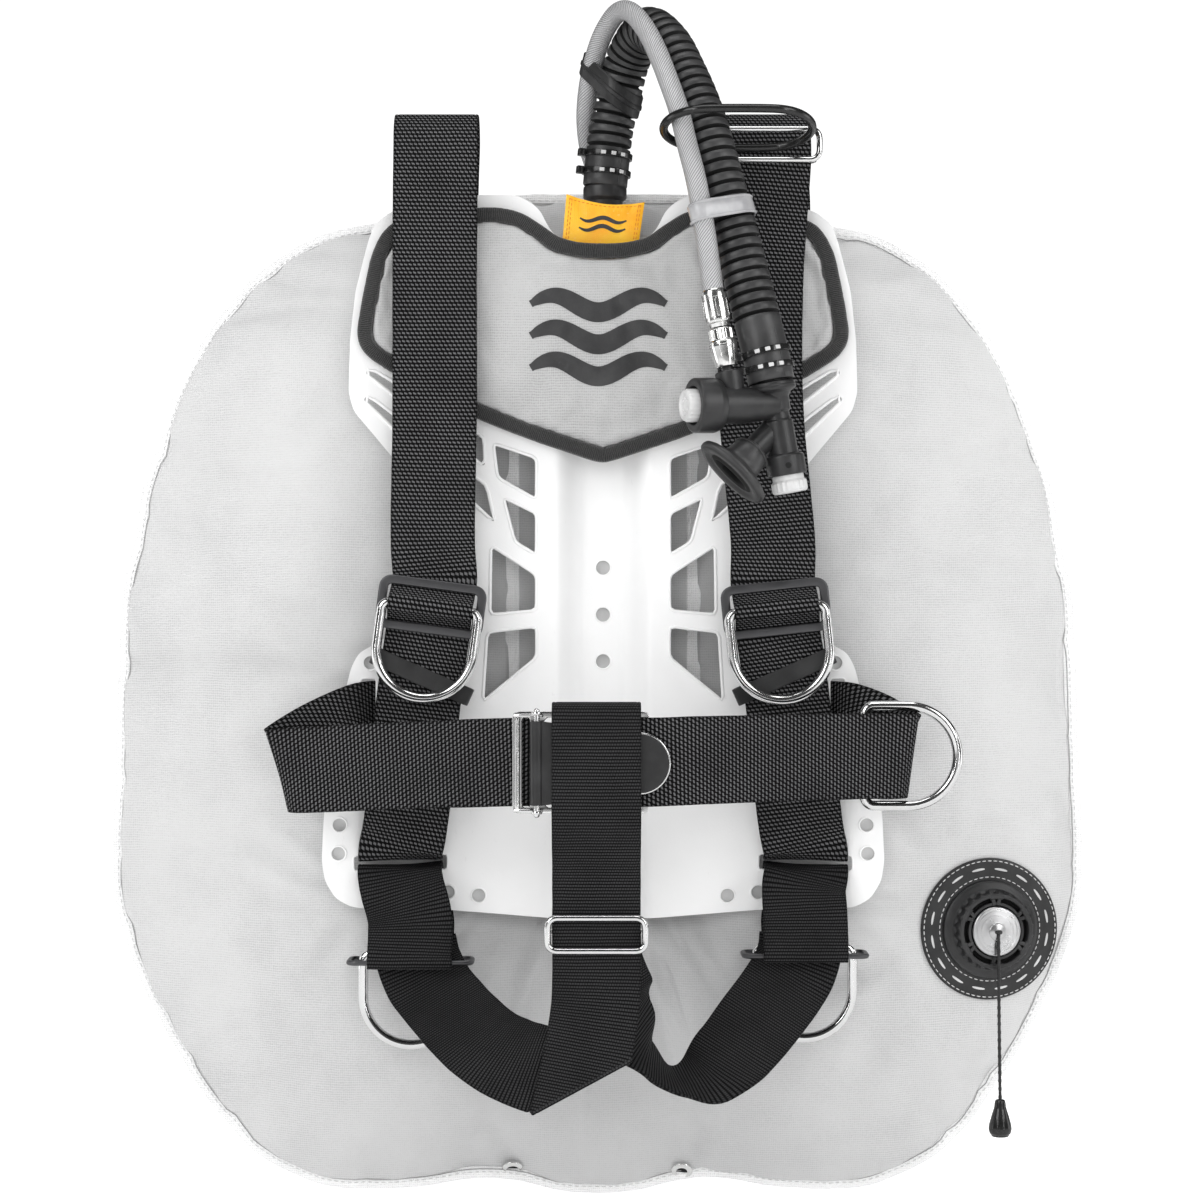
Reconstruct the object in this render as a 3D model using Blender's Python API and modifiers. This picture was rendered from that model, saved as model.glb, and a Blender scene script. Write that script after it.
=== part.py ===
"""Backplate-and-wing buoyancy compensator.

X runs to the wearer's left, Z up. The wearer stands on the -Y side of the plate, facing -Y, so
"front" means -Y and "rear" means the tank side, +Y. Design coordinates are in millimetres: X and Z
from midway between the two tank-bolt holes, Y from the front face of the plate's flat part.
At the end everything moves forward, so that the frame's origin is on the face against the tank.
"""

import math

import bpy
import bmesh
from mathutils import Matrix, Vector

MM = 0.001

# Driving dimensions, in millimetres.
WEB_W = 50.0  # harness webbing width
WEB_T = 2.2  # harness webbing thickness
BOLT_PITCH = 280.0  # tank-bolt holes, centre to centre

PLATE_T = 3.0
CHANNEL_HALF = 14.5  # half width of the channel floor
CHANNEL_LIP = 25.0  # where the channel wall meets the plate
CHANNEL_DEPTH = 19.0
SIDE_BEND_X = 90.0  # the plate's sides bend forward from here
SIDE_SLOPE = 0.2

SEAM_Y = 62.0  # outer seam plane of the air cell
INNER_Y = 30.0  # inner seam plane of the air cell
INNER_R = 55.0  # radius of the slot-shaped opening in the air cell
INNER_TOP = 92.0  # centre of the opening's upper round end
INNER_BOTTOM = -186.0  # centre of its lower round end
CENTRE_PANEL_T = 3.0
FRONT_BULGE = 30.0
REAR_BULGE = 78.0
SKIN_T = 0.8
FLANGE = 6.0  # width of the sewn outer flange
WING_X = -3.5  # sideways offset of the air cell
AROUND = 48  # points round the air cell

HOSE_R = 13.5
HOSE_BORE = 9.6
RIB_PITCH = 8.0
RIB_DEPTH = 1.9
LP_R = 6.0  # low-pressure hose
D_HALF = 28.5  # D-ring wire, half width between leg centres
D_WIRE = 3.0
D_DROP = 54.0  # D-ring bar to the bottom of the bow
D_OUT = 8.5  # D-ring bar in front of the strap centre plane

FRONT = Vector((0, -1, 0))
UP = Vector((0, 0, 1))
WEARER_SIDES = (("right", -1), ("left", 1))


# ---------------------------------------------------------------- scene
for old in list(bpy.data.objects):
    bpy.data.objects.remove(old, do_unlink=True)
for old in list(bpy.data.meshes):
    bpy.data.meshes.remove(old)
bpy.context.scene.unit_settings.scale_length = 1.0

parts = bpy.data.collections.new("buoyancy_compensator")
bpy.context.scene.collection.children.link(parts)
cutters = bpy.data.collections.new("cutters")
bpy.context.scene.collection.children.link(cutters)


def material(name, colour, roughness, metallic=0.0):
    made = bpy.data.materials.new(name)
    made.use_nodes = True
    shader = made.node_tree.nodes["Principled BSDF"]
    shader.inputs["Base Color"].default_value = (*colour, 1.0)
    shader.inputs["Metallic"].default_value = metallic
    shader.inputs["Roughness"].default_value = roughness
    made.diffuse_color = (*colour, 1.0)
    return made


WHITE = material("plate_white", (0.90, 0.90, 0.90), roughness=0.35)
GREY_CLOTH = material("cloth_grey", (0.62, 0.62, 0.63), roughness=0.85)
PAD_CLOTH = material("pad_grey", (0.58, 0.58, 0.58), roughness=0.85)
DARK_TAPE = material("tape_dark", (0.05, 0.05, 0.05), roughness=0.8)
WEBBING = material("webbing_black", (0.045, 0.045, 0.048), roughness=0.85)
BLADDER = material("bladder_film", (0.72, 0.74, 0.76), roughness=0.4)
RUBBER = material("rubber_black", (0.035, 0.035, 0.037), roughness=0.6)
PLASTIC = material("plastic_black", (0.05, 0.05, 0.052), roughness=0.4)
PALE_PLASTIC = material("plastic_pale", (0.72, 0.72, 0.72), roughness=0.35)
STEEL = material("steel_polished", (0.78, 0.78, 0.78), roughness=0.18, metallic=1.0)
BRUSHED = material("steel_brushed", (0.35, 0.35, 0.36), roughness=0.35, metallic=1.0)
BRASS = material("brass_plated", (0.70, 0.70, 0.70), roughness=0.25, metallic=1.0)
BRAID = material("braid_grey", (0.55, 0.55, 0.56), roughness=0.5)
YELLOW = material("tag_yellow", (0.98, 0.45, 0.02), roughness=0.6)


def link(obj, mat, collection=parts):
    collection.objects.link(obj)
    if mat is not None:
        obj.data.materials.append(mat)
    return obj


def object_from(bm, name, mat, collection=parts):
    """Turns a bmesh into a linked object and frees it."""
    bmesh.ops.recalc_face_normals(bm, faces=bm.faces)
    mesh = bpy.data.meshes.new(name)
    bm.to_mesh(mesh)
    bm.free()
    return link(bpy.data.objects.new(name, mesh), mat, collection)


def helper(obj):
    obj.hide_render = True
    obj.display_type = "WIRE"
    return obj


# ---------------------------------------------------------------- lines
def clamp(value):
    return min(1.0, max(0.0, value))


def smooth_step(part):
    return part * part * (3 - 2 * part)


def extended(points):
    """The points with one more at each end, continuing the end spans straight on."""
    return [points[0] * 2 - points[1]] + points + [points[-1] * 2 - points[-2]]


def spline(points, count):
    """Catmull-Rom through the design points, at even arc length."""
    knots = extended([Vector(p) for p in points])
    fine = []
    for before, start, end, after in zip(knots, knots[1:], knots[2:], knots[3:]):
        for step in range(24):
            part = step / 24
            fine.append(
                0.5
                * (
                    2 * start
                    + (end - before) * part
                    + (2 * before - 5 * start + 4 * end - after) * part * part
                    + (3 * start - 3 * end + after - before) * part ** 3
                )
            )
    fine.append(knots[-2].copy())
    return resample(fine, count)


def running_lengths(line):
    """Distance from the line's start to each of its points."""
    run = [0.0]
    for start, end in zip(line, line[1:]):
        run.append(run[-1] + (end - start).length)
    return run


def place_on(line, distance):
    """The segment at a distance along a line, and the fraction of the segment passed."""
    run = running_lengths(line)
    distance = min(max(distance, 0.0), run[-1])
    for k, (start, end) in enumerate(zip(run, run[1:])):
        if end >= distance - 1e-9:
            return k, (distance - start) / (end - start)


def point_at(line, distance):
    k, part = place_on(line, distance)
    return line[k].lerp(line[k + 1], part)


def resample(line, count, closed=False):
    """Evenly spaced points. A closed line repeats its first point last, the result doesn't."""
    total = running_lengths(line)[-1]
    steps = count if closed else count - 1
    return [point_at(line, total * i / steps) for i in range(count)]


def tangents(points):
    last = len(points) - 1
    return [
        (points[min(i + 1, last)] - points[max(i - 1, 0)]).normalized()
        for i in range(len(points))
    ]


# ---------------------------------------------------------------- outlines in the XZ plane
def rect(left, right, bottom, top):
    return [Vector(p) for p in ((left, bottom), (right, bottom), (right, top), (left, top))]


def rounded(corners, radius, steps=2):
    """A polygon with each corner replaced by an arc-like run of points."""
    out = []
    count = len(corners)
    for i in range(count):
        before, corner, after = (Vector(corners[k % count]) for k in (i - 1, i, i + 1))
        reach_before = min(radius, 0.45 * (before - corner).length)
        reach_after = min(radius, 0.45 * (after - corner).length)
        start = corner + (before - corner).normalized() * reach_before
        end = corner + (after - corner).normalized() * reach_after
        for k in range(steps + 1):
            part = k / steps
            out.append(
                start * (1 - part) ** 2 + corner * 2 * part * (1 - part) + end * part * part
            )
    return out


def circle(x, z, radius, sides=8):
    angles = [2 * math.pi * k / sides for k in range(sides)]
    return [Vector((x + radius * math.cos(a), z + radius * math.sin(a))) for a in angles]


def inset(points, distance):
    """Moves a closed outline inward by a distance."""
    following = points[1:] + points[:1]
    area = sum(p.x * q.y - q.x * p.y for p, q in zip(points, following))
    turn = 1.0 if area > 0 else -1.0
    out = []
    for before, here, after in zip(points[-1:] + points[:-1], points, following):
        edge_in, edge_out = here - before, after - here
        normal_in = Vector((-edge_in.y, edge_in.x)).normalized() * turn
        normal_out = Vector((-edge_out.y, edge_out.x)).normalized() * turn
        middle = (normal_in + normal_out).normalized()
        out.append(here + middle * distance / max(0.6, middle.dot(normal_out)))
    return out


def mirrored(half):
    """Closes a half outline (x >= 0, from top centre to bottom centre) by mirroring it."""
    positive = [Vector(p) for p in half]
    negative = [Vector((-p.x, p.y)) for p in reversed(positive) if abs(p.x) > 0.01]
    return positive + negative


# ---------------------------------------------------------------- builders
def frame_of(origin, z_axis, x_hint=(1, 0, 0)):
    z = Vector(z_axis).normalized()
    y = z.cross(Vector(x_hint)).normalized()
    x = y.cross(z)
    frame = Matrix((x, y, z)).transposed().to_4x4()
    frame.translation = Vector(origin) * MM
    return frame


def flat(name, outline, holes, thickness, mat, y):
    """A flat plate in the XZ plane with its front face at y, made from a filled 2-D curve."""
    curve = bpy.data.curves.new(name, "CURVE")
    curve.dimensions = "2D"
    curve.fill_mode = "BOTH"
    curve.extrude = thickness * MM / 2
    for loop in [outline] + holes:
        poly = curve.splines.new("POLY")
        poly.points.add(len(loop) - 1)
        for point, at in zip(poly.points, loop):
            point.co = (at.x * MM, at.y * MM, 0, 1)
        poly.use_cyclic_u = True
    temp = bpy.data.objects.new(name + "_curve", curve)
    bpy.context.scene.collection.objects.link(temp)
    graph = bpy.context.evaluated_depsgraph_get()
    mesh = bpy.data.meshes.new_from_object(temp.evaluated_get(graph))
    bpy.data.objects.remove(temp, do_unlink=True)
    bpy.data.curves.remove(curve)
    bm = bmesh.new()
    bm.from_mesh(mesh)
    bmesh.ops.remove_doubles(bm, verts=bm.verts, dist=1e-6)
    # curve plane XY -> world XZ
    for v in bm.verts:
        x, up, depth = v.co
        v.co = (x, (y + thickness / 2) * MM - depth, up)
    bmesh.ops.recalc_face_normals(bm, faces=bm.faces)
    bm.to_mesh(mesh)
    bm.free()
    mesh.name = name
    return link(bpy.data.objects.new(name, mesh), mat)


def bend(obj, fold_xs, rule):
    """Adds straight edges at the fold positions, then moves each vertex in Y by rule(x)."""
    bm = bmesh.new()
    bm.from_mesh(obj.data)
    for x in fold_xs:
        bmesh.ops.bisect_plane(
            bm,
            geom=bm.verts[:] + bm.edges[:] + bm.faces[:],
            dist=1e-7,
            plane_co=(x * MM, 0, 0),
            plane_no=(1, 0, 0),
        )
    bmesh.ops.triangulate(bm, faces=bm.faces)
    bm.to_mesh(obj.data)
    bm.free()
    for v in obj.data.vertices:
        v.co.y += rule(v.co.x / MM) * MM


def thicken(obj, thickness):
    thick = obj.modifiers.new("Thickness", "SOLIDIFY")
    thick.thickness = thickness * MM
    thick.offset = 0.0
    return thick


def wire(name, points, radius, mat, cyclic=True, resolution=1, origin=(0, 0, 0)):
    """Round wire along the points. Its object origin can be put elsewhere, as on a hinge line."""
    curve = bpy.data.curves.new(name, "CURVE")
    curve.dimensions = "3D"
    curve.bevel_depth = radius * MM
    curve.bevel_resolution = resolution
    curve.use_fill_caps = True
    poly = curve.splines.new("POLY")
    poly.points.add(len(points) - 1)
    base = Vector(origin)
    for point, at in zip(poly.points, points):
        point.co = (*((Vector(at) - base) * MM), 1)
    poly.use_cyclic_u = cyclic
    obj = link(bpy.data.objects.new(name, curve), mat)
    obj.location = base * MM


def turned(name, profile, origin, axis, mat, steps=16, collection=parts, hint=(1, 0, 0)):
    """A turned shape: rows of (radius, height). The profile closes on itself if off the axis."""
    bm = bmesh.new()
    verts = [bm.verts.new((radius * MM, 0, height * MM)) for radius, height in profile]
    closed = profile[0][0] > 0.01
    for i in range(len(verts) - (0 if closed else 1)):
        bm.edges.new((verts[i], verts[(i + 1) % len(verts)]))
    obj = object_from(bm, name, mat, collection)
    obj.matrix_world = frame_of(origin, axis, hint)
    screw = obj.modifiers.new("Turn", "SCREW")
    screw.axis = "Z"
    screw.angle = 2 * math.pi
    screw.steps = screw.render_steps = steps
    screw.use_merge_vertices = True
    screw.merge_threshold = 0.00001
    return obj


def turned_helper(name, profile, origin, axis, steps):
    return helper(turned(name, profile, origin, axis, None, steps, cutters))


def box_helper(name, low, high):
    bm = bmesh.new()
    bmesh.ops.create_cube(bm, size=1.0)
    centre = (Vector(low) + Vector(high)) / 2
    size = Vector(high) - Vector(low)
    for v in bm.verts:
        v.co = (centre + v.co * size if False else centre + Vector(
            (v.co.x * size.x, v.co.y * size.y, v.co.z * size.z)
        )) * MM
    return helper(object_from(bm, name, None, cutters))


def loft(name, loops, mat, closed=True):
    """Joins equal loops of points. A closed loft joins last to first, an open one is capped."""
    bm = bmesh.new()
    rings = [[bm.verts.new(p * MM) for p in loop] for loop in loops]
    pairs = list(zip(rings, rings[1:]))
    if closed:
        pairs.append((rings[-1], rings[0]))
    for one, two in pairs:
        for k in range(len(one)):
            after = (k + 1) % len(one)
            bm.faces.new((one[k], one[after], two[after], two[k]))
    if not closed:
        bm.faces.new(rings[0])
        bm.faces.new(list(reversed(rings[-1])))
    return object_from(bm, name, mat)


def tube_loft(name, rings, mat, sides, hint, through=False):
    """A loft through round (centre, direction, radius) rings, which may run back as a bore.

    With through=True the last ring joins the first, so that the bore goes right through.
    """
    loops = []
    for centre, direction, radius in rings:
        along = Vector(direction).normalized()
        x = along.cross(Vector(hint)).normalized()
        y = x.cross(along)
        loops.append([
            Vector(centre) + (x * math.cos(a) + y * math.sin(a)) * radius
            for a in (2 * math.pi * k / sides for k in range(sides))
        ])
    return loft(name, loops, mat, closed=through)


def boolean(obj, other, operation):
    mod = obj.modifiers.new(operation.title(), "BOOLEAN")
    mod.operation = operation
    mod.solver = "EXACT"
    mod.object = other


# ---------------------------------------------------------------- backplate
# Half outline (x, z), top centre to bottom centre.
PLATE_HALF = [
    (0, 155), (20, 155.5), (28, 166), (33, 172), (37.3, 181), (42.3, 186), (52, 191),
    (75.6, 191), (125.8, 180.6), (136.3, 172.5), (140.3, 161.2), (147.5, 132.3),
    (150.7, 103.4), (151.5, 71.2), (148.5, 60.5), (126.6, 34.2), (110, 14), (103, -6),
    (102, -36), (108, -55), (124.8, -71.4), (138.8, -79.8), (145.5, -83.5), (150.0, -92),
    (152.5, -102), (166, -179.4), (167.3, -206.7), (165.5, -219), (159.4, -229.4),
    (151, -234.5), (144.2, -235.8), (97, -237.5), (30, -242.9), (0, -243.6),
]
# Four-cornered openings on the +X side, corners (x, z).
PLATE_WINDOWS = (
    [(66.1, 42.3), (39.7, 33.4), (39.9, 8.1), (63.4, 21.3)],
    [(60, 9.8), (39.7, 0.1), (39.9, -25.2), (53.1, -17.2)],
    [(67.4, -18.9), (39.7, -36.9), (39.9, -58.5), (68, -61)],
    [(69.7, -71.1), (39.7, -67.7), (39.7, -86.6), (72.3, -113.4)],
    [(142.2, 83.5), (138.6, 86.4), (71.4, 46.2), (70.8, 27.6)],
    [(143.4, 67.5), (139.8, 70.2), (69.6, 16.8), (64.8, -6)],
)
# Webbing slots on the +X side: centre x, centre z, width, height.
PLATE_SLOTS = (
    (100.0, 131.0, WEB_W + 4, 8),  # shoulder
    (140.0, -125.5, 10, WEB_W + 4),  # waist belt
    (121.0, -209.0, WEB_W + 6, 10),  # thigh
)
# Small round holes on the +X side (x, z), and heights of those on the centre line.
SIDE_HOLES = ((138.8, -89.5), (157.0, -186), (157.6, -203), (93.1, -227.2), (74.7, -229.3))
CENTRE_HOLES = (-32.4, -60.9, -89.2, BOLT_PITCH / 2, -BOLT_PITCH / 2)


def side_bend(x):
    return -SIDE_SLOPE * max(0.0, abs(x) - SIDE_BEND_X)


def plate_bend(x):
    out = abs(x)
    if out <= CHANNEL_HALF:
        return CHANNEL_DEPTH
    if out < CHANNEL_LIP:
        return CHANNEL_DEPTH * (CHANNEL_LIP - out) / (CHANNEL_LIP - CHANNEL_HALF)
    return side_bend(x)


def build_backplate():
    holes = []
    for corners in PLATE_WINDOWS:
        for side in (1, -1):
            holes.append(rounded([(side * x, z) for x, z in corners], 3.0))
    for x, z, width, height in PLATE_SLOTS:
        for side in (1, -1):
            middle = side * x
            slot = rect(middle - width / 2, middle + width / 2, z - height / 2, z + height / 2)
            holes.append(rounded(slot, 1.5, 1))
    for x, z in SIDE_HOLES:
        for side in (1, -1):
            holes.append(circle(side * x, z, 4.0))
    for z in CENTRE_HOLES:
        holes.append(circle(0, z, 4.25))
    plate = flat("backplate", mirrored(PLATE_HALF), holes, PLATE_T, WHITE, y=0.0)
    folds = (
        -SIDE_BEND_X, -CHANNEL_LIP, -CHANNEL_HALF, CHANNEL_HALF, CHANNEL_LIP, SIDE_BEND_X,
    )
    bend(plate, folds, plate_bend)


# ---------------------------------------------------------------- back pad
# Half outline (x, z), top centre to bottom centre.
PAD_HALF = [
    (0, 161.0), (14, 161.6), (26.7, 164.6), (34.1, 170.3), (48.1, 179.4), (60.9, 182.6),
    (74.8, 182.6), (100, 178.6), (124.9, 173.5), (132.5, 165.1), (137.8, 153.2),
    (143.2, 126.6), (146.2, 108.4), (145.3, 99.9), (139.9, 92.4), (124.9, 82.8),
    (74.8, 56.1), (44.9, 44.3), (7.5, 31.7), (0, 29.9),
]


def build_back_pad():
    """The pad in front of the plate's upper part, and the tape binding round its edge."""
    outline = mirrored(PAD_HALF)
    pad = flat("back_pad", inset(outline, 8.6), [], 9.0, PAD_CLOTH, y=-9.5)
    binding = flat("pad_binding", outline, [inset(outline, 8.2)], 8.0, DARK_TAPE, y=-9.0)
    for obj in (pad, binding):
        bend(obj, (-SIDE_BEND_X, SIDE_BEND_X), side_bend)


# ---------------------------------------------------------------- air cell
# Half outline (x, z), top centre to bottom centre.
WING_HALF = [
    (0, 200.5), (40, 200.5), (78, 199.5), (100, 195), (120, 188), (141, 182), (160, 178.5),
    (179, 172), (196, 162), (213, 150), (232, 128), (245, 110), (262, 79), (273, 47),
    (283, 16), (288, -15), (295, -46), (298, -100), (300, -160), (302, -216), (300, -240),
    (294, -263), (282, -294), (266, -325), (247, -356), (223, -387), (201, -403),
    (174, -415), (150, -418.5), (110, -417), (78, -412), (50, -413), (25, -419.5), (0, -421),
]
# Where each skin has its points, as fractions from the inner seam to the outer.
FRONT_NODES = (0.0, 0.16, 0.38, 0.62, 0.80, 0.93, 1.0)
REAR_NODES = (0.0, 0.18, 0.42, 0.70, 0.90, 1.0)
BLADDER_NODES = (0.09, 0.38, 0.64, 0.90)

VALVE_C = Vector((235.0, 24.0, -252.0))  # dump valve on the front skin
VALVE_N = Vector((0.17, -0.985, 0.0)).normalized()
ELBOW_X, ELBOW_Z = 1.3, 174.0  # where the hose elbow enters
PORT_Y = 35.0  # depth of the front skin round the elbow


def wing_outline():
    start = Vector((WING_X, WING_HALF[0][1]))
    loop = [Vector((p.x + WING_X, p.y)) for p in mirrored(WING_HALF)] + [start]
    return resample(loop, AROUND, closed=True)


def inner_point(outer):
    """The point of the slot-shaped opening that faces a point on the outer seam."""
    centre = Vector((0.0, min(INNER_TOP, max(INNER_BOTTOM, outer.y))))
    return centre + (outer - centre).normalized() * INNER_R


wing_edge = wing_outline()
wing_outer = inset(wing_edge, FLANGE + 0.8)
wing_inner = [inner_point(p) for p in wing_outer]


def skin_y(i, part, front):
    """Depth of the air cell's skin at point i round the ring and a fraction outward."""
    width = (wing_outer[i] - wing_inner[i]).length
    fullness = min(1.0, max(0.22, width / 190.0))
    bulge = max(0.0, math.sin(math.pi * part)) ** 0.8 * fullness
    middle = INNER_Y + (SEAM_Y - INNER_Y) * part
    if not front:
        return middle + 1.0 + REAR_BULGE * bulge
    y = middle - 1.0 - FRONT_BULGE * bulge
    at = wing_inner[i].lerp(wing_outer[i], part)
    # flattened under the dump valve, onto a plane square to the valve's axis
    x, z = at.x - VALVE_C.x, at.y - VALVE_C.z
    weight = smooth_step(clamp((105.0 - math.hypot(x, z)) / 50.0))
    weight *= min(1.0, (1.0 - part) / 0.06)
    plane = VALVE_C.y + 1.6 - x * VALVE_N.x / VALVE_N.y
    y += (plane - y) * weight
    # flattened round the elbow
    reach = math.hypot(at.x - ELBOW_X, at.y - ELBOW_Z)
    weight = clamp((34.0 - reach) / 16.0) * min(1.0, part / 0.3)
    return y + (PORT_Y - y) * weight


def between_nodes(i, part, front):
    """Depth of the faceted skin between its nodes."""
    nodes = FRONT_NODES if front else REAR_NODES
    for start, end in zip(nodes, nodes[1:]):
        if part <= end + 1e-9:
            across = (part - start) / (end - start)
            return skin_y(i, start, front) * (1 - across) + skin_y(i, end, front) * across


def skin_rows(i, front):
    out = []
    for part in FRONT_NODES if front else REAR_NODES:
        at = wing_inner[i].lerp(wing_outer[i], part)
        out.append((at.x, skin_y(i, part, front), at.y))
    return out


def bladder_rows(i):
    """A closed section inside the skins: outward along the front, back along the rear."""
    out = []
    for front, run in ((True, BLADDER_NODES), (False, BLADDER_NODES[::-1])):
        for part in run:
            at = wing_inner[i].lerp(wing_outer[i], part)
            near, far = between_nodes(i, part, True), between_nodes(i, part, False)
            gap = min(5.6, 0.36 * (far - near))
            out.append((at.x, near + gap if front else far - gap, at.y))
    return out


def ring_sheet(name, rows, thickness, mat, closed_section=False):
    """A ring of sheet: rows(i) gives the points across the section at point i."""
    bm = bmesh.new()
    grid = [[bm.verts.new(Vector(p) * MM) for p in rows(i)] for i in range(AROUND)]
    count = len(grid[0])
    for i in range(AROUND):
        here, after = grid[i], grid[(i + 1) % AROUND]
        for j in range(count if closed_section else count - 1):
            k = (j + 1) % count
            bm.faces.new((here[j], here[k], after[k], after[j]))
    obj = object_from(bm, name, mat)
    thicken(obj, thickness)
    return obj


def centre_outline():
    """The slot-shaped panel's edge: upper round end, then lower round end."""
    radius = INNER_R - 2.4
    angles = [math.pi * k / 12 - math.pi / 2 for k in range(13)]
    edge = []
    for z, sign in ((INNER_TOP, 1), (INNER_BOTTOM, -1)):
        for a in angles:
            edge.append(Vector((sign * math.sin(a) * radius, z + sign * math.cos(a) * radius)))
    # the upper bolt hole is an open notch in the panel's top edge
    notch = ((-5, 144.3), (-5, 140), (-3.5, 136.5), (0, 135), (3.5, 136.5), (5, 140), (5, 144.3))
    edge[6:7] = [Vector(p) for p in notch]
    return edge


def build_air_cell():
    front_panel = ring_sheet(
        "wing_front_panel", lambda i: skin_rows(i, True), SKIN_T, GREY_CLOTH
    )
    ring_sheet("wing_rear_panel", lambda i: skin_rows(i, False), SKIN_T, GREY_CLOTH)
    bladder = ring_sheet("wing_bladder", bladder_rows, 0.5, BLADDER, closed_section=True)

    # openings for the hose elbow at the top and for the dump valve
    port_cut = turned_helper(
        "port_cutter", [(0, 30), (9.6, 30), (9.6, -10), (0, -10)],
        (ELBOW_X, 36, ELBOW_Z), FRONT, 16,
    )
    valve_cut = turned_helper(
        "valve_cutter", [(0, 30), (20.0, 30), (20.0, -40), (0, -40)], VALVE_C, VALVE_N, 20,
    )
    for sheet in (front_panel, bladder):
        for cutter in (port_cut, valve_cut):
            boolean(sheet, cutter, "DIFFERENCE")

    flat(
        "wing_edge_flange", wing_edge, [inset(wing_edge, FLANGE)], 3.2, GREY_CLOTH,
        y=SEAM_Y - 1.6,
    )
    flat(
        "wing_centre_panel", centre_outline(), [circle(0, -BOLT_PITCH / 2, 5.0, 12)],
        CENTRE_PANEL_T, GREY_CLOTH, y=INNER_Y - CENTRE_PANEL_T / 2,
    )
    for tag, x, z in (("right", -56.0, -405.5), ("left", 49.0, -406.5)):
        turned(
            "drain_grommet_" + tag, [(3.2, 1.1), (7.8, 1.1), (7.8, -0.2), (3.2, -0.2)],
            (x, 45.0, z), FRONT, BRASS, 12,
        )


# ---------------------------------------------------------------- dump valve
VALVE_HOUSING = [
    (15.6, 15.0), (22.0, 15.0), (24.0, 13.0), (24.0, 7.5), (29.5, 3.6), (29.5, 1.0),
    (19.4, 1.0), (19.4, -9.0), (16.4, -9.0), (16.4, -6.6), (6.0, -6.6), (6.0, -4.6),
    (16.4, -4.6), (16.4, 7.4), (2.9, 7.4), (2.9, 9.0), (20.5, 9.0), (20.5, 11.5), (15.6, 11.5),
]
PULL_DISC = [
    (0, 17.0), (5.0, 17.0), (5.0, 15.8), (15.0, 15.4), (15.0, 13.8), (2.3, 13.4),
    (2.3, -2.4), (12.0, -2.4), (12.0, -4.2), (0, -4.2),
]
PULL_TOGGLE = [
    (0, -0.5), (3.2, -0.5), (3.4, -4), (5.4, -10), (7.0, -17), (6.2, -20.5), (3.0, -22.5),
    (0, -22.8),
]
SPRING_TURNS, SPRING_STEPS = 3, 36
SPRING_R, SPRING_START, SPRING_LENGTH = 4.6, -1.5, 8.0


def build_dump_valve():
    patch = [(20.5, 0.6), (43.0, 0.6), (43.0, -0.6), (20.5, -0.6)]
    turned("valve_patch", patch, VALVE_C, VALVE_N, RUBBER, 24)
    turned("valve_housing", VALVE_HOUSING, VALVE_C, VALVE_N, PLASTIC, 20)
    # pull disc with a stem that runs back to the sealing plate, which rests on the seat
    turned("valve_pull_disc", PULL_DISC, VALVE_C, VALVE_N, BRUSHED, 16)

    # return spring round the stem, between the sealing plate and the guide web
    frame = frame_of(VALVE_C, VALVE_N)
    coil = []
    for k in range(SPRING_STEPS + 1):
        angle = 2 * math.pi * SPRING_TURNS * k / SPRING_STEPS
        height = SPRING_START + SPRING_LENGTH * k / SPRING_STEPS
        local = Vector((SPRING_R * math.cos(angle), SPRING_R * math.sin(angle), height))
        coil.append((frame @ (local * MM)) / MM)
    wire("valve_spring", coil, 0.5, STEEL, cyclic=False, resolution=0)

    cord_top = VALVE_C + VALVE_N * 18.6
    cord = [cord_top + Vector(p) for p in ((0, 0, 0), (0.2, 0, -40), (0.9, 0, -100.5))]
    wire("pull_cord", cord, 1.0, RUBBER, cyclic=False, origin=cord_top)
    turned("pull_toggle", PULL_TOGGLE, cord_top + Vector((0.9, 0, -100.8)), UP, PLASTIC, 14)


# ---------------------------------------------------------------- hoses
# Centre lines (x, y, z), from the air cell over the shoulder and down to the inflator.
HOSE = [
    (1.2, 22, 199), (2.2, 22, 210), (3.4, 22, 222), (5.5, 22, 237), (10.3, 20, 257.6),
    (16.3, 13, 277.5), (26.9, -4, 289.2), (38.5, -22, 277), (47.0, -34, 258.5),
    (55.5, -46, 236), (62.5, -54.5, 212), (69.4, -60, 185.3), (78.0, -63.5, 153.2),
    (85.9, -68.2, 121.1), (90.6, -71.4, 101.0), (94.1, -73.3, 86.0), (96.5, -74.0, 73.3),
]
LP_HOSE = [
    (-2.0, 49.5, 205), (-5.0, 48.5, 215), (-8.5, 44, 226), (-10.3, 36, 241), (-9.5, 29, 256),
    (-6.5, 23, 272), (-0.6, 10, 288), (7.8, -7, 298), (15.6, -22, 296.6), (24.0, -35, 284.9),
    (31.6, -46.6, 267.8), (38.4, -56.5, 248.0), (44.0, -63, 230.1), (48.4, -70.5, 209.6),
    (52.6, -75.2, 191.9), (55.6, -77.5, 176), (59.0, -78.0, 154.5), (61.4, -78.0, 137.3),
    (63.2, -78, 123.5),
]
SWING_PIVOT = Vector((66.0, -57.5, 198.0))  # both hoses part at the hose point nearest this
HOSE_HINT = (0.25, 1, 0.1)  # starts each ring's first point, away from every hose direction
TIE_INNER, TIE_OUTER = HOSE_R + 0.8, HOSE_R + 1.7
TIE_HALF = 1.8  # half width of a cable tie

hose_line = spline(HOSE, 241)
hose_tangents = tangents(hose_line)
split = min(range(len(hose_line)), key=lambda k: (hose_line[k] - SWING_PIVOT).length)
pivot = hose_line[split]
lp_line = spline(LP_HOSE, 161)
lp_end = lp_line[-1]


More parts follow.
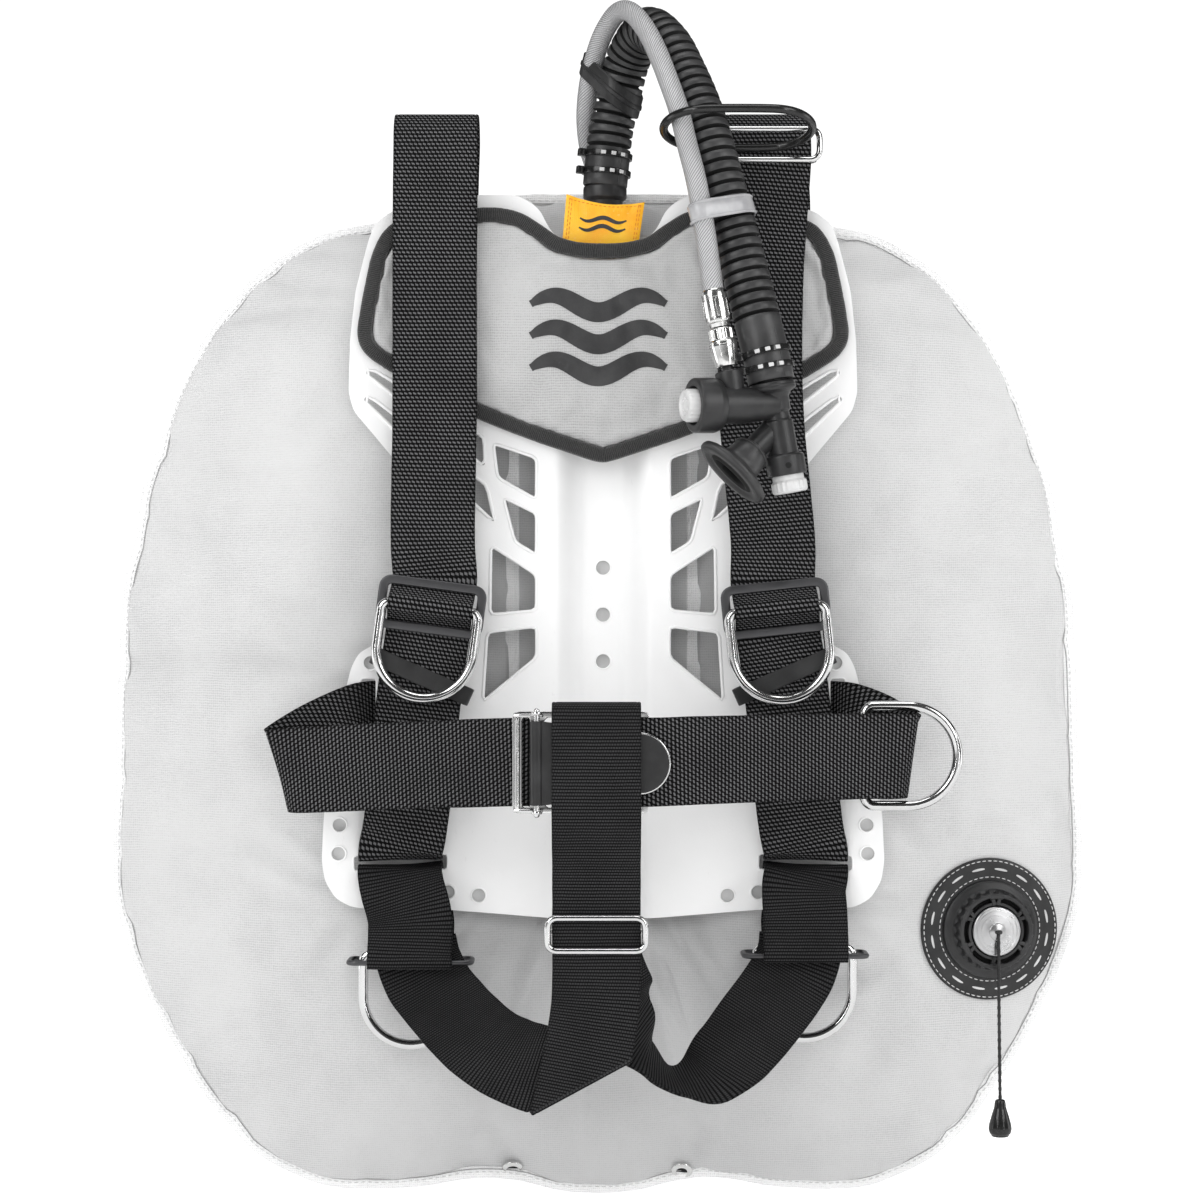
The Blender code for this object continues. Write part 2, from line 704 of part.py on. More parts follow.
def ribbed(name, line, plain_start, plain_end, domed=False):
    """Corrugated hose with a smooth bore, smooth outside for a length at each end.

    A domed hose is closed by a dome over its start and its bore stops 16 mm short of there.
    """
    total = running_lengths(line)[-1]
    line_tangents = tangents(line)
    rings = []

    def add_ring(distance, radius):
        k, part = place_on(line, distance)
        direction = line_tangents[k].lerp(line_tangents[k + 1], part)
        rings.append((line[k].lerp(line[k + 1], part), direction, radius))

    if domed:
        first = line_tangents[0]
        for degrees in (78, 55, 32, 10):
            angle = math.radians(degrees)
            centre = line[0] - first * (HOSE_R * math.sin(angle))
            rings.append((centre, first, HOSE_R * math.cos(angle)))
    start, bore_start = (2.0, 16.0) if domed else (0.0, 0.0)
    add_ring(start, HOSE_R)
    distance = start + plain_start
    add_ring(distance, HOSE_R)
    for _ in range(int((total - start - plain_start - plain_end) / RIB_PITCH)):
        add_ring(distance + RIB_PITCH * 0.5, HOSE_R - RIB_DEPTH)
        add_ring(distance + RIB_PITCH, HOSE_R)
        distance += RIB_PITCH
    # a long plain end gets rings of its own, to follow the curve
    if plain_end > 25.0:
        for part in (0.33, 0.66):
            add_ring(distance + (total - distance) * part, HOSE_R)
    add_ring(total, HOSE_R)
    # bore, from the far end back
    bore = total - bore_start
    steps = max(4, int(bore / 14))
    for k in range(steps + 1):
        add_ring(total - bore * k / steps, HOSE_BORE)
    tube_loft(name, rings, RUBBER, 12, HOSE_HINT, through=not domed)


def build_corrugated_hoses():
    k = split
    while k > 0 and (hose_line[k] - pivot).length < HOSE_R + 0.5:
        k -= 1
    ribbed("corrugated_hose_upper", hose_line[:k + 1], 23.0, 2.0)
    ribbed("corrugated_hose_lower", hose_line[split:], 2.0, 32.0, domed=True)


def build_elbow():
    """Elbow screwed into the air cell, with a spigot inside the hose."""
    # offset (y, z) from the port, direction, radius
    port_rings = (
        (39.0, 0, (0, -1, 0), 9.0),
        (31.0, 0, (0, -1, 0), 9.0),
        (30.99, 0, (0, -1, 0), 14.0),
        (28.2, 0, (0, -1, 0), 14.0),
        (28.0, 0, (0, -1, 0), 11.0),
        (25.0, 2, (0, -1, 0.6), 11.0),
        (22.6, 8, (0, -0.35, 1), 11.0),
        (22.0, 14, (0, 0, 1), 11.0),
    )
    rings = [
        (Vector((ELBOW_X, y, ELBOW_Z + z)), direction, radius)
        for y, z, direction, radius in port_rings
    ]
    start, direction = Vector(HOSE[0]), hose_tangents[0]
    for drop, radius in ((1.2, 12.6), (0.6, 12.6), (0.59, 9.0)):
        rings.append((start - UP * drop, direction, radius))
    rings.append((start + direction * 14.0, direction, 9.0))
    tube_loft("hose_elbow", rings, PLASTIC, 14, (1, 0, 0))


def build_cable_ties():
    total = running_lengths(hose_line)[-1]
    profile = [
        (TIE_INNER, TIE_HALF), (TIE_OUTER, TIE_HALF),
        (TIE_OUTER, -TIE_HALF), (TIE_INNER, -TIE_HALF),
    ]
    for tag, distance in (
        ("base_lower", 8.5), ("base_upper", 19.0),
        ("end_upper", total - 16.5), ("end_lower", total - 8.0),
    ):
        k, part = place_on(hose_line, distance)
        at = hose_line[k].lerp(hose_line[k + 1], part)
        turned("cable_tie_" + tag, profile, at, hose_tangents[k], PLASTIC, 14)


def build_lp_hoses():
    """Low-pressure hose in two lengths, with a gap at the height of the pivot."""
    lp_split = min(
        range(len(lp_line)),
        key=lambda k: abs(lp_line[k].z - pivot.z) + 1000 * (lp_line[k].y > 0),
    )
    middle = lp_line[lp_split]
    upper = [p for p in lp_line[:lp_split] if (p - middle).length > 13.0 or p.y > 0]
    lower = [p for p in lp_line[lp_split:] if (p - middle).length > 9.0]
    for name, line, count in (("lp_hose_upper", upper, 26), ("lp_hose_lower", lower, 9)):
        points = resample(line, count)
        rings = [(at, along, LP_R) for at, along in zip(points, tangents(points))]
        tube_loft(name, rings, BRAID, 10, HOSE_HINT)


def plane_hit(line, point, axis):
    """Where a line crosses the plane through a point, nearest to that point."""
    best = None
    for start, end in zip(line, line[1:]):
        before, after = (start - point).dot(axis), (end - point).dot(axis)
        if before * after <= 0 and abs(before - after) > 1e-9:
            hit = start.lerp(end, before / (before - after))
            if best is None or (hit - point).length < (best - point).length:
                best = hit
    return best


def tie_hoses(name, distance, height, wall, mat):
    """A closed band round both hoses: the outline of two circles, pulled tight."""
    k = place_on(hose_line, distance)[0] + 1
    base, axis = hose_line[k], hose_tangents[k]
    across = plane_hit(lp_line, base, axis) - base
    across = across - axis * across.dot(axis)
    apart = across.length
    across.normalize()
    side = axis.cross(across)
    touch = math.acos(max(-1.0, min(1.0, (HOSE_R - LP_R) / apart)))

    def outline(extra, level):
        flat_points = []
        for step in range(13):
            a = touch + (2 * math.pi - 2 * touch) * step / 12
            radius = HOSE_R + extra
            flat_points.append((math.cos(a) * radius, math.sin(a) * radius))
        for step in range(9):
            a = -touch + 2 * touch * step / 8
            radius = LP_R + extra
            flat_points.append((apart + math.cos(a) * radius, math.sin(a) * radius))
        return [base + across * x + side * y + axis * level for x, y in flat_points]

    inner, outer, half = 1.0, 1.0 + wall, height / 2
    section = ((outer, half), (outer, -half), (inner, -half), (inner, half))
    loft(name, [outline(extra, level) for extra, level in section], mat)


def build_hoses():
    build_corrugated_hoses()
    build_elbow()
    build_cable_ties()
    build_lp_hoses()
    to_pivot = running_lengths(hose_line)[split]
    tie_hoses("hose_wrap_upper", 58.0, height=9.0, wall=0.9, mat=RUBBER)
    tie_hoses("hose_clip_lower", to_pivot + 26.0, height=8.5, wall=1.2, mat=BRUSHED)
    # yellow tab in front of the elbow
    tab = [
        (-21.9, 191.8), (-10, 187.8), (1.5, 185.5), (13, 185.8), (25.0, 186.9),
        (21.2, 164.5), (-24.7, 164.5),
    ]
    flat("hose_tab", rounded(tab, 1.2, 1), [], 1.6, YELLOW, y=1.5)


# ---------------------------------------------------------------- inflator
BAR_TOP = Vector((96.0, -74.0, 77.1))
BAR_END = Vector((108.3, -74.0, 5.4))
BAR_AXIS = (BAR_TOP - BAR_END).normalized()  # points up
BODY_TOP = BAR_TOP + BAR_AXIS * 3.4
BUTTON_Z = 59.9  # height where the cross barrel leaves the bar
BUTTON_AXIS = Vector((-0.93, -0.36, -0.03)).normalized()
BUTTON_BASE = BAR_TOP + BAR_AXIS * (BUTTON_Z - BAR_TOP.z) / BAR_AXIS.z
NIPPLE_ROOT = BUTTON_BASE + BUTTON_AXIS * 25.8
NIPPLE_AXIS = (lp_end - NIPPLE_ROOT).normalized()
MOUTH_ROOT = Vector((99.2, -75.0, 47.5))
MOUTH_AXIS = Vector((-0.64, -0.38, -0.67)).normalized()

# Turned profiles, rows of (radius, height).
BODY = [
    (0, 0.0), (8.4, 0.0), (8.4, -8.0), (13.2, -8.2), (13.2, -12.2), (8.2, -13.8),
    (7.6, -25.0), (6.6, -25.5), (6.6, -29.5), (7.6, -30), (7.6, -49.6), (11.0, -50.2),
    (11.2, -52.2), (11.2, -61.7), (9.6, -61.7), (9.6, -53.2), (0, -53.2),
]
CROSS_BARREL = [(0, 34.4), (10.3, 34.4), (10.3, 17.4), (9.2, 15.4), (6.8, 0.0), (0, 0.0)]
NIPPLE = [
    (0, 34.0), (3.0, 34.0), (3.0, 19.5), (6.5, 19.0), (6.5, 3.0), (7.0, 0.0), (0, 0.0),
]
MOUTH_TUBE = [(0, 27.0), (7.2, 27.0), (7.2, 21.0), (6.3, 20.0), (6.3, 0.0), (0, 0.0)]
COLLAR = [
    (11.2, 16.5), (15.2, 16.5), (15.8, 15.0), (15.8, 4.0), (14.0, 0.0), (10.0, 0.0),
    (10.0, 1.8), (11.2, 1.8),
]
INFLATE_BUTTON = [(0, 22.0), (8.6, 22.0), (9.5, 21.0), (9.5, 6.0), (0, 6.0)]
DEFLATE_BUTTON = [
    (0, -7.6), (9.1, -7.6), (9.1, -14.6), (10.4, -15.6), (10.4, -20.4), (9.0, -21.8),
    (0, -21.8),
]
FERRULE = [
    (0, 26.0), (3.1, 26.0), (3.1, 17.4), (6.7, 17.4), (7.2, 15), (7.2, 1.6), (5.0, 0.9),
    (0, 0.9),
]
SLEEVE = [
    (3.8, 43.2), (6.2, 43.2), (7.4, 37.0), (8.0, 32.0), (8.0, 28.5), (7.2, 28.0),
    (7.2, 21.0), (3.8, 21.0),
]
# Height along the mouth axis, half length, half width: out along the outside, back inside.
MOUTHPIECE = [
    (21.5, 10.5, 10.5), (30.0, 10.8, 10.2), (34.0, 13.0, 9.5), (37.5, 23.0, 13.5),
    (41.0, 23.5, 14.0), (42.0, 22.0, 12.5), (42.2, 11.0, 3.2), (35.0, 8.0, 4.5),
    (28.0, 7.8, 7.8), (21.5, 7.8, 7.8),
]


def build_mouthpiece():
    """Round socket on the tube, oval lip at the mouth."""
    lip_long = Vector((0.67, 0.0, -0.74))
    lip_long = (lip_long - MOUTH_AXIS * lip_long.dot(MOUTH_AXIS)).normalized()
    lip_short = MOUTH_AXIS.cross(lip_long).normalized()
    angles = [2 * math.pi * k / 16 for k in range(16)]
    loops = []
    for height, long_half, short_half in MOUTHPIECE:
        centre = MOUTH_ROOT + MOUTH_AXIS * height
        loops.append([
            centre + lip_long * (long_half * math.cos(a)) + lip_short * (short_half * math.sin(a))
            for a in angles
        ])
    loft("mouthpiece", loops, RUBBER)


def build_inflator():
    body = turned("inflator_body", BODY, BODY_TOP, BAR_AXIS, PLASTIC, 16)
    for name, profile, root, axis, steps in (
        ("cross_barrel_join", CROSS_BARREL, BUTTON_BASE, BUTTON_AXIS, 16),
        ("nipple_join", NIPPLE, NIPPLE_ROOT, NIPPLE_AXIS, 14),
        ("mouth_tube_join", MOUTH_TUBE, MOUTH_ROOT, MOUTH_AXIS, 14),
    ):
        boolean(body, turned_helper(name, profile, root, axis, steps), "UNION")

    collar_base = BUTTON_BASE + BUTTON_AXIS * 35.0
    turned("inflate_collar", COLLAR, collar_base, BUTTON_AXIS, PLASTIC, 18)
    turned("inflate_button", INFLATE_BUTTON, collar_base, BUTTON_AXIS, PALE_PLASTIC, 16)
    cup_top = BODY_TOP - BAR_AXIS * 50.2
    turned("deflate_button", DEFLATE_BUTTON, cup_top, BAR_AXIS, PALE_PLASTIC, 16)
    build_mouthpiece()
    # low-pressure coupling, from the hose's end towards the nipple
    for name, profile in (("lp_ferrule", FERRULE), ("coupling_sleeve", SLEEVE)):
        turned(name, profile, lp_end, -NIPPLE_AXIS, BRASS, 14, hint=(0, 1, 0))


# ---------------------------------------------------------------- webbing
def centripetal(before, start, end, after, part):
    """Centripetal Catmull-Rom from start to end. It doesn't overshoot between uneven spans."""
    t0 = 0.0
    t1 = t0 + max(1e-4, (start - before).length) ** 0.5
    t2 = t1 + max(1e-4, (end - start).length) ** 0.5
    t3 = t2 + max(1e-4, (after - end).length) ** 0.5
    now = t1 + (t2 - t1) * part

    def blend(one, two, from_t, to_t):
        return one * ((to_t - now) / (to_t - from_t)) + two * ((now - from_t) / (to_t - from_t))

    first = blend(before, start, t0, t1)
    second = blend(start, end, t1, t2)
    third = blend(end, after, t2, t3)
    return blend(blend(first, second, t0, t2), blend(second, third, t1, t3), t1, t2)


def strap_frames(points, sides, turn=13.0, longest=70.0):
    """Centres and width directions along webbing, closer together where it bends or twists.

    turn is the largest angle in degrees between kept frames, longest their largest distance.
    """
    knots = extended([Vector(p) for p in points])
    widths = [Vector(side).normalized() for side in sides]
    fine = []
    for i in range(len(widths) - 1):
        for k in range(20):
            part = k / 20
            centre = centripetal(*knots[i:i + 4], part)
            fine.append((centre, widths[i].lerp(widths[i + 1], smooth_step(part))))
    fine.append((knots[-2].copy(), widths[-1].copy()))
    frames = []
    directions = tangents([centre for centre, _ in fine])
    for (centre, side), along in zip(fine, directions):
        side = (side - along * side.dot(along)).normalized()
        frames.append((centre, side, along))
    kept = [frames[0]]
    limit = math.radians(turn)
    for here, (centre, side, along) in zip(frames[1:], frames[2:]):
        last = kept[-1]
        if (
            along.angle(last[2], 0.0) > limit
            or side.angle(last[1], 0.0) > limit
            or (centre - last[0]).length > longest
        ):
            kept.append(here)
    kept.append(frames[-1])
    return kept


def ribbon(name, points, sides):
    """Webbing along a path. Each design point has the direction its width runs in."""
    frames = strap_frames(points, sides)
    spans = len(frames) - 1
    bm = bmesh.new()
    bmesh.ops.create_grid(bm, x_segments=1, y_segments=spans, size=0.5)
    for v in bm.verts:
        centre, side, _ = frames[round((v.co.y + 0.5) * spans)]
        sign = 1.0 if v.co.x > 0 else -1.0
        v.co = (centre + side * sign * WEB_W / 2) * MM
    obj = object_from(bm, name, WEBBING)
    thicken(obj, WEB_T).use_even_offset = True


# ---------------------------------------------------------------- D-rings and sliders
def unit_axes(tilt_degrees):
    """Axes of a D-ring unit on the front of a strap: across, out (towards -Y) and down."""
    tilt = math.radians(tilt_degrees)
    across = Vector((math.cos(tilt), 0, math.sin(tilt)))
    down = Vector((math.sin(tilt), 0, -math.cos(tilt)))
    return across, FRONT, down


def unit_point(centre, axes, across, out, down):
    return Vector(centre) + axes[0] * across + axes[1] * out + axes[2] * down


def hump(centre, axes):
    """Webbing path over the D-ring bar, at a centre-line radius of 4.6 about the bar."""
    rows = [(0.0, -17.0), (0.1, -13.4), (3.2, -8.8)]  # out, down
    for degrees in (-78, -40, 0, 40, 78):
        angle = math.radians(degrees)
        rows.append((D_OUT + 4.6 * math.cos(angle), 4.6 * math.sin(angle)))
    rows += [(3.2, 8.8), (0.1, 13.4), (0.0, 17.0)]
    return [unit_point(centre, axes, 0, out, down) for out, down in rows]


def d_ring(name, bar, axes, half=D_HALF, drop=D_DROP):
    """A D-ring with its straight bar at the origin and its bow in the down direction."""
    straight = drop - half
    rows = [(-half + 2 * half * k / 4, 0.0) for k in range(5)]  # across, down
    rows.append((half, straight * 0.5))
    for k in range(13):
        angle = math.pi * k / 12
        rows.append((half * math.cos(angle), straight + half * math.sin(angle)))
    rows.append((-half, straight * 0.5))
    points = [unit_point(bar, axes, across, 0.0, down) for across, down in rows]
    wire(name, points, D_WIRE, STEEL, origin=bar)


def slider_plate(name, centre, axes, out):
    """Flat three-bar slider: a window either side of the middle bar."""
    windows = [rounded(rect(-26, 26, low, low + 9.8), 1.5, 1) for low in (3.0, -12.8)]
    obj = flat(name, rounded(rect(-32, 32, -16, 16), 5), windows, 3.0, BRUSHED, y=-1.5)
    frame = Matrix((axes[0], -axes[1], -axes[2])).transposed().to_4x4()
    frame.translation = (Vector(centre) + axes[1] * out) * MM
    obj.matrix_world = frame


def framed_slider(name, prefix, x, outer, window, thickness, mat, y, arm, rear_bar):
    """A front frame with two arms back to a bar behind the webbing.

    outer and window: half width, bottom, top. arm: distance from the middle, half width,
    front, rear, bottom, top. rear_bar: half width, front, rear, bottom, top.
    """
    half, bottom, top = outer
    outline = rounded(rect(x - half, x + half, bottom, top), 4.0)
    half, bottom, top = window
    hole = rounded(rect(x - half, x + half, bottom, top), 1.5, 1)
    slider = flat(name, outline, [hole], thickness, mat, y)
    away, half, front, rear, bottom, top = arm
    for number, side in ((1, -1), (3, 1)):
        middle = x + side * away
        low, high = (middle - half, front, bottom), (middle + half, rear, top)
        boolean(slider, box_helper(f"{prefix}_arm_{number}", low, high), "UNION")
    half, front, rear, bottom, top = rear_bar
    low, high = (x - half, front, bottom), (x + half, rear, top)
    boolean(slider, box_helper(prefix + "_rear_bar", low, high), "UNION")


# ---------------------------------------------------------------- shoulder straps
STRAP_Y = -26.0
# side name, X sign, unit tilt in degrees, unit centre, strap X at the shoulder and at the chest
SHOULDERS = (
    ("right", -1, -7.6, (-101.5, STRAP_Y, -56.0), -99.0, -99.5),
    ("left", 1, 6.0, (102.0, STRAP_Y, -57.0), 98.0, 93.5),
)


def build_shoulder_straps():
    """From the plate's shoulder slots over the top and down to the thigh slots."""
    for tag, sign, tilt, centre, top_x, mid_x in SHOULDERS:
        axes = unit_axes(tilt)
        path = [
            (sign * 100.0, 0.4, 129.6), (sign * 100.0, 5.0, 130.2), (sign * 100.0, 8.6, 136.0),
            (sign * 100.0, 9.4, 150.0), (sign * 100.0, 9.6, 190.0),
            (top_x, 7.0, 222.0), (top_x, -2.0, 234.5), (top_x, -13.0, 236.0),
            (top_x, -22.5, 227.0), (top_x, STRAP_Y, 208.0),
            (mid_x, STRAP_Y, 140.0), (mid_x, STRAP_Y, 60.0), (sign * 100.5, STRAP_Y, -20.0),
        ]
        sides = [(1, 0, 0)] * len(path)
        over_bar = hump(centre, axes)
        path += over_bar
        sides += [axes[0]] * len(over_bar)
        path += [
            (sign * 106.0, -26.0, -88.0), (sign * 110.0, -25.0, -120.0),
            (sign * 114.0, -22.0, -160.0), (sign * 118.0, -18.5, -190.0),
            (sign * 120.5, -15.0, -201.0), (sign * 121.0, -9.5, -205.6),
            (sign * 121.0, -5.0, -206.3), (sign * 121.0, 0.5, -206.0),
        ]
        sides += [(1, 0, 0)] * 5 + [(1, -0.2 * sign, 0)] * 3
        ribbon("shoulder_strap_" + tag, path, sides)
        slider_plate("shoulder_slider_" + tag, centre, axes, 3.5)
        d_ring("shoulder_d_ring_" + tag, unit_point(centre, axes, 0, D_OUT, 0), axes)


def build_rubber_keepers():
    """Flat rubber loops round the straps, below the shoulder D-rings."""
    half, depth, wall, height = 30.0, 5.4, 1.2, 9.0
    tilt = math.radians(24.0)
    outer = rect(-half - wall, half + wall, -depth / 2 - wall, depth / 2 + wall)
    opening = rect(-half, half, -depth / 2, depth / 2)
    for tag, sign in WEARER_SIDES:
        obj = flat(
            "rubber_keeper_" + tag, rounded(outer, wall * 1.2, 1), [opening],
            height, RUBBER, y=-height / 2,
        )
        across = Vector((math.cos(tilt), 0.0, math.sin(tilt) * sign)).normalized()
        # local X runs across the strap, local Z to the rear, local -Y up the strap
        up = across.cross(-FRONT).normalized()
        frame = Matrix((across, -up, -FRONT)).transposed().to_4x4()
        frame.translation = Vector((sign * 107.2, -25.8, -97.0)) * MM
        obj.matrix_world = frame


# ---------------------------------------------------------------- waist belt
# Paths (x, y, z), from the plate's slot out to the fold and in to the buckle.
BELT_RIGHT = [
    (-128.0, -1.4, -125.0), (-134.0, -2.9, -125.2), (-140.4, -8.8, -125.5),
    (-147, -17.0, -127.0), (-158, -26.0, -132.0), (-176, -33.0, -142.0),
    (-186.5, -38.5, -149.5), (-189.0, -45.5, -151.4), (-183.0, -52.0, -151.2),
    (-160, -60.5, -149.8), (-120, -76.0, -147.0), (-80, -92.0, -144.8),
    (-55.0, -101.5, -143.5), (-49.4, -103.5, -143.2),
]
BELT_LEFT = [
    (128.0, -1.4, -125.2), (134.0, -2.9, -125.3), (140.4, -8.8, -125.5),
    (147, -17.0, -126.3), (157, -24.0, -130.0), (168, -27.5, -136.5),
    (178.0, -31.5, -142.5), (181.0, -38.0, -143.4), (176.0, -45.5, -143.2),
    (160, -52.5, -142.8), (120, -70.0, -142.4), (80, -90.0, -142.4),
    (50, -105.5, -142.4), (32, -111.3, -142.8), (14.0, -112.6, -143.0),
    (-24.0, -112.6, -143.2),
]
BUCKLE_Z = -143.4
HINGE_X, HINGE_Y = -37.2, -115.2


def build_buckle():
    """Frame, cross pin, and a lever with a sleeve round the pin."""
    flat(
        "buckle_frame", rounded(rect(-51, 26, -172.0, -114.4), 4.0),
        [rounded(rect(-45.6, -41.2, -168.4, -118.0), 1.0, 1),
         rounded(rect(-33.2, 21.0, -168.4, -118.0), 2.0, 1)],
        3.0, BRUSHED, y=-110.0,
    )
    pin = [(HINGE_X, HINGE_Y, z) for z in (-173.0, -158.0, -128.0, -113.4)]
    wire("buckle_pin", pin, 1.7, STEEL, cyclic=False)
    tip_x, tip_r = 20.4, 16.4
    outline = [(-34.6, -167.0), (tip_x, -159.8)]
    for k in range(9):
        angle = -math.pi / 2 + math.pi * k / 8
        outline.append((tip_x + tip_r * math.cos(angle), BUCKLE_Z + tip_r * math.sin(angle)))
    outline += [(tip_x, -127.0), (-34.6, -119.8)]
    lever = flat("buckle_lever", rounded(outline, 0.4, 1), [], 2.4, PLASTIC, y=-117.6)
    sleeve = turned_helper(
        "lever_sleeve_join", [(3.9, 23.5), (3.9, -23.5), (2.1, -23.5), (2.1, 23.5)],
        (HINGE_X, HINGE_Y, BUCKLE_Z), UP, 12,
    )
    boolean(lever, sleeve, "UNION")


def build_waist_belt():
    ribbon("waist_belt_right", BELT_RIGHT, [UP] * len(BELT_RIGHT))
    ribbon("waist_belt_left", BELT_LEFT, [UP] * len(BELT_LEFT))
    build_buckle()
    # hip D-ring inside the left belt fold, bow towards the wearer's left
    hip_axes = (UP, FRONT, Vector((1, 0, 0)))
    d_ring("hip_d_ring", Vector((153.5, -38.0, BUCKLE_Z)), hip_axes, D_HALF + 0.8, 54.5)


# ---------------------------------------------------------------- crotch and thigh straps
CROTCH_X = -3.8
# (y, z) of the stretch that stays at CROTCH_X: up behind the belt, over it and down in front.
CROTCH_LOOP = [
    (-99.6, -236.0), (-99.8, -225.0), (-99.6, -205.0), (-97.8, -178.0), (-97.4, -150.0),
    (-97.6, -125.0), (-101.0, -113.4), (-110.0, -110.2), (-120.0, -113.4), (-122.4, -125.0),
    (-122.4, -150.0), (-121.0, -174.0), (-113.5, -193.0), (-107.0, -207.0),
    (-105.8, -216.0), (-105.8, -240.0), (-105.8, -266.0),
]
# Rows of (path point), (width direction): on to each thigh.
CROTCH_TAIL = [
    ((-4.2, -106.3, -285.0), (1, 0, -0.05)), ((-7.5, -106.5, -307.0), (0.93, 0.12, -0.35)),
    ((-17.0, -105.5, -324.0), (0.55, -0.55, -0.62)),
    ((-34.0, -101.5, -333.0), (0.05, -0.82, -0.57)),
    ((-54.0, -92.0, -329.5), (-0.55, -0.55, -0.62)),
    ((-71.0, -72.0, -314.0), (-0.80, -0.28, -0.52)),
    ((-85.0, -48.0, -296.0), (-0.88, -0.15, -0.45)),
    ((-98.5, -31.5, -283.0), (-0.94, -0.05, -0.33)),
    ((-107.0, -24.8, -272.5), (-0.98, 0, -0.2)), ((-110.5, -22.8, -262.5), (-1.0, 0, -0.08)),
    ((-111.5, -22.5, -255.0), (-1.0, 0, -0.04)),
]
THIGH_LEFT = [
    ((CROTCH_X, -102.8, -225.5), (1, 0, 0)), ((CROTCH_X, -102.7, -240.0), (1, 0, 0)),
    ((-3.0, -101.6, -256.0), (1, 0, 0.03)), ((-1.0, -96.5, -274.0), (0.98, 0.1, 0.1)),
    ((5.0, -87.0, -293.0), (0.88, 0.35, 0.25)), ((17.0, -79.0, -311.0), (0.62, 0.65, 0.4)),
    ((36.0, -74.5, -323.0), (0.2, 0.88, 0.42)), ((58.0, -69.0, -324.0), (-0.3, 0.82, 0.5)),
    ((76.0, -60.0, -313.0), (-0.62, 0.55, 0.5)), ((92.0, -46.0, -296.0), (-0.82, 0.28, 0.45)),
    ((105.5, -32.0, -281.0), (-0.92, 0.1, 0.35)), ((113.0, -25.2, -270.0), (-0.98, 0, 0.2)),
    ((116.5, -22.5, -259.5), (-1.0, 0, 0.08)), ((117.5, -22.3, -251.0), (-1.0, 0, 0.0)),
]
# side name, X sign, distance from the middle and height of each thigh D-ring bar
THIGH_UNITS = (("right", -1, 114.0, -262.0), ("left", 1, 119.5, -258.0))


def build_crotch_strap():
    rows = [((CROTCH_X, y, z), (1, 0, 0)) for y, z in CROTCH_LOOP] + CROTCH_TAIL
    ribbon("crotch_strap_right", *zip(*rows))
    ribbon("thigh_strap_left", *zip(*THIGH_LEFT))
    framed_slider(
        "crotch_slider", "crotch_slider", CROTCH_X,
        outer=(29.5, -248.8, -227.6), window=(25.8, -245.0, -231.4),
        thickness=2.2, mat=BRUSHED, y=-109.8,
        arm=(27.6, 1.5, -109.0, -94.4, -240.0, -236.4),
        rear_bar=(29.0, -97.6, -95.0, -240.0, -236.4),
    )


def build_thigh_loops():
    """Loops through the plate's lower slots, with their D-rings and wire sliders."""
    for tag, sign, away, bar_z in THIGH_UNITS:
        x = sign * away
        path = [
            (x, -12.4, bar_z - 1.0), (x, -11.8, bar_z + 4.0), (x, -4.0, bar_z + 12.0),
            (x + sign, 4.8, bar_z + 21.5), (sign * 120.0, 5.4, -229.0),
            (sign * 120.5, 4.4, -217.5), (sign * 121, 0.4, -212.0),
            (sign * 121, -5.0, -211.2), (sign * 121, -10.5, -211.4),
            (sign * 120.8, -16.5, -214.0), (sign * 119.0, -22.0, -222.0),
            (x, -26.0, -240.0), (x, -26.2, bar_z), (x, -26.2, bar_z - 3.5),
        ]
        sides = [(1, 0, 0)] * 3 + [(1, -0.2 * sign, 0)] * 6
        sides += [(1, 0.1 * sign, 0)] * 2 + [(1, 0, 0)] * 3
        ribbon("thigh_loop_" + tag, path, sides)
        d_ring("thigh_d_ring_" + tag, Vector((x, -17.6, bar_z)), unit_axes(0.0))
        # slider: a rectangle with cut corners, rows of (x from the middle, y)
        corners = (
            (-33.4, -30.4), (33.4, -30.4), (36.2, -28.2), (36.2, -11.2),
            (33.4, -9.0), (-33.4, -9.0), (-36.2, -11.2), (-36.2, -28.2),
        )
        points = [(x + across, y, bar_z - 4.0) for across, y in corners]
        wire("thigh_slider_" + tag, points, 1.6, BRUSHED)


# ---------------------------------------------------------------- hose keeper
RING_C = Vector((78.0, -60.0, 221.0))
RING_HALF_LONG, RING_HALF_SHORT = 43.0, 26.5
RING_TILT = math.radians(16.0)  # its front edge is raised
KEEPER_X = 98.0


def build_hose_keeper():
    """Ring round the hoses, and the slider on the left shoulder strap."""
    points = []
    for k in range(28):
        angle = 2 * math.pi * k / 28
        cosine = math.cos(angle)
        end = 1 if cosine > 1e-6 else -1 if cosine < -1e-6 else 0
        x = (RING_HALF_LONG - RING_HALF_SHORT) * end + RING_HALF_SHORT * cosine
        y = RING_HALF_SHORT * math.sin(angle)
        points.append(RING_C + Vector((x, y * math.cos(RING_TILT), -y * math.sin(RING_TILT))))
    wire("keeper_ring", points, 2.5, PLASTIC)
    framed_slider(
        "keeper_slider", "keeper", KEEPER_X,
        outer=(31, 204.5, 226.0), window=(27.2, 207.8, 222.6),
        thickness=2.4, mat=STEEL, y=-40.0,
        arm=(29.0, 1.6, -39.0, -20.0, 206.0, 209.6),
        rear_bar=(30.4, -23.4, -20.6, 206.2, 209.4),
    )


# ---------------------------------------------------------------- assembly
build_backplate()
build_back_pad()
build_air_cell()
build_dump_valve()
build_hoses()
build_inflator()
build_shoulder_straps()
build_rubber_keepers()
build_waist_belt()
build_crotch_strap()
build_thigh_loops()
build_hose_keeper()

# the rear face of the centre panel rests on the tank, and goes to Y = 0
frame_shift = FRONT * (INNER_Y + CENTRE_PANEL_T / 2) * MM
for obj in list(bpy.data.objects):
    obj.location = obj.location + frame_shift
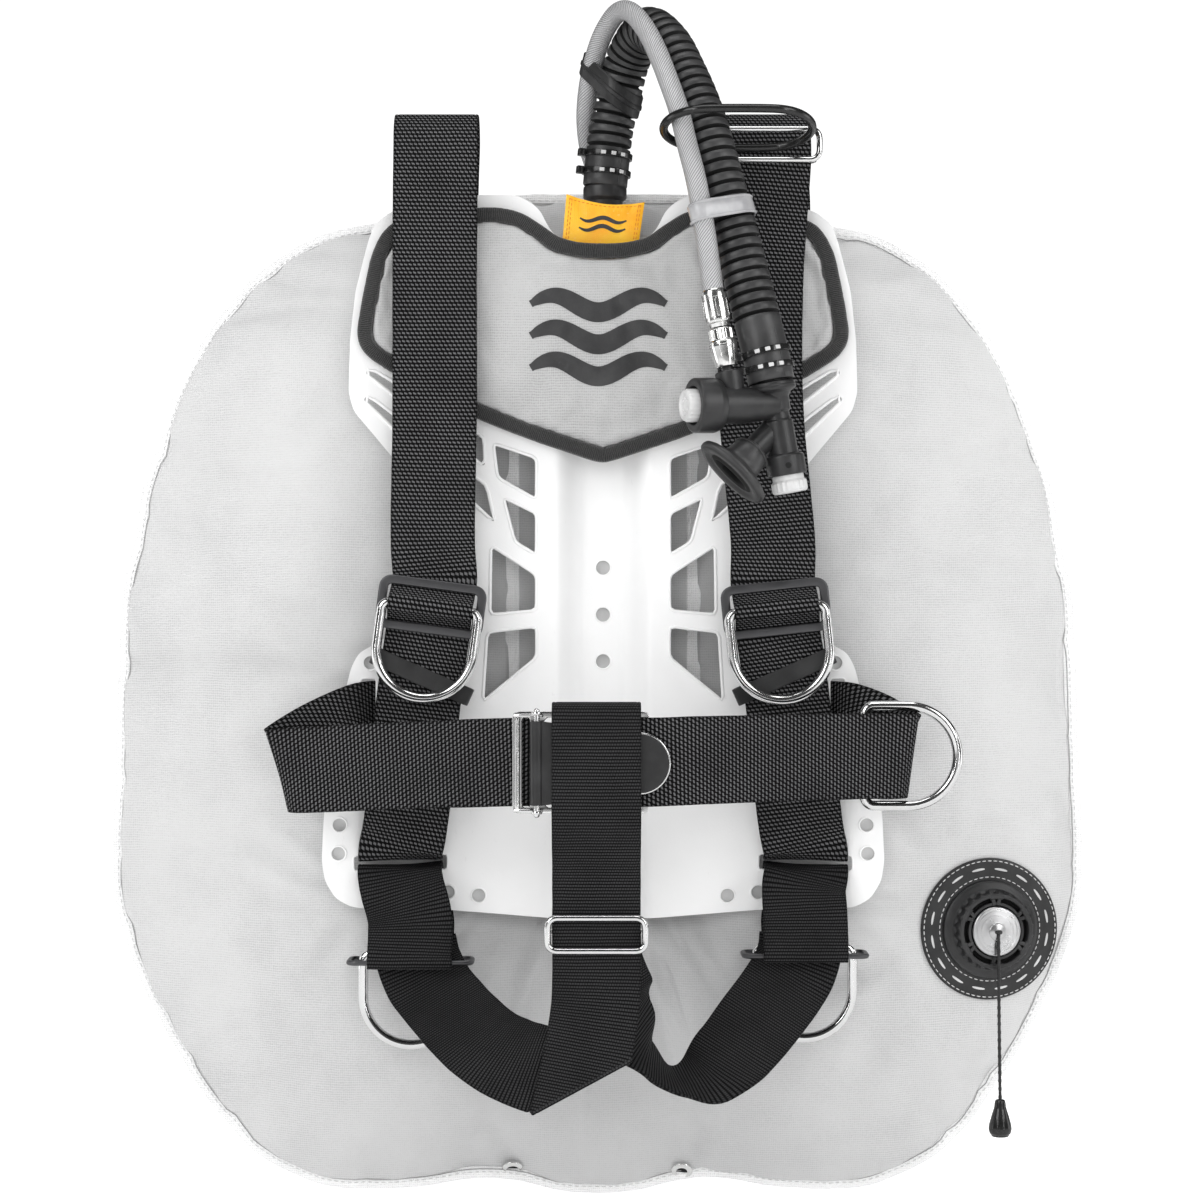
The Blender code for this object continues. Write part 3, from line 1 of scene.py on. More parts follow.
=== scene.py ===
"""Looks for a backplate-and-wing buoyancy compensator: a pressed plate, an air cell behind it,
webbing harness and padding on the wearer's side, and a hose with its inflator over the left shoulder.

Design coordinates are millimetres with X to the wearer's left, Y away from the wearer's back and
Z up; metres() turns them into the frame's metres. "Front" means the wearer's side, towards -Y.
"""

import math
from bisect import bisect_right

import bmesh
import bpy
import numpy as np
from mathutils import Matrix, Vector, noise
from mathutils.bvhtree import BVHTree

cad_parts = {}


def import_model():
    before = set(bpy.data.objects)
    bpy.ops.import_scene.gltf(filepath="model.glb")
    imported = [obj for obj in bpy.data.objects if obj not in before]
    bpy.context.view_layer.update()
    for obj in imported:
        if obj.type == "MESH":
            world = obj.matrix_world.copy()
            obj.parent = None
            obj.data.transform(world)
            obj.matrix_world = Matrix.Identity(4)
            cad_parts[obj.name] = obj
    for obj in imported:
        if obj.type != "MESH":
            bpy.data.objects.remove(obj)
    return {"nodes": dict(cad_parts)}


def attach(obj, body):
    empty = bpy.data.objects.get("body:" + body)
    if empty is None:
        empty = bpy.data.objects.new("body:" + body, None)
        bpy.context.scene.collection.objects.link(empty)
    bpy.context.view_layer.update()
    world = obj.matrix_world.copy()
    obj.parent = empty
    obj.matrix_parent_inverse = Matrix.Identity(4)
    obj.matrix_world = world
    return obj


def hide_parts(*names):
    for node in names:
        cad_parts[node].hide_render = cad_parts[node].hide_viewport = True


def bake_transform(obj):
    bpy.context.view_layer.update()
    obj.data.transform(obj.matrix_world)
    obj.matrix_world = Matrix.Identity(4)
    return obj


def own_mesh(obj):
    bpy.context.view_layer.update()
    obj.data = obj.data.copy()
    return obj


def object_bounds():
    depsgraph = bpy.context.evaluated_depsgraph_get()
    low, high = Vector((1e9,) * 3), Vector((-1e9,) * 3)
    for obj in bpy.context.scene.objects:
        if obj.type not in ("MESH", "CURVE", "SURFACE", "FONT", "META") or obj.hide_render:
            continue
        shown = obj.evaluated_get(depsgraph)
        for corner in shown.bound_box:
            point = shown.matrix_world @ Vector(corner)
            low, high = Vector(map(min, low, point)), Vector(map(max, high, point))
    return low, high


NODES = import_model()["nodes"]
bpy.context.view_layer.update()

MM = 0.001
Y_SHIFT = -31.5  # from design Y to the frame's Y
AWAY = Vector((0, 1, 0))
FRONT = Vector((0, -1, 0))
UP = (0, 0, 1)
LEFT = (1, 0, 0)


def metres(point):
    return Vector((point[0] * MM, (point[1] + Y_SHIFT) * MM, point[2] * MM))


def design(point):
    return Vector((point[0] / MM, point[1] / MM - Y_SHIFT, point[2] / MM))


def lerp(start, end, share):
    return start + (end - start) * share


def clamp(x, low=0.0, high=1.0):
    return max(low, min(high, x))


def smooth(x):
    x = clamp(x)
    return x * x * (3 - 2 * x)


def hill(share):
    """Rises from 0 to 1 and falls back to 0 as share goes from 0 to 1."""
    return math.sin(math.pi * share)


def noise_at(x, y, z):
    return noise.noise(Vector((x, y, z)))


def turns(count):
    """Evenly spaced angles round a circle."""
    return [2 * math.pi * k / count for k in range(count)]


# ================================================================ materials
class Value:
    """A shader output that takes part in sums and ranges."""

    def __init__(self, graph, socket):
        self.graph = graph
        self.socket = socket

    def __add__(self, other):
        return self.math("ADD", other)

    def __sub__(self, other):
        return self.math("SUBTRACT", other)

    def __mul__(self, other):
        return self.math("MULTIPLY", other)

    def __truediv__(self, other):
        return self.math("DIVIDE", other)

    def __abs__(self):
        return self.math("ABSOLUTE")

    def math(self, kind, *others):
        inputs = dict(enumerate((self, *(others or (0.0,)))))
        return self.graph.node("Math", inputs, operation=kind)

    def line(self, over, to, kind="LINEAR"):
        """Maps the range over onto the range to, held at its ends."""
        inputs = {"Value": self, "From Min": over[0], "From Max": over[1],
                  "To Min": to[0], "To Max": to[1]}
        return self.graph.node("MapRange", inputs, interpolation_type=kind)

    def ease(self, over, to=(0.0, 1.0)):
        return self.line(over, to, "SMOOTHSTEP")

    def wave(self, pitch):
        """A smooth 0 to 1 wave that repeats every pitch of the value."""
        return (self * (2 * math.pi / pitch)).math("SINE").math("MULTIPLY_ADD", 0.5, 0.5)

    def beside(self, key):
        """Another output of the same node."""
        return Value(self.graph, self.socket.node.outputs[key])


class Graph:
    """Short ways to wire a node tree."""

    def __init__(self, tree):
        self.nodes = tree.nodes
        self.links = tree.links

    def put(self, socket, value):
        if isinstance(value, Value):
            self.links.new(value.socket, socket)
            return
        if socket.type == "RGBA" and len(value) == 3:
            value = (*value, 1.0)
        socket.default_value = value

    def node(self, kind, inputs, output=0, **settings):
        node = self.nodes.new("ShaderNode" + kind)
        for name, value in settings.items():
            setattr(node, name, value)
        for key, value in inputs.items():
            self.put(node.inputs[key], value)
        return Value(self, node.outputs[output])


class Look(Graph):
    """A material with its Principled shader."""

    def __init__(self, name, colour=(0.5, 0.5, 0.5), rough=0.6, metal=0.0, spec=0.5):
        self.mat = bpy.data.materials.new(name)
        self.mat.use_nodes = True
        super().__init__(self.mat.node_tree)
        self.bsdf = self.nodes["Principled BSDF"]
        self.set("Base Color", colour)
        self.set("Roughness", rough)
        self.set("Metallic", metal)
        self.set("Specular IOR Level", spec)
        self.mat.diffuse_color = (*colour, 1.0)

    def set(self, name, value):
        self.put(self.bsdf.inputs[name], value)

    def object_place(self):
        return self.node("TexCoord", {}, output="Object")

    def split(self, vector):
        first = self.node("SeparateXYZ", {0: vector})
        return first, first.beside(1), first.beside(2)

    def xyz(self):
        return self.split(self.object_place())

    def uv(self):
        return self.split(self.node("UVMap", {}, uv_map="UVMap"))[:2]

    def noise(self, scale, detail=3.0, rough=0.55, stretch=None):
        vector = self.object_place()
        if stretch:
            vector = self.node("Mapping", {0: vector, "Scale": stretch})
        inputs = {"Vector": vector, "Scale": scale, "Detail": detail, "Roughness": rough}
        return self.node("TexNoise", inputs, output="Fac")

    def mix(self, share, first, second):
        return self.node("Mix", {0: share, 6: first, 7: second}, output=2, data_type="RGBA")

    def bump(self, height, distance):
        inputs = {"Strength": 1.0, "Distance": distance, "Height": height}
        self.set("Normal", self.node("Bump", inputs))


def grey(level, blue=None):
    return (level, level, level if blue is None else blue)


def cloth_material(name, light, dark, rib, depth, with_painted_shade=False):
    """Woven nylon: fine weft ribs, a finer warp, soft blotches and, when asked, painted shade by
    place.
    """
    look = Look(name, rough=0.78, spec=0.25)
    x, y, z = look.xyz()
    drift = look.noise(scale=9.0, detail=2.0) * 0.006
    jitter = look.noise(scale=140.0, detail=2.0) * 0.0012
    ribs = (z + drift + jitter).wave(pitch=rib)
    warp = (x + look.noise(scale=200.0, detail=1.0) * 0.0008).wave(pitch=0.0013)
    grain = look.noise(scale=1100.0, detail=3.0, rough=0.7)
    height = ribs * 0.34 + warp * 0.20 + grain * 0.95
    blotch = look.noise(scale=14.0, detail=4.0, rough=0.6)
    tone = height.ease(over=(0.25, 1.05)) * 0.42 + blotch * 0.58
    colour = look.mix(tone.ease(over=(0.22, 0.66)), dark, light)
    if with_painted_shade:
        # painted shade: cloth behind the plate and at the bottom centre is darkened
        aside = abs(x)
        middle = aside.ease(over=(0.070, 0.115), to=(1.0, 0.0)).math(
            "MAXIMUM", aside.ease(over=(0.09, 0.20), to=(0.45, 0.0)))
        low = z.ease(over=(-0.42, -0.20), to=(1.0, 0.0)) * aside.ease(
            over=(0.05, 0.27), to=(0.75, 0.0))
        painted_shade_mask = (middle * y.ease(over=(-0.03, 0.05), to=(0.9, 0.25))).math("MAXIMUM", low)
        colour = look.mix(painted_shade_mask * 0.42, colour, grey(0.34, 0.345))
    look.set("Base Color", colour)
    look.set("Roughness", grain.line(over=(0.3, 0.7), to=(0.70, 0.86)))
    look.set("Sheen Weight", 0.25)
    look.set("Sheen Roughness", 0.5)
    look.bump(height, distance=depth)
    return look.mat


def webbing_material(name, coarse):
    """Nylon webbing from its own coordinates: u across and v along, in metres."""
    look = Look(name, rough=0.7, spec=0.14)
    u, v = look.uv()
    wander = look.noise(scale=60.0, detail=2.0) * 0.0006
    shift = 50.0  # whole cells, so that the fractions are never taken below zero

    def cells(row_pitch, dash_pitch, stagger):
        """Rows along v, and shares of a dash across u, each row staggered."""
        rows = (v + wander) / row_pitch
        return rows, (u / dash_pitch + rows.math("FLOOR") * stagger + shift).math("FRACT")

    if coarse:
        rows, across = cells(row_pitch=0.00238, dash_pitch=0.00262, stagger=0.5)
        along = rows.math("FRACT")
        lean = (across - 0.5) * 0.34
        dash = abs(across - 0.5).ease(over=(0.27, 0.43), to=(1.0, 0.0)) * abs(
            along - 0.5 - lean).ease(over=(0.14, 0.33), to=(1.0, 0.0))
        light, dark = grey(0.125, 0.129), grey(0.0018, 0.0020)
        edge_tone, depth = 0.45, 0.00042
    else:
        rows, across = cells(row_pitch=0.00185, dash_pitch=0.0015, stagger=0.37)
        along = (rows + shift).math("FRACT")
        dash = abs(along - 0.5).ease(over=(0.16, 0.40), to=(1.0, 0.0)) * abs(
            across - 0.5).ease(over=(0.26, 0.48), to=(1.0, 0.12))
        light, dark = grey(0.036, 0.0375), grey(0.0020, 0.0022)
        edge_tone, depth = 0.7, 0.00018
    edge = abs(u).ease(over=(0.0236, 0.0244), to=(1.0, edge_tone))
    fibre = look.noise(scale=2600.0, detail=2.0, rough=0.6)
    patch = look.noise(scale=35.0)
    fade = patch.line(over=(0.3, 0.7), to=(0.78, 1.18)) * fibre.line(
        over=(0.3, 0.7), to=(0.8, 1.2))
    # the dashes are the weave; their lighter grey is painted highlight on the thread crowns
    look.set("Base Color", look.mix(dash * fade * edge, dark, light))
    look.set("Roughness", dash.line(over=(0.0, 1.0), to=(0.85, 0.55)))
    look.bump(dash + fibre * 0.15, distance=depth)
    return look.mat


def fuzzy_tape():
    look = Look("tape_charcoal", rough=0.95, spec=0.15)
    _, v = look.uv()
    streak = (v + look.noise(scale=300.0, detail=2.0) * 0.0010).wave(pitch=0.0011)
    fluff = look.noise(scale=1500.0, detail=4.0, rough=0.75)
    pile = look.noise(scale=90.0)
    tone = streak * 0.35 + fluff * 0.75
    colour = look.mix(tone.ease(over=(0.30, 0.85)), grey(0.010), grey(0.070))
    worn = pile.ease(over=(0.55, 0.75), to=(0.0, 0.45))
    look.set("Base Color", look.mix(worn, colour, (0.055, 0.053, 0.052)))
    look.set("Sheen Weight", 0.35)
    look.bump(tone, distance=0.0005)
    return look.mat


def plate_material():
    """White powder coat with a fine orange peel and a few scuffs."""
    look = Look("plate_powder_white", rough=0.40)
    peel = look.noise(scale=900.0, detail=2.0, rough=0.4)
    broad = look.noise(scale=12.0)
    colour = look.mix(broad.ease(over=(0.35, 0.7)), grey(0.91), grey(0.96))
    scuff = look.noise(scale=240.0, detail=4.0, rough=0.7, stretch=(1.0, 1.0, 0.25))
    colour = look.mix(scuff.ease(over=(0.66, 0.74)) * 0.35, colour, grey(0.72))
    look.set("Base Color", colour)
    look.set("Roughness", broad.line(over=(0.3, 0.7), to=(0.30, 0.42)))
    look.set("Coat Weight", 0.25)
    look.set("Coat Roughness", 0.2)
    look.bump(peel, distance=0.00005)
    return look.mat


def plastic_material(name, base, high, rough=0.42, grain=1400.0, depth=0.00006, wear=0.3):
    """Moulded plastic: fine spark-eroded grain, softly polished wear, slight colour drift."""
    look = Look(name, rough=rough)
    fine = look.noise(scale=grain, detail=3.0, rough=0.6)
    broad = look.noise(scale=55.0)
    colour = look.mix(broad.ease(over=(0.3, 0.75)), base, high)
    rub = look.noise(scale=160.0, detail=5.0, rough=0.7).ease(over=(0.60, 0.74))
    rubbed = tuple(min(1.0, c * 1.7 + 0.01) for c in high)
    look.set("Base Color", look.mix(rub * wear, colour, rubbed))
    polish = fine + rub * 0.4
    look.set("Roughness", polish.line(over=(0.3, 1.0), to=(rough + 0.08, rough - 0.1)))
    look.bump(fine, distance=depth)
    return look.mat


def steel_material(name, colour, rough, brush=0.0, axis=(1.0, 1.0, 0.06)):
    """Bare or plated metal; brush is how strong the brushed lines are."""
    look = Look(name, colour, rough=rough, metal=1.0)
    haze = look.noise(scale=70.0, detail=4.0, rough=0.6)
    lines = look.noise(scale=1500.0, detail=2.0, rough=0.6, stretch=axis)
    dust = look.noise(scale=300.0, detail=5.0, rough=0.7).ease(over=(0.62, 0.75))
    look.set("Base Color", look.mix(dust * 0.25, colour, tuple(c * 0.6 for c in colour)))
    hazed = haze.line(over=(0.3, 0.7), to=(rough - 0.04, rough + 0.07))
    look.set("Roughness", hazed + lines * (brush * 0.35))
    look.bump(lines * 1.0 + haze * 0.4, distance=0.00002 + 0.00012 * brush)
    return look.mat


def braid_material():
    """Two crossing sets of strands."""
    look = Look("braid_light_grey", rough=0.32, spec=0.6)
    u, v = look.uv()
    strand_pitch = 0.0019
    one = (u + v).wave(strand_pitch)
    two = (u - v).wave(strand_pitch)
    strands = (one * two.ease(over=(0.2, 0.8))).math("MAXIMUM", two * one.ease(over=(0.8, 0.2)))
    fine = (u + v * 3.0).wave(pitch=0.0007)
    height = strands + fine * 0.2
    blot = look.noise(scale=70.0)
    colour = look.mix(height.ease(over=(0.10, 0.85)), grey(0.26, 0.265), grey(0.64, 0.65))
    dulled = blot.line(over=(0.35, 0.7), to=(0.0, 0.35))
    look.set("Base Color", look.mix(dulled, colour, grey(0.36, 0.37)))
    look.set("Metallic", 0.35)
    look.set("Roughness", strands.line(over=(0.0, 1.0), to=(0.5, 0.28)))
    look.bump(height, distance=0.00016)
    return look.mat


def tag_material():
    look = Look("tag_amber_coated", rough=0.42)
    x, _, z = look.xyz()
    weave = z.wave(pitch=0.0011) * 0.5 + x.wave(pitch=0.0011) * 0.5
    fine = look.noise(scale=900.0, detail=3.0, rough=0.6)
    broad = look.noise(scale=60.0)
    colour = look.mix(broad.ease(over=(0.3, 0.7)), (0.98, 0.42, 0.008), (1.0, 0.56, 0.02))
    rubbed = look.noise(scale=380.0, detail=4.0).ease(over=(0.62, 0.74)) * 0.4
    look.set("Base Color", look.mix(rubbed, colour, (1.0, 0.72, 0.25)))
    look.set("Roughness", fine.line(over=(0.3, 0.7), to=(0.36, 0.5)))
    look.bump(weave + fine, distance=0.00010)
    return look.mat


def film_material():
    look = Look("bladder_film_milky", (0.7, 0.72, 0.74), rough=0.35)
    cloud = look.noise(scale=60.0, detail=4.0)
    look.set("Base Color", look.mix(cloud, (0.60, 0.62, 0.64), (0.78, 0.80, 0.82)))
    look.bump(look.noise(scale=220.0), distance=0.0004)
    return look.mat


def thread_material(name, first, second):
    look = Look(name, first, rough=0.7)
    look.set("Base Color", look.mix(look.noise(scale=900.0, detail=2.0), first, second))
    look.bump(look.noise(scale=3000.0, detail=2.0), distance=0.0001)
    return look.mat


CLOTH = cloth_material("cloth_light_grey", light=grey(0.62), dark=grey(0.45, 0.455),
                       rib=0.0015, depth=0.00016, with_painted_shade=True)
CLOTH_EDGE = cloth_material("cloth_edge_frayed", light=grey(0.90), dark=grey(0.68, 0.685),
                            rib=0.0015, depth=0.0004)
PAD = cloth_material("pad_cloth_grey", light=grey(0.50), dark=grey(0.34),
                     rib=0.0016, depth=0.00018)
TAPE = fuzzy_tape()
WEB = webbing_material("webbing_coarse_black", coarse=True)
WEB_FINE = webbing_material("webbing_ribbed_black", coarse=False)
WHITE = plate_material()
# pale grey for the discs behind the plate's empty holes: painted light
HOLE_BACKING_GREY = plastic_material("hole_backing_painted_light", grey(0.50), grey(0.60), rough=0.6, grain=900.0)
RUBBER = plastic_material("rubber_dark", grey(0.012, 0.0125), grey(0.026, 0.0265),
                          rough=0.40, grain=700.0, depth=0.00010)
RUBBER_RIB = plastic_material("rubber_rib_land", grey(0.026, 0.0265), grey(0.050, 0.051),
                              rough=0.36, grain=1500.0, depth=0.00008, wear=0.35)
# near-black painted shade for the hose's grooves and for holes and recesses
SHADE_BLACK = plastic_material("painted_shade_black", grey(0.004), grey(0.008), rough=0.8)
PLASTIC = plastic_material("plastic_satin_black", grey(0.014, 0.0145), grey(0.030, 0.031),
                           rough=0.34, grain=2200.0, depth=0.00007)
GLOSS = plastic_material("plastic_gloss_black", grey(0.010), grey(0.018),
                         rough=0.16, grain=400.0, depth=0.00002, wear=0.15)
PALE = plastic_material("plastic_pale_grey", grey(0.52), grey(0.68),
                        rough=0.34, grain=1200.0, wear=0.2)
CLIP = plastic_material("clip_smoky_grey", grey(0.30, 0.31), grey(0.46, 0.47),
                        rough=0.14, grain=300.0, depth=0.00003, wear=0.25)
STEEL = steel_material("steel_mirror", grey(0.82), rough=0.12)
BRUSHED = steel_material("steel_dark_brushed", grey(0.13, 0.135), rough=0.28, brush=0.6)
SATIN = steel_material("steel_satin", grey(0.62, 0.625), rough=0.22, brush=0.35,
                       axis=(0.06, 1.0, 1.0))
NICKEL = steel_material("nickel_plate", grey(0.86, 0.85), rough=0.17)
BRAID = braid_material()
TAG = tag_material()
FILM = film_material()
# dark grey for the cord along the cell's seam crease: painted crease shade
CREASE_SHADE_GREY = thread_material("seam_crease_painted_shade", grey(0.20), grey(0.42))
THREAD_PALE = thread_material("thread_pale_grey", grey(0.50), grey(0.75))
THREAD_ORANGE = thread_material("thread_burnt_orange", (0.70, 0.17, 0.01), (0.90, 0.30, 0.03))
PRINT = plastic_material("emblem_print_charcoal", grey(0.026, 0.027), grey(0.048, 0.049),
                         rough=0.62, grain=900.0, depth=0.00012, wear=0.15)


# ================================================================ mesh building
def tidy_faces(bm, angle):
    """Points the faces outwards and shades them smooth up to an angle in degrees."""
    bmesh.ops.recalc_face_normals(bm, faces=bm.faces)
    for face in bm.faces:
        face.smooth = True
    limit = math.radians(angle)
    for edge in bm.edges:
        edge.smooth = len(edge.link_faces) == 2 and edge.calc_face_angle(0.0) < limit


def link(name, data):
    obj = bpy.data.objects.new(name, data)
    bpy.context.scene.collection.objects.link(obj)
    return obj


def register(obj, replaces, body="harness", ride=True):
    if replaces:
        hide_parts(*replaces)
    if ride:
        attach(obj, body)
    return obj


def subdivide(obj):
    mod = obj.modifiers.new("Fine", "SUBSURF")
    mod.levels = mod.render_levels = 1


def roll_edges(obj, width, angle, harden):
    mod = obj.modifiers.new("Rolled", "BEVEL")
    mod.width = width * MM
    mod.segments = 3
    mod.limit_method = "ANGLE"
    mod.angle_limit = math.radians(angle)
    mod.harden_normals = harden


class Part:
    """Vertices in millimetres, faces with their own UVs and material index."""

    def __init__(self):
        self.verts, self.faces, self.uvs, self.mats = [], [], [], []

    def add(self, verts, faces, uvs=None, mat=0):
        base = len(self.verts)
        self.verts += [tuple(v) for v in verts]
        self.faces += [[base + k for k in face] for face in faces]
        self.uvs += uvs or [[(0.0, 0.0)] * len(face) for face in faces]
        self.mats += mat if isinstance(mat, list) else [mat] * len(faces)

    def finish(self, name, materials, slot, *replaces, body="harness", angle=38.0, ride=True):
        mesh = bpy.data.meshes.new(name)
        mesh.from_pydata([tuple(metres(v)) for v in self.verts], [], self.faces)
        layer = mesh.uv_layers.new(name="UVMap")
        layer.data.foreach_set("uv", [c for face in self.uvs for uv in face for c in uv])
        for material in materials:
            mesh.materials.append(material)
        mesh.polygons.foreach_set("material_index", self.mats)
        bm = bmesh.new()
        bm.from_mesh(mesh)
        tidy_faces(bm, angle)
        bm.to_mesh(mesh)
        bm.free()
        mesh.update()
        return register(link(name, mesh), replaces, body, ride)


def strips(rows, per_row, wrap=False, wrap_row=True, flip=False):
    """Quads between rows of points. wrap joins the last row to the first."""
    faces = []
    for i in range(rows if wrap else rows - 1):
        here, there = i * per_row, (i + 1) % rows * per_row
        for k in range(per_row if wrap_row else per_row - 1):
            l = (k + 1) % per_row
            face = [here + k, here + l, there + l, there + k]
            faces.append(face[:1] + face[:0:-1] if flip else face)
    return faces


def end_caps(rows, per_row):
    return [list(range(per_row)), [(rows - 1) * per_row + k for k in reversed(range(per_row))]]


def strip_uvs(across, along):
    return [
        [(u0, v0), (u1, v0), (u1, v1), (u0, v1)]
        for v0, v1 in zip(along, along[1:])
        for u0, u1 in zip(across, across[1:])
    ]


def lengths(points, closed=False):
    """Distance along a path at each point, ending with the whole length."""
    path = points + points[:1] if closed else points
    run = [0.0]
    for here, there in zip(path, path[1:]):
        run.append(run[-1] + (there - here).length)
    return run


def locate(run, distance):
    """The point before a distance along a run, and the share of the way to the next."""
    distance = clamp(distance, 0.0, run[-1])
    i = min(bisect_right(run, distance) - 1, len(run) - 2)
    return i, (distance - run[i]) / max(1e-9, run[i + 1] - run[i])


def along(line, run, directions, distance):
    """The place and direction at a distance along a line."""
    i, share = locate(run, distance)
    way = directions[i].lerp(directions[i + 1], share).normalized()
    return line[i].lerp(line[i + 1], share), way


def resample(points, count, closed=False):
    path = points + points[:1] if closed else points
    run = lengths(path)
    out = []
    for k in range(count):
        i, share = locate(run, run[-1] * k / (count if closed else count - 1))
        out.append(path[i].lerp(path[i + 1], share))
    return out


def spline(points, count, closed=False):
    """Uniform Catmull-Rom through the design points, at even arc length."""
    pts = [Vector(point) for point in points]
    n = len(pts)
    fine = []
    for i in range(n if closed else n - 1):
        start, end = pts[i], pts[(i + 1) % n]
        before = pts[i - 1] if closed or i else start * 2 - end
        after = pts[(i + 2) % n] if closed or i + 2 < n else end * 2 - start
        for k in range(24):
            share = k / 24
            fine.append(0.5 * (
                2 * start + (end - before) * share
                + (2 * before - 5 * start + 4 * end - after) * share * share
                + (3 * start - 3 * end + after - before) * share ** 3))
    if not closed:
        fine.append(pts[-1])
    return resample(fine, count, closed)


def centripetal(four, share):
    """Centripetal Catmull-Rom between the middle two of four points."""
    knots = [0.0]
    for here, there in zip(four, four[1:]):
        knots.append(knots[-1] + max(1e-4, (there - here).length) ** 0.5)
    at = lerp(knots[1], knots[2], share)

    def blend(first, second, i, j):
        span = knots[j] - knots[i]
        return first * ((knots[j] - at) / span) + second * ((at - knots[i]) / span)

    low, middle, high = (blend(four[i], four[i + 1], i, i + 1) for i in range(3))
    return blend(blend(low, middle, 0, 2), blend(middle, high, 1, 3), 1, 2)


def corner_curve(start, corner, end, steps):
    out = []
    for k in range(steps + 1):
        share = k / steps
        out.append(start * (1 - share) ** 2 + corner * 2 * share * (1 - share)
                   + end * share * share)
    return out


def rounded(corners, radius, steps, closed=True):
    """A polyline with each corner replaced by a smooth run of points."""
    pts = [Vector(corner) for corner in corners]
    out = []
    for i, here in enumerate(pts):
        if not closed and i in (0, len(pts) - 1):
            out.append(here)
            continue
        back, ahead = pts[i - 1] - here, pts[(i + 1) % len(pts)] - here
        start = here + back.normalized() * min(radius, 0.45 * back.length)
        end = here + ahead.normalized() * min(radius, 0.45 * ahead.length)
        out += corner_curve(start, here, end, steps)
    return out


def rect(half_x, half_y, x=0.0, y=0.0):
    return [(x - half_x, y - half_y), (x + half_x, y - half_y),
            (x + half_x, y + half_y), (x - half_x, y + half_y)]


def ellipse(half_x, half_y, sides):
    return [(half_x * math.cos(turn), half_y * math.sin(turn)) for turn in turns(sides)]


def square_to(vector, axis):
    """The direction of a vector once its part along an axis is taken out."""
    vector = Vector(vector)
    return (vector - axis * vector.dot(axis)).normalized()


def tangents(points, closed=False):
    n = len(points)
    if closed:
        return [(points[(i + 1) % n] - points[i - 1]).normalized() for i in range(n)]
    return [(points[min(i + 1, n - 1)] - points[max(i - 1, 0)]).normalized() for i in range(n)]


def carried_frames(points, closed=False, hint=None):
    """Directions across a path that turn as little as possible along it."""
    ways = tangents(points, closed)
    if hint is None:
        hint = AWAY if abs(ways[0].y) < 0.9 else LEFT
    across = [square_to(hint, ways[0])]
    for here, there in zip(ways, ways[1:]):
        across.append(square_to(here.rotation_difference(there) @ across[-1], there))
    if closed:
        back = ways[-1].rotation_difference(ways[0]) @ across[-1]
        twist = back.angle(across[0], 0.0)
        if twist > 1e-5:
            if back.cross(across[0]).dot(ways[0]) < 0:
                twist = -twist
            n = len(across)
            across = [Matrix.Rotation(twist * i / n, 3, ways[i]) @ side
                      for i, side in enumerate(across)]
    return [(side, way.cross(side)) for side, way in zip(across, ways)]


def flat_frames(points, up):
    """Frames for a closed path that lies in a plane square to up."""
    return [(up.cross(way).normalized(), up) for way in tangents(points, True)]


def sweep(part, path, section, closed=False, hint=None, mat=0, scales=None, frames=None):
    """Sweeps a closed 2-D section along a path. UVs are metres round it and along the path."""
    frames = frames or carried_frames(path, closed, hint)
    scales = scales or [1.0] * len(path)
    verts = [
        point + x * (a * scale) + y * (b * scale)
        for point, (x, y), scale in zip(path, frames, scales)
        for a, b in section
    ]
    ring = lengths([Vector(at) for at in section], True)
    faces = strips(len(path), len(section), wrap=closed)
    uvs = strip_uvs([at * MM for at in ring], [at * MM for at in lengths(path, closed)])
    if not closed:
        faces += end_caps(len(path), len(section))
        uvs += [[(0, 0)] * len(section)] * 2
    part.add(verts, faces, uvs, mat)


def tube(part, points, radius, sides, closed=False, mat=0, dome=False):
    path = [Vector(point) for point in points]
    scales = None
    if dome:
        angles = (1.35, 1.0, 0.65, 0.3)
        ways = tangents(path)
        scales = [math.cos(a) for a in angles]
        scales += [1.0] * len(path) + scales[::-1]
        path = ([path[0] - ways[0] * radius * math.sin(a) for a in angles] + path
                + [path[-1] + ways[-1] * radius * math.sin(a) for a in reversed(angles)])
    sweep(part, path, ellipse(radius, radius, sides), closed, mat=mat, scales=scales)


def basis(axis):
    """Two directions square to an axis, and the axis."""
    z = Vector(axis).normalized()
    y = z.cross(Vector(LEFT))
    if y.length < 0.1:
        y = z.cross(AWAY)
    y.normalize()
    return y.cross(z), y, z


def soften(profile, radius, closed):
    """Rounds the corners of a (radius, height) profile."""
    pts = [Vector(at) for at in profile]
    out = []
    n = len(pts)
    for i, here in enumerate(pts):
        back, ahead = pts[i - 1] - here, pts[(i + 1) % n] - here
        end = not closed and i in (0, n - 1)
        if end or min(back.length, ahead.length) < 1e-6 or (
                back.angle(ahead, 0.0) > math.radians(170)):
            out.append(here)
            continue
        start = here + back.normalized() * min(radius, back.length * 0.4)
        stop = here + ahead.normalized() * min(radius, ahead.length * 0.4)
        out += corner_curve(start, here, stop, 3)
    return out


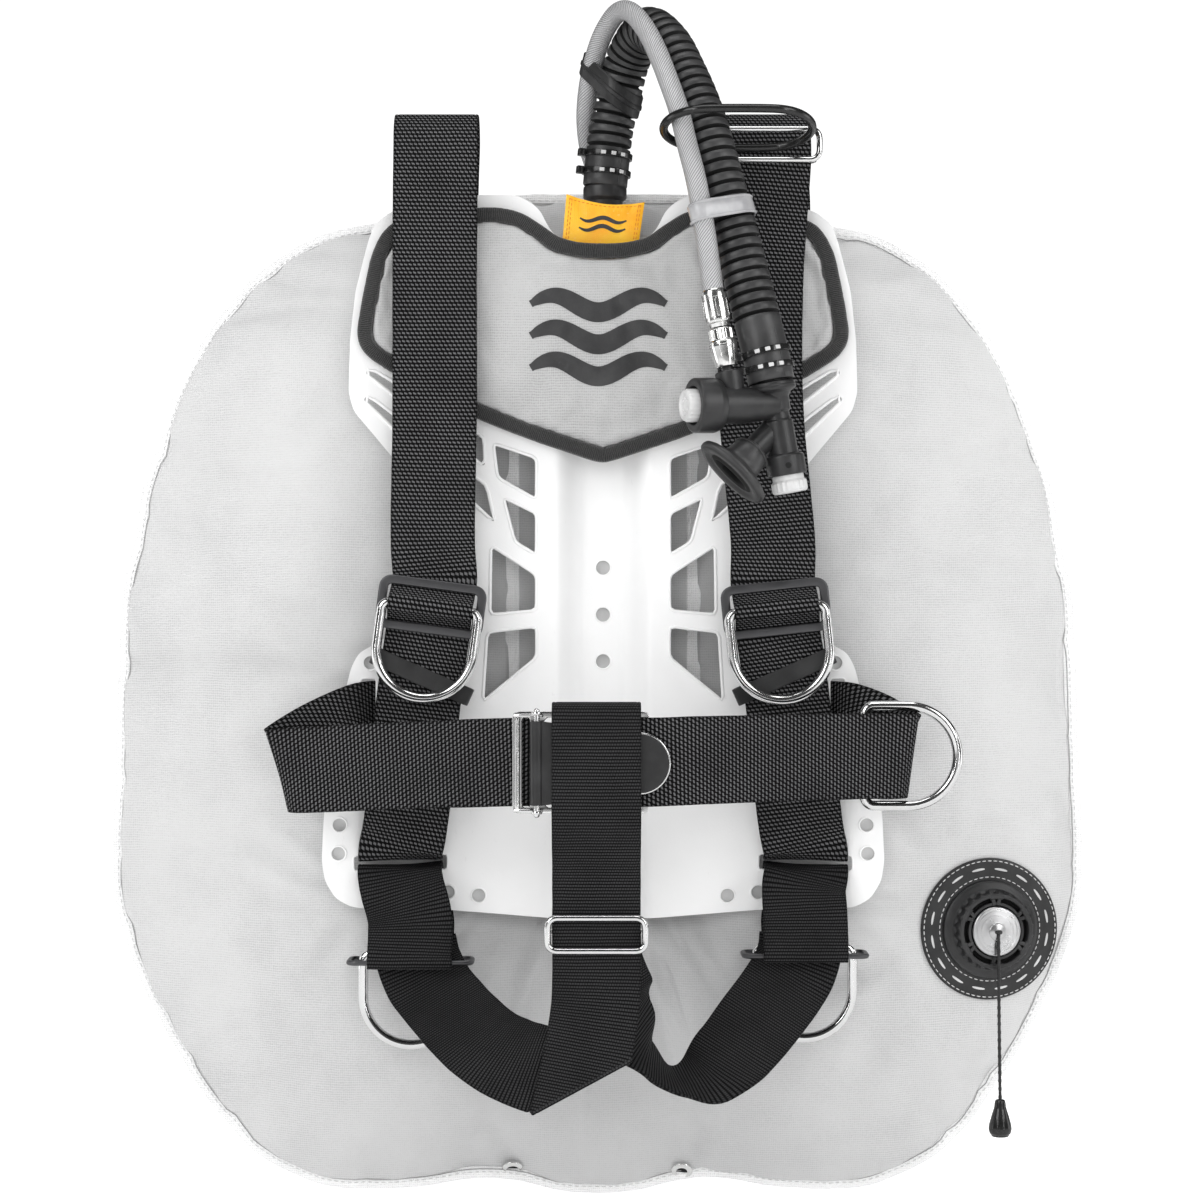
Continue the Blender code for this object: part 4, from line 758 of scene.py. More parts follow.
def lathe(part, profile, origin, axis, steps=48, soft=0.5, mat=0, knurl=None):
    """A turned shape from (radius, height) points, its corners rounded by soft.

    It has steps sides. A profile that starts off the axis is closed into a ring.
    knurl = (count, depth, low height, high height, least radius).
    """
    closed = profile[0][0] > 0.01
    pts = soften(profile, soft, closed) if soft else [Vector(at) for at in profile]
    x, y, z = basis(axis)
    origin = Vector(origin)
    verts, index = [], []
    for at in pts:
        if at.x < 1e-4:
            index.append([len(verts)] * steps)
            verts.append(origin + z * at.y)
            continue
        index.append(list(range(len(verts), len(verts) + steps)))
        for turn in turns(steps):
            radius = at.x
            if knurl and knurl[2] <= at.y <= knurl[3] and radius >= knurl[4]:
                radius -= knurl[1] * (0.5 + 0.5 * math.cos(turn * knurl[0])) ** 0.7
            verts.append(origin + (x * math.cos(turn) + y * math.sin(turn)) * radius + z * at.y)
    run = lengths(pts, closed)
    faces, uvs = [], []
    for i in range(len(pts) if closed else len(pts) - 1):
        here, there = index[i], index[(i + 1) % len(pts)]
        v0, v1 = run[i] * MM, run[i + 1] * MM
        for k in range(steps):
            l = (k + 1) % steps
            u0, u1 = k / steps * 0.06, (k + 1) / steps * 0.06
            corners = {}  # points on the axis meet, so each is kept once
            for vert, uv in ((here[k], (u0, v0)), (here[l], (u1, v0)),
                             (there[l], (u1, v1)), (there[k], (u0, v1))):
                corners.setdefault(vert, uv)
            if len(corners) > 2:
                faces.append(list(corners))
                uvs.append(list(corners.values()))
    part.add(verts, faces, uvs, mat)


def box_bar(part, start, end, width, height, side, radius=0.6, mat=0):
    """A straight bar with a rounded rectangular section; side is the direction of its width."""
    start, end = Vector(start), Vector(end)
    way = (end - start).normalized()
    side = square_to(side, way)
    inset_by = min(radius, 0.5)
    ease = inset_by / min(width, height)
    path = [start, start + way * inset_by * 0.3, start + way * inset_by,
            end - way * inset_by, end - way * inset_by * 0.3, end]
    scales = [1 - ease, 1 - ease * 0.35, 1, 1, 1 - ease * 0.35, 1 - ease]
    sweep(part, path, rounded(rect(width / 2, height / 2), radius, 3), mat=mat, scales=scales,
          frames=[(side, way.cross(side))] * 6)


def stitches(part, points, normals, length=2.6, gap=1.4, radius=0.32, mat=0, closed=False):
    """Separate raised stitches along a line on a surface."""
    sink = 0.12
    if closed:
        points, normals = points + points[:1], normals + normals[:1]
    run = lengths(points)
    count = max(1, int(run[-1] / (length + gap)))
    pitch = run[-1] / count
    share = length / (length + gap)
    for k in range(count):
        start = k * pitch + pitch * (1 - share) / 2
        path, scales = [], []
        for i in range(5):
            arch = hill(i / 4)
            point, normal = along(points, run, normals, start + pitch * share * i / 4)
            path.append(point + normal * (radius * 0.9 * arch - sink))
            scales.append(0.55 + 0.45 * arch)
        sweep(part, path, ellipse(radius, radius, 6), mat=mat, scales=scales)


# ================================================================ webbing
# (distance from the centre line, half thickness): a rolled selvedge, then a shallow groove
WEB_EDGE = [(24.95, 0.38), (24.7, 0.78), (24.2, 1.0), (23.6, 1.02), (22.9, 0.84), (22.2, 1.06)]
WEB_TOP = ([(-x, half) for x, half in WEB_EDGE] + [(x, 1.06) for x in range(-20, 21, 5)]
           + WEB_EDGE[::-1])
WEB_EDGE_U = 0.0247
STRAP_TURN, STRAP_STEP = math.radians(5.0), 4.0  # most turn and length between rows
CREASE_CLEAR = 22.0  # rows nearer than this to a slanted end are left out


def strap_frames(points, sides):
    """(place, side, direction) rows along a strap, closer where it bends or twists."""
    pts = [Vector(point) for point in points]
    dirs = [Vector(side).normalized() for side in sides]
    ends = [pts[0] * 2 - pts[1]] + pts + [pts[-1] * 2 - pts[-2]]
    fine = []
    for i in range(len(pts) - 1):
        for k in range(40):
            share = k / 40
            fine.append((centripetal(ends[i:i + 4], share),
                         dirs[i].lerp(dirs[i + 1], smooth(share))))
    fine.append((pts[-1], dirs[-1]))
    ways = tangents([place for place, _ in fine])
    frames = [(place, square_to(side, way), way) for (place, side), way in zip(fine, ways)]
    kept = [frames[0]]
    for frame, (place, side, way) in zip(frames[1:], frames[2:]):
        last = kept[-1]
        if (way.angle(last[2], 0.0) > STRAP_TURN or side.angle(last[1], 0.0) > STRAP_TURN
                or (place - last[0]).length > STRAP_STEP):
            kept.append(frame)
    kept.append(frames[-1])
    return kept


def add_web(part, points, sides, seed, crease_start=None, crease_end=None):
    """One run of webbing. A crease is the direction of a folded end, cut at a slant."""
    frames = strap_frames(points, sides)
    if crease_end:
        end = frames[-1][0]
        frames = [f for f in frames[:-1] if (f[0] - end).length > CREASE_CLEAR] + frames[-1:]
    if crease_start:
        start = frames[0][0]
        frames = frames[:1] + [f for f in frames[1:] if (f[0] - start).length > CREASE_CLEAR]
    creases = {0: crease_start, len(frames) - 1: crease_end}
    run = lengths([place for place, _, _ in frames])
    verts, slants = [], []
    for i, (place, side, way) in enumerate(frames):
        up = side.cross(way).normalized()
        across, fray, slant = side, 0.18 * noise_at(run[i] * 0.06, seed, 1.7), 0.0
        crease = creases.get(i)
        if crease:
            across, fray = crease / crease.dot(side), 0.0
            slant = crease.dot(way) / crease.dot(side)
        slants.append(slant)
        for sign, row in ((1, WEB_TOP), (-1, reversed(WEB_TOP))):
            for x, half in row:
                out = fray if x > 20 else -fray if x < -20 else 0.0
                verts.append(place + across * (x + out) + up * (sign * half))
    across = [x * MM for x, _ in WEB_TOP + WEB_TOP[::-1]]
    ring = len(across)
    uvs = []
    for i in range(len(frames) - 1):
        (v0, v1), (s0, s1) = (run[i] * MM, run[i + 1] * MM), slants[i:i + 2]
        for k in range(ring):
            u0, u1 = across[k], across[(k + 1) % ring]
            uvs.append([(u0, v0 + s0 * u0), (u1, v0 + s0 * u1),
                        (u1, v1 + s1 * u1), (u0, v1 + s1 * u0)])
    uvs += [[(WEB_EDGE_U, 0)] * ring] * 2
    part.add(verts, strips(len(frames), ring) + end_caps(len(frames), ring), uvs)


def fold_roll(part, centre, crease, side, depth):
    """The round back of a fold whose two layers lie depth either side of centre."""
    out = Vector((-crease.z, 0, crease.x))
    if out.z > 0:
        out = -out
    row = 11
    verts = []
    for x, half in WEB_TOP:
        base = Vector(centre) + crease * (x / crease.dot(side))
        for k in range(row):
            turn = math.pi * k / (row - 1)
            way = FRONT * math.cos(turn) + out * math.sin(turn)
            verts.append(base + way * (depth + half))
    uvs = []
    for (x0, _), (x1, _) in zip(WEB_TOP, WEB_TOP[1:]):
        for k in range(row):
            v0, v1 = k * 0.0006, (k + 1) * 0.0006
            uvs.append([(x0 * MM, v0), (x1 * MM, v0), (x1 * MM, v1), (x0 * MM, v1)])
    uvs += [[(WEB_EDGE_U, 0)] * row] * 2
    rows = len(WEB_TOP)
    part.add(verts, strips(rows, row, flip=True) + end_caps(rows, row), uvs)


def webbing(name, points, sides, mat, seed):
    part = Part()
    add_web(part, points, sides, seed)
    part.finish(name + "_webbing", [mat], "webbing_black", name, angle=60)


RING_OUT = 8.5  # how far a shoulder ring's bar stands out from its slider
RING_HALF, RING_DROP, RING_WIRE = 28.5, 54.0, 3.0


def tilted_axes(degrees):
    """Across, out and down directions of a strap fitting tilted in the XZ plane."""
    turn = math.radians(degrees)
    return (Vector((math.cos(turn), 0, math.sin(turn))), FRONT.copy(),
            Vector((math.sin(turn), 0, -math.cos(turn))))


def in_fitting(centre, axes, across, out, down):
    return Vector(centre) + axes[0] * across + axes[1] * out + axes[2] * down


def hump(centre, axes):
    """The strap's run over the slider's middle bar and round the ring's bar."""
    pts = [(0.0, -17.0), (0.1, -13.4), (3.2, -8.8)]
    for degrees in (-78, -40, 0, 40, 78):
        turn = math.radians(degrees)
        pts.append((RING_OUT + 4.6 * math.cos(turn), 4.6 * math.sin(turn)))
    pts += [(3.2, 8.8), (0.1, 13.4), (0.0, 17.0)]
    return [in_fitting(centre, axes, 0, out, down) for out, down in pts]


def d_ring(name, to_world, half, drop, body):
    """A D-ring of round bar: straight bar, tight corners, legs and a half round.

    to_world maps (across, out).
    """
    corner = 5.5
    straight = drop - half
    quarter = [(corner * math.sin(math.pi / 2 * k / 7), corner * math.cos(math.pi / 2 * k / 7))
               for k in range(1, 7)]
    legs = [lerp(corner, straight, k / 5) for k in range(1, 5)]
    flat = [(lerp(-half + corner, half - corner, k / 10), 0.0) for k in range(11)]
    flat += [(half - corner + a, corner - b) for a, b in quarter]
    flat += [(half, out) for out in legs]
    for k in range(49):
        turn = math.pi * k / 48
        flat.append((half * math.cos(turn), straight + half * math.sin(turn)))
    flat += [(-half, lerp(straight, corner, k / 5)) for k in range(1, 5)]
    flat += [(-half + corner - b, corner - a) for a, b in quarter]
    part = Part()
    tube(part, [to_world(across, out) for across, out in flat], RING_WIRE, 24, closed=True)
    part.finish(name + "_round_bar", [STEEL], "steel_polished", name, body=body)


STRAP_Y = -26.0
# tag, sign of X, tilt in degrees, fitting centre, strap X at the top, strap X down the chest
SHOULDERS = [
    ("right", -1, -7.6, (-101.5, STRAP_Y, -56.0), -99.0, -99.5),
    ("left", 1, 6.0, (102.0, STRAP_Y, -57.0), 98.0, 93.5),
]
for tag, sign, tilt, centre, top_x, chest_x in SHOULDERS:
    axes = tilted_axes(tilt)
    slot_x = sign * 100.0
    path = [
        (slot_x, 0.4, 129.6), (slot_x, 5.0, 130.2), (slot_x, 8.6, 136.0), (slot_x, 9.4, 150.0),
        (slot_x, 9.6, 190.0), (top_x, 7.0, 222.0), (top_x, -2.0, 234.5), (top_x, -13.0, 236.0),
        (top_x, -22.5, 227.0), (top_x, STRAP_Y, 208.0), (chest_x, STRAP_Y, 140.0),
        (chest_x, STRAP_Y, 60.0), (sign * 100.5, STRAP_Y, -20.0),
    ]
    path += hump(centre, axes)
    path += [(sign * x, y, z) for x, y, z in (
        (106.0, -26.0, -88.0), (110.0, -25.0, -120.0), (114.0, -22.0, -160.0),
        (118.0, -18.5, -190.0), (120.5, -15.0, -201.0), (121.0, -9.5, -205.6),
        (121.0, -5.0, -206.3), (121.0, 0.5, -206.0))]
    sides = [LEFT] * 13 + [axes[0]] * 11 + [LEFT] * 5 + [(1, -0.2 * sign, 0)] * 3
    webbing("shoulder_strap_" + tag, path, sides, WEB, seed=sign * 3.0)
    d_ring("shoulder_d_ring_" + tag,
           lambda across, down: in_fitting(centre, axes, across, RING_OUT, down),
           RING_HALF, RING_DROP, "shoulder_ring_" + tag)

BELT_RIGHT = [
    (-128.0, -1.4, -125.0), (-134.0, -2.9, -125.2), (-140.4, -8.8, -125.5),
    (-147, -17.0, -127.0), (-158, -26.0, -132.0), (-176, -33.0, -142.0),
    (-186.5, -38.5, -149.5), (-189.0, -45.5, -151.4), (-183.0, -52.0, -151.2),
    (-160, -60.5, -149.8), (-120, -76.0, -147.0), (-80, -92.0, -144.8),
    (-55.0, -101.5, -143.5), (-48.0, -104.2, -143.2), (-40.6, -105.4, -143.2)]
BELT_RIGHT_SIDES = [UP] * 3 + [
    (-0.05, 0, 1), (-0.12, 0, 1), (-0.20, 0, 1), (-0.28, 0.05, 1),
    (-0.30, 0, 1), (-0.24, 0, 1), (-0.12, 0, 1), (-0.03, 0, 1)] + [UP] * 4
BELT_LEFT = [
    (128.0, -1.4, -125.2), (134.0, -2.9, -125.3), (140.4, -8.8, -125.5), (147, -17.0, -126.3),
    (157, -24.0, -130.0), (168, -27.5, -136.5), (178.0, -31.5, -142.5), (181.0, -38.0, -143.4),
    (176.0, -45.5, -143.2), (160, -52.5, -142.8), (120, -70.0, -142.4), (80, -90.0, -142.4),
    (50, -105.5, -142.4), (32, -111.3, -142.8), (14.0, -112.6, -143.0), (-24.0, -112.6, -143.2)]
BELT_LEFT_SIDES = [UP] * 3 + [
    (0.03, 0, 1), (0.06, 0, 1), (0.10, 0, 1), (0.13, 0, 1),
    (0.14, 0, 1), (0.12, 0, 1), (0.06, 0, 1)] + [UP] * 6
webbing("waist_belt_right", BELT_RIGHT, BELT_RIGHT_SIDES, WEB, seed=5.0)
webbing("waist_belt_left", BELT_LEFT, BELT_LEFT_SIDES, WEB, seed=8.0)

CROTCH_X = -3.8
CROTCH = [(CROTCH_X, y, z) for y, z in (
    (-99.6, -236.0), (-99.8, -225.0), (-99.6, -205.0), (-97.8, -178.0), (-97.4, -150.0),
    (-97.6, -125.0), (-101.0, -113.4), (-110.0, -110.2), (-120.0, -113.4), (-122.4, -125.0),
    (-122.4, -150.0), (-121.0, -174.0), (-113.5, -193.0), (-107.0, -207.0), (-105.8, -216.0),
    (-105.8, -240.0), (-105.8, -266.0))]
CROTCH += [(-4.6, -106.0, -282.0), (-7.6, -106.2, -302.0), (-12.5, -106.3, -325.0)]
CROTCH_SIDES = [LEFT] * 17 + [(1, 0, -0.05), (1, 0, -0.13), (1, 0, -0.20)]
CREASE = Vector((-0.88, 0, -0.475)).normalized()
LEG = [
    (-12.5, -103.3, -325.0), (-24.0, -103.0, -320.0), (-38.0, -100.0, -316.5),
    (-53.0, -93.0, -312.0), (-67.5, -81.5, -305.5), (-80.0, -64.0, -297.5),
    (-92.0, -43.5, -288.5), (-103.0, -29.0, -277.5), (-109.0, -23.6, -265.5),
    (-111.5, -22.5, -255.0)]
LEG_SIDES = [
    (0.40, 0, 0.92), (0.41, 0.04, 0.90), (0.50, 0.14, 0.84), (0.62, 0.24, 0.72),
    (0.74, 0.28, 0.60), (0.84, 0.24, 0.48), (0.92, 0.12, 0.35), (0.97, 0.03, 0.2),
    (1, 0, 0.08), (1, 0, 0.04)]
# the crotch strap folds over at its lower end and runs on to the right thigh
folded = Part()
add_web(folded, CROTCH, CROTCH_SIDES, seed=11.0, crease_end=CREASE)
add_web(folded, LEG, LEG_SIDES, seed=12.0, crease_start=CREASE)
fold_roll(folded, (-12.5, -104.8, -325.0), CREASE, Vector((1, 0, -0.20)).normalized(), 1.45)
folded.finish("crotch_strap_right_webbing", [WEB_FINE], "webbing_black", "crotch_strap_right",
              angle=60)
THIGH = [
    (CROTCH_X, -102.8, -225.5), (CROTCH_X, -102.7, -240.0), (-2.0, -100.0, -258.0),
    (6.0, -93.0, -277.0), (17.0, -81.0, -298.0), (27.0, -77.0, -316.0), (42.0, -74.0, -328.0),
    (60.0, -70.0, -326.0), (76.0, -60.0, -313.0), (92.0, -46.0, -296.0), (105.5, -32.0, -281.0),
    (113.0, -25.2, -270.0), (116.5, -22.5, -259.5), (117.5, -22.3, -251.0)]
THIGH_SIDES = [
    LEFT, LEFT, (0.98, 0.1, 0.1), (0.86, 0.33, 0.22), (0.48, 0.74, 0.30), (0.10, 0.95, 0.20),
    (-0.10, 0.96, 0.16), (-0.45, 0.78, 0.42), (-0.70, 0.52, 0.50), (-0.82, 0.28, 0.45),
    (-0.92, 0.1, 0.35), (-0.98, 0, 0.2), (-1.0, 0, 0.08), (-1.0, 0, 0.0)]
webbing("thigh_strap_left", THIGH, THIGH_SIDES, WEB_FINE, seed=14.0)

# loops through the plate's lower slots, each with a D-ring and a wire slider
for tag, sign, from_centre, ring_z in (("right", -1, 114.0, -262.0), ("left", 1, 119.5, -258.0)):
    x = sign * from_centre
    slot_x = sign * 121
    path = [
        (x, -12.4, ring_z - 1.0), (x, -11.8, ring_z + 4.0), (x, -4.0, ring_z + 12.0),
        (x + sign, 4.8, ring_z + 21.5), (sign * 120.0, 5.4, -229.0),
        (sign * 120.5, 4.4, -217.5), (slot_x, 0.4, -212.0), (slot_x, -5.0, -211.2),
        (slot_x, -10.5, -211.4), (sign * 120.8, -16.5, -214.0), (sign * 119.0, -22.0, -222.0),
        (x, -27.5, -240.0), (x, -33.2, ring_z - 0.5), (x, -33.6, ring_z - 4.0),
        (x, -32.6, ring_z - 7.0),
    ]
    sides = [LEFT] * 3 + [(1, -0.2 * sign, 0)] * 6 + [(1, 0.1 * sign, 0)] * 2 + [LEFT] * 4
    webbing("thigh_loop_" + tag, path, sides, WEB_FINE, seed=sign * 17.0)
    d_ring("thigh_d_ring_" + tag,
           lambda across, down: in_fitting((x, -17.6, ring_z), tilted_axes(0.0), across, 0, down),
           RING_HALF, RING_DROP, "thigh_ring_" + tag)
    wire = rounded([(*at, ring_z - 4.0) for at in rect(36.2, 10.7, x, -19.7)], 5.0, 8)
    part = Part()
    tube(part, wire, 1.6, 16, closed=True)
    part.finish("thigh_slider_%s_bent_wire" % tag, [BRUSHED], "steel_brushed",
                "thigh_slider_" + tag)

HIP = Vector((153.5, -38.0, -143.4))
d_ring("hip_d_ring", lambda across, out: Vector((HIP.x + out, HIP.y, HIP.z + across)),
       RING_HALF + 0.8, 54.5, "hip_ring")


# ================================================================ pressed plate
PLATE_THICK = 3.0
WING_BEND, WING_SLOPE = 90.0, 0.2
CHANNEL_HALF, CHANNEL_LIP, CHANNEL_DEPTH = 14.5, 25.0, 19.0


def side_bend(x):
    return -WING_SLOPE * max(0.0, abs(x) - WING_BEND)


def plate_bend(x):
    if abs(x) <= CHANNEL_HALF:
        return CHANNEL_DEPTH
    if abs(x) < CHANNEL_LIP:
        return CHANNEL_DEPTH * (CHANNEL_LIP - abs(x)) / (CHANNEL_LIP - CHANNEL_HALF)
    return side_bend(x)


def soft_bend(x):
    """The plate's section with its folds rounded, as a pressed sheet has."""
    spread = 4.2 if abs(x) < 60 else 9.0
    return sum(plate_bend(x + spread * k / 4) for k in range(-4, 5)) / 9


def sheet(name, loops, thickness, front_y, cuts, bend, mat, replaced, bevel):
    """A flat sheet of an outline and its holes, cut by upright lines and bent by Y(x)."""
    curve = bpy.data.curves.new(name, "CURVE")
    curve.dimensions = "2D"
    curve.fill_mode = "BOTH"
    curve.extrude = thickness / 2
    for loop in loops:
        poly = curve.splines.new("POLY")
        poly.points.add(len(loop) - 1)
        for point, at in zip(poly.points, loop):
            point.co = (at[0], at[1], 0, 1)
        poly.use_cyclic_u = True
    temp = link(name + "_curve", curve)
    graph = bpy.context.evaluated_depsgraph_get()
    mesh = bpy.data.meshes.new_from_object(temp.evaluated_get(graph))
    bpy.data.objects.remove(temp, do_unlink=True)
    bpy.data.curves.remove(curve)
    bm = bmesh.new()
    bm.from_mesh(mesh)
    bmesh.ops.remove_doubles(bm, verts=bm.verts, dist=1e-4)
    for x in cuts:
        bmesh.ops.bisect_plane(bm, geom=bm.verts[:] + bm.edges[:] + bm.faces[:], dist=1e-5,
                               plane_co=(x, 0, 0), plane_no=LEFT)
    for vert in bm.verts:
        x, up, depth = vert.co
        vert.co = metres((x, front_y + thickness / 2 - depth + bend(x), up))
    tidy_faces(bm, 35)
    bm.to_mesh(mesh)
    bm.free()
    mesh.name = name
    mesh.materials.clear()
    mesh.materials.append(mat)
    obj = link(name, mesh)
    roll_edges(obj, bevel, angle=50, harden=True)
    register(obj, [replaced])


def circle(x, z, radius, sides=20):
    return [(x + a, z + b) for a, b in ellipse(radius, radius, sides)]


def mirrored(half):
    """A closed outline from its half, top centre to bottom centre on the +X side."""
    given = [Vector(at) for at in half]
    return given + [Vector((-at.x, at.y)) for at in reversed(given) if abs(at.x) > 0.01]


# (x, z) of half the plate's outline
PLATE_HALF = [
    (0, 155), (20, 155.5), (28, 166), (33, 172), (37.3, 181), (42.3, 186), (52, 191),
    (75.6, 191), (125.8, 180.6), (136.3, 172.5), (140.3, 161.2), (147.5, 132.3),
    (150.7, 103.4), (151.5, 71.2), (148.5, 60.5), (126.6, 34.2), (110, 14), (103, -6),
    (102, -36), (108, -55), (124.8, -71.4), (138.8, -79.8), (145.5, -83.5), (150.0, -92),
    (152.5, -102), (166, -179.4), (167.3, -206.7), (165.5, -219), (159.4, -229.4),
    (151, -234.5), (144.2, -235.8), (97, -237.5), (30, -242.9), (0, -243.6),
]
# (x, z) corners of the windows on one side
WINDOW_CORNERS = [
    [(66.1, 42.3), (39.7, 33.4), (39.9, 8.1), (63.4, 21.3)],
    [(60, 9.8), (39.7, 0.1), (39.9, -25.2), (53.1, -17.2)],
    [(67.4, -18.9), (39.7, -36.9), (39.9, -58.5), (68, -61)],
    [(69.7, -71.1), (39.7, -67.7), (39.7, -86.6), (72.3, -113.4)],
    [(142.2, 83.5), (138.6, 86.4), (71.4, 46.2), (70.8, 27.6)],
    [(143.4, 67.5), (139.8, 70.2), (69.6, 16.8), (64.8, -6)],
]
WINDOWS = [rounded([(sign * x, z) for x, z in corners], 3.2, 5)
           for corners in WINDOW_CORNERS for sign in (1, -1)]
# strap slots on one side: centre x, centre z, width, height
SLOT_SIZES = [(100.0, 131.0, 54, 8), (140.0, -125.5, 10, 54), (121.0, -209.0, 56, 10)]
SLOTS = [rounded(rect(width / 2, height / 2, sign * x, z), 2.2, 4)
         for x, z, width, height in SLOT_SIZES for sign in (1, -1)]
BOLT_Z = 140.0
SIDE_HOLES = [(138.8, -89.5), (157.0, -186), (157.6, -203), (93.1, -227.2), (74.7, -229.3)]
CENTRE_HOLES = [-32.4, -60.9, -89.2, BOLT_Z, -BOLT_Z]
ROUND_HOLES = ([(sign * x, z, 4.0) for x, z in SIDE_HOLES for sign in (1, -1)]
               + [(0, z, 4.25) for z in CENTRE_HOLES])
# upright cuts let the sheet follow the channel's folds and the side bends
CUT_X = ([8.0 + 1.5 * k for k in range(16)] + [34.0] + [78.0 + 2.5 * k for k in range(11)])
sheet("plate_pressed",
      [rounded(mirrored(PLATE_HALF), 3.5, 3)] + WINDOWS + SLOTS
      + [circle(*hole) for hole in ROUND_HOLES],
      PLATE_THICK, 0.0, [sign * x for sign in (1, -1) for x in CUT_X], soft_bend,
      WHITE, "backplate", bevel=0.7)

# rolled lips round the windows and slots, and a raised rim round each hole
lips = Part()
# loops, lift, points round, radius, sides
for loops, lift, count, radius, sides in ((WINDOWS, 0.55, 40, 1.15, 10), (SLOTS, 0.6, 60, 0.8, 8)):
    for loop in loops:
        line = [Vector((x, soft_bend(x) + lift, z)) for x, z in loop]
        tube(lips, resample(line, count, True), radius, sides, closed=True)
# pale discs behind the empty holes stand for lit cloth seen through them: painted light
pale_backings = Part()
for x, z, radius in ROUND_HOLES:
    y = soft_bend(x)
    lathe(lips, [(radius + 1.1, 0.0), (radius + 0.9, 0.42), (radius + 0.2, 0.42),
                 (radius - 0.05, 0.0), (radius - 0.05, -1.0), (radius + 1.1, -1.0)],
          (x, y, z), FRONT, 28, 0.15)
    if abs(z) != BOLT_Z:
        lathe(pale_backings, [(0, 0.0), (radius + 1.6, 0.0), (radius + 2.0, -0.4),
                        (radius + 1.6, -0.9), (0, -0.9)],
              (x, y + PLATE_THICK + 0.25, z), FRONT, 28, 0.15)
lips.finish("plate_rolled_lips", [WHITE], "plate_white")
pale_backings.finish("hole_backings_painted_light", [HOLE_BACKING_GREY], "plastic_pale")


# ================================================================ air cell
SEAM_Y = 62.0  # the outer edge seam
INNER_Y, INNER_R, INNER_TOP, INNER_BOTTOM = 30.0, 55.0, 92.0, -186.0  # the inner seam
FRONT_BULGE, REAR_BULGE, FLANGE, WING_X = 30.0, 78.0, 6.0, -3.5
VALVE_C = Vector((235.0, 24.0, -252.0))
VALVE_N = Vector((0.17, -0.985, 0.0)).normalized()
ELBOW_X, ELBOW_Z, PORT_Y = 1.3, 174.0, 35.0
# (x, z) of half the cell's edge
WING_HALF = [
    (0, 200.5), (40, 200.5), (78, 199.5), (100, 195), (120, 188), (141, 182), (160, 178.5),
    (179, 172), (196, 162), (213, 150), (232, 128), (245, 110), (262, 79), (273, 47),
    (283, 16), (288, -15), (295, -46), (298, -100), (300, -160), (302, -216), (300, -240),
    (294, -263), (282, -294), (266, -325), (247, -356), (223, -387), (201, -403),
    (174, -415), (150, -418.5), (110, -417), (78, -412), (50, -413), (25, -419.5), (0, -421),
]
AROUND = 312


def inset(points, distance):
    n = len(points)
    area = sum(here.x * points[(i + 1) % n].y - points[(i + 1) % n].x * here.y
               for i, here in enumerate(points))
    turn = 1.0 if area > 0 else -1.0
    out = []
    for i, here in enumerate(points):
        back, ahead = here - points[i - 1], points[(i + 1) % n] - here
        first = Vector((-back.y, back.x)).normalized() * turn
        middle = (first + Vector((-ahead.y, ahead.x)).normalized() * turn).normalized()
        out.append(here + middle * distance / max(0.6, middle.dot(first)))
    return out


def pucker(at, seed):
    """Irregular gathers along a sewn edge, from -1 to 1; at is in millimetres."""
    broad = noise_at(at / 34.0, seed, 0.0)
    middle = noise_at(at / 15.0, seed + 9.0, 2.0)
    fine = noise_at(at / 7.5, seed + 4.0, 5.0)
    return clamp(0.9 * broad + 0.75 * middle + 0.3 * fine, -1.0, 1.0)


wing_edge = [at.to_2d() for at in spline(
    [(x + WING_X, z, 0) for x, z in WING_HALF]
    + [(-x + WING_X, z, 0) for x, z in reversed(WING_HALF[1:-1])], AROUND, True)]
edge_run = lengths(wing_edge, True)
flange_line = inset(wing_edge, FLANGE + 0.8)
wing_inward = [(line - edge).normalized() for line, edge in zip(flange_line, wing_edge)]
wing_outer = []
for i in range(AROUND):
    gather = pucker(edge_run[i], 3.0)
    pull = max(0.0, gather - 0.15) * 4.2 - 0.9 * max(0.0, -gather)
    wing_outer.append(flange_line[i] + wing_inward[i] * pull)


def inner_point(at):
    """The nearest point of the racetrack-shaped inner seam."""
    core = Vector((0.0, min(INNER_TOP, max(INNER_BOTTOM, at.y))))
    return core + (at - core).normalized() * INNER_R


wing_inner = [inner_point(at) for at in wing_outer]
wide = [(outer - inner).length for outer, inner in zip(wing_outer, wing_inner)]

CREASES = [
    # x0, z0, x1, z1, width, depth
    (-162, -222, -226, -196, 4.5, 2.4), (-168, -236, -238, -226, 5.0, 2.0),
    (-160, -206, -205, -170, 5.0, 1.6), (-172, -246, -222, -262, 4.5, 1.6),
    (-150, -246, -184, -300, 6.0, 1.8), (165, -212, 212, -190, 5.0, 1.8),
    (162, -232, 196, -236, 4.5, 1.8), (150, -246, 186, -296, 6.0, 1.8),
    (155, -98, 196, -66, 6.0, 1.4), (-155, -96, -192, -62, 6.0, 1.3),
    (-152, 60, -196, 44, 6.0, 1.2), (154, 58, 198, 38, 6.0, 1.2),
    (-48, -250, -62, -330, 7.0, 2.2), (34, -252, 46, -340, 7.0, 2.2),
    (-10, -262, -14, -352, 8.0, 1.8), (88, -256, 118, -330, 8.0, 1.6),
    (-96, -256, -124, -330, 8.0, 1.6), (-60, -402, -70, -366, 5.0, 3.0),
    (-52, -402, -40, -368, 4.0, 2.4), (-56, -402, -57, -372, 4.0, 2.0),
    (45, -402, 36, -370, 4.5, 2.6), (52, -402, 64, -366, 4.5, 2.8),
    (49, -402, 50, -374, 4.0, 2.0), (-40, 196, -34, 172, 4.0, 2.0),
    (38, 196, 34, 170, 4.0, 2.0), (-92, 188, -98, 160, 6.0, 1.5),
]
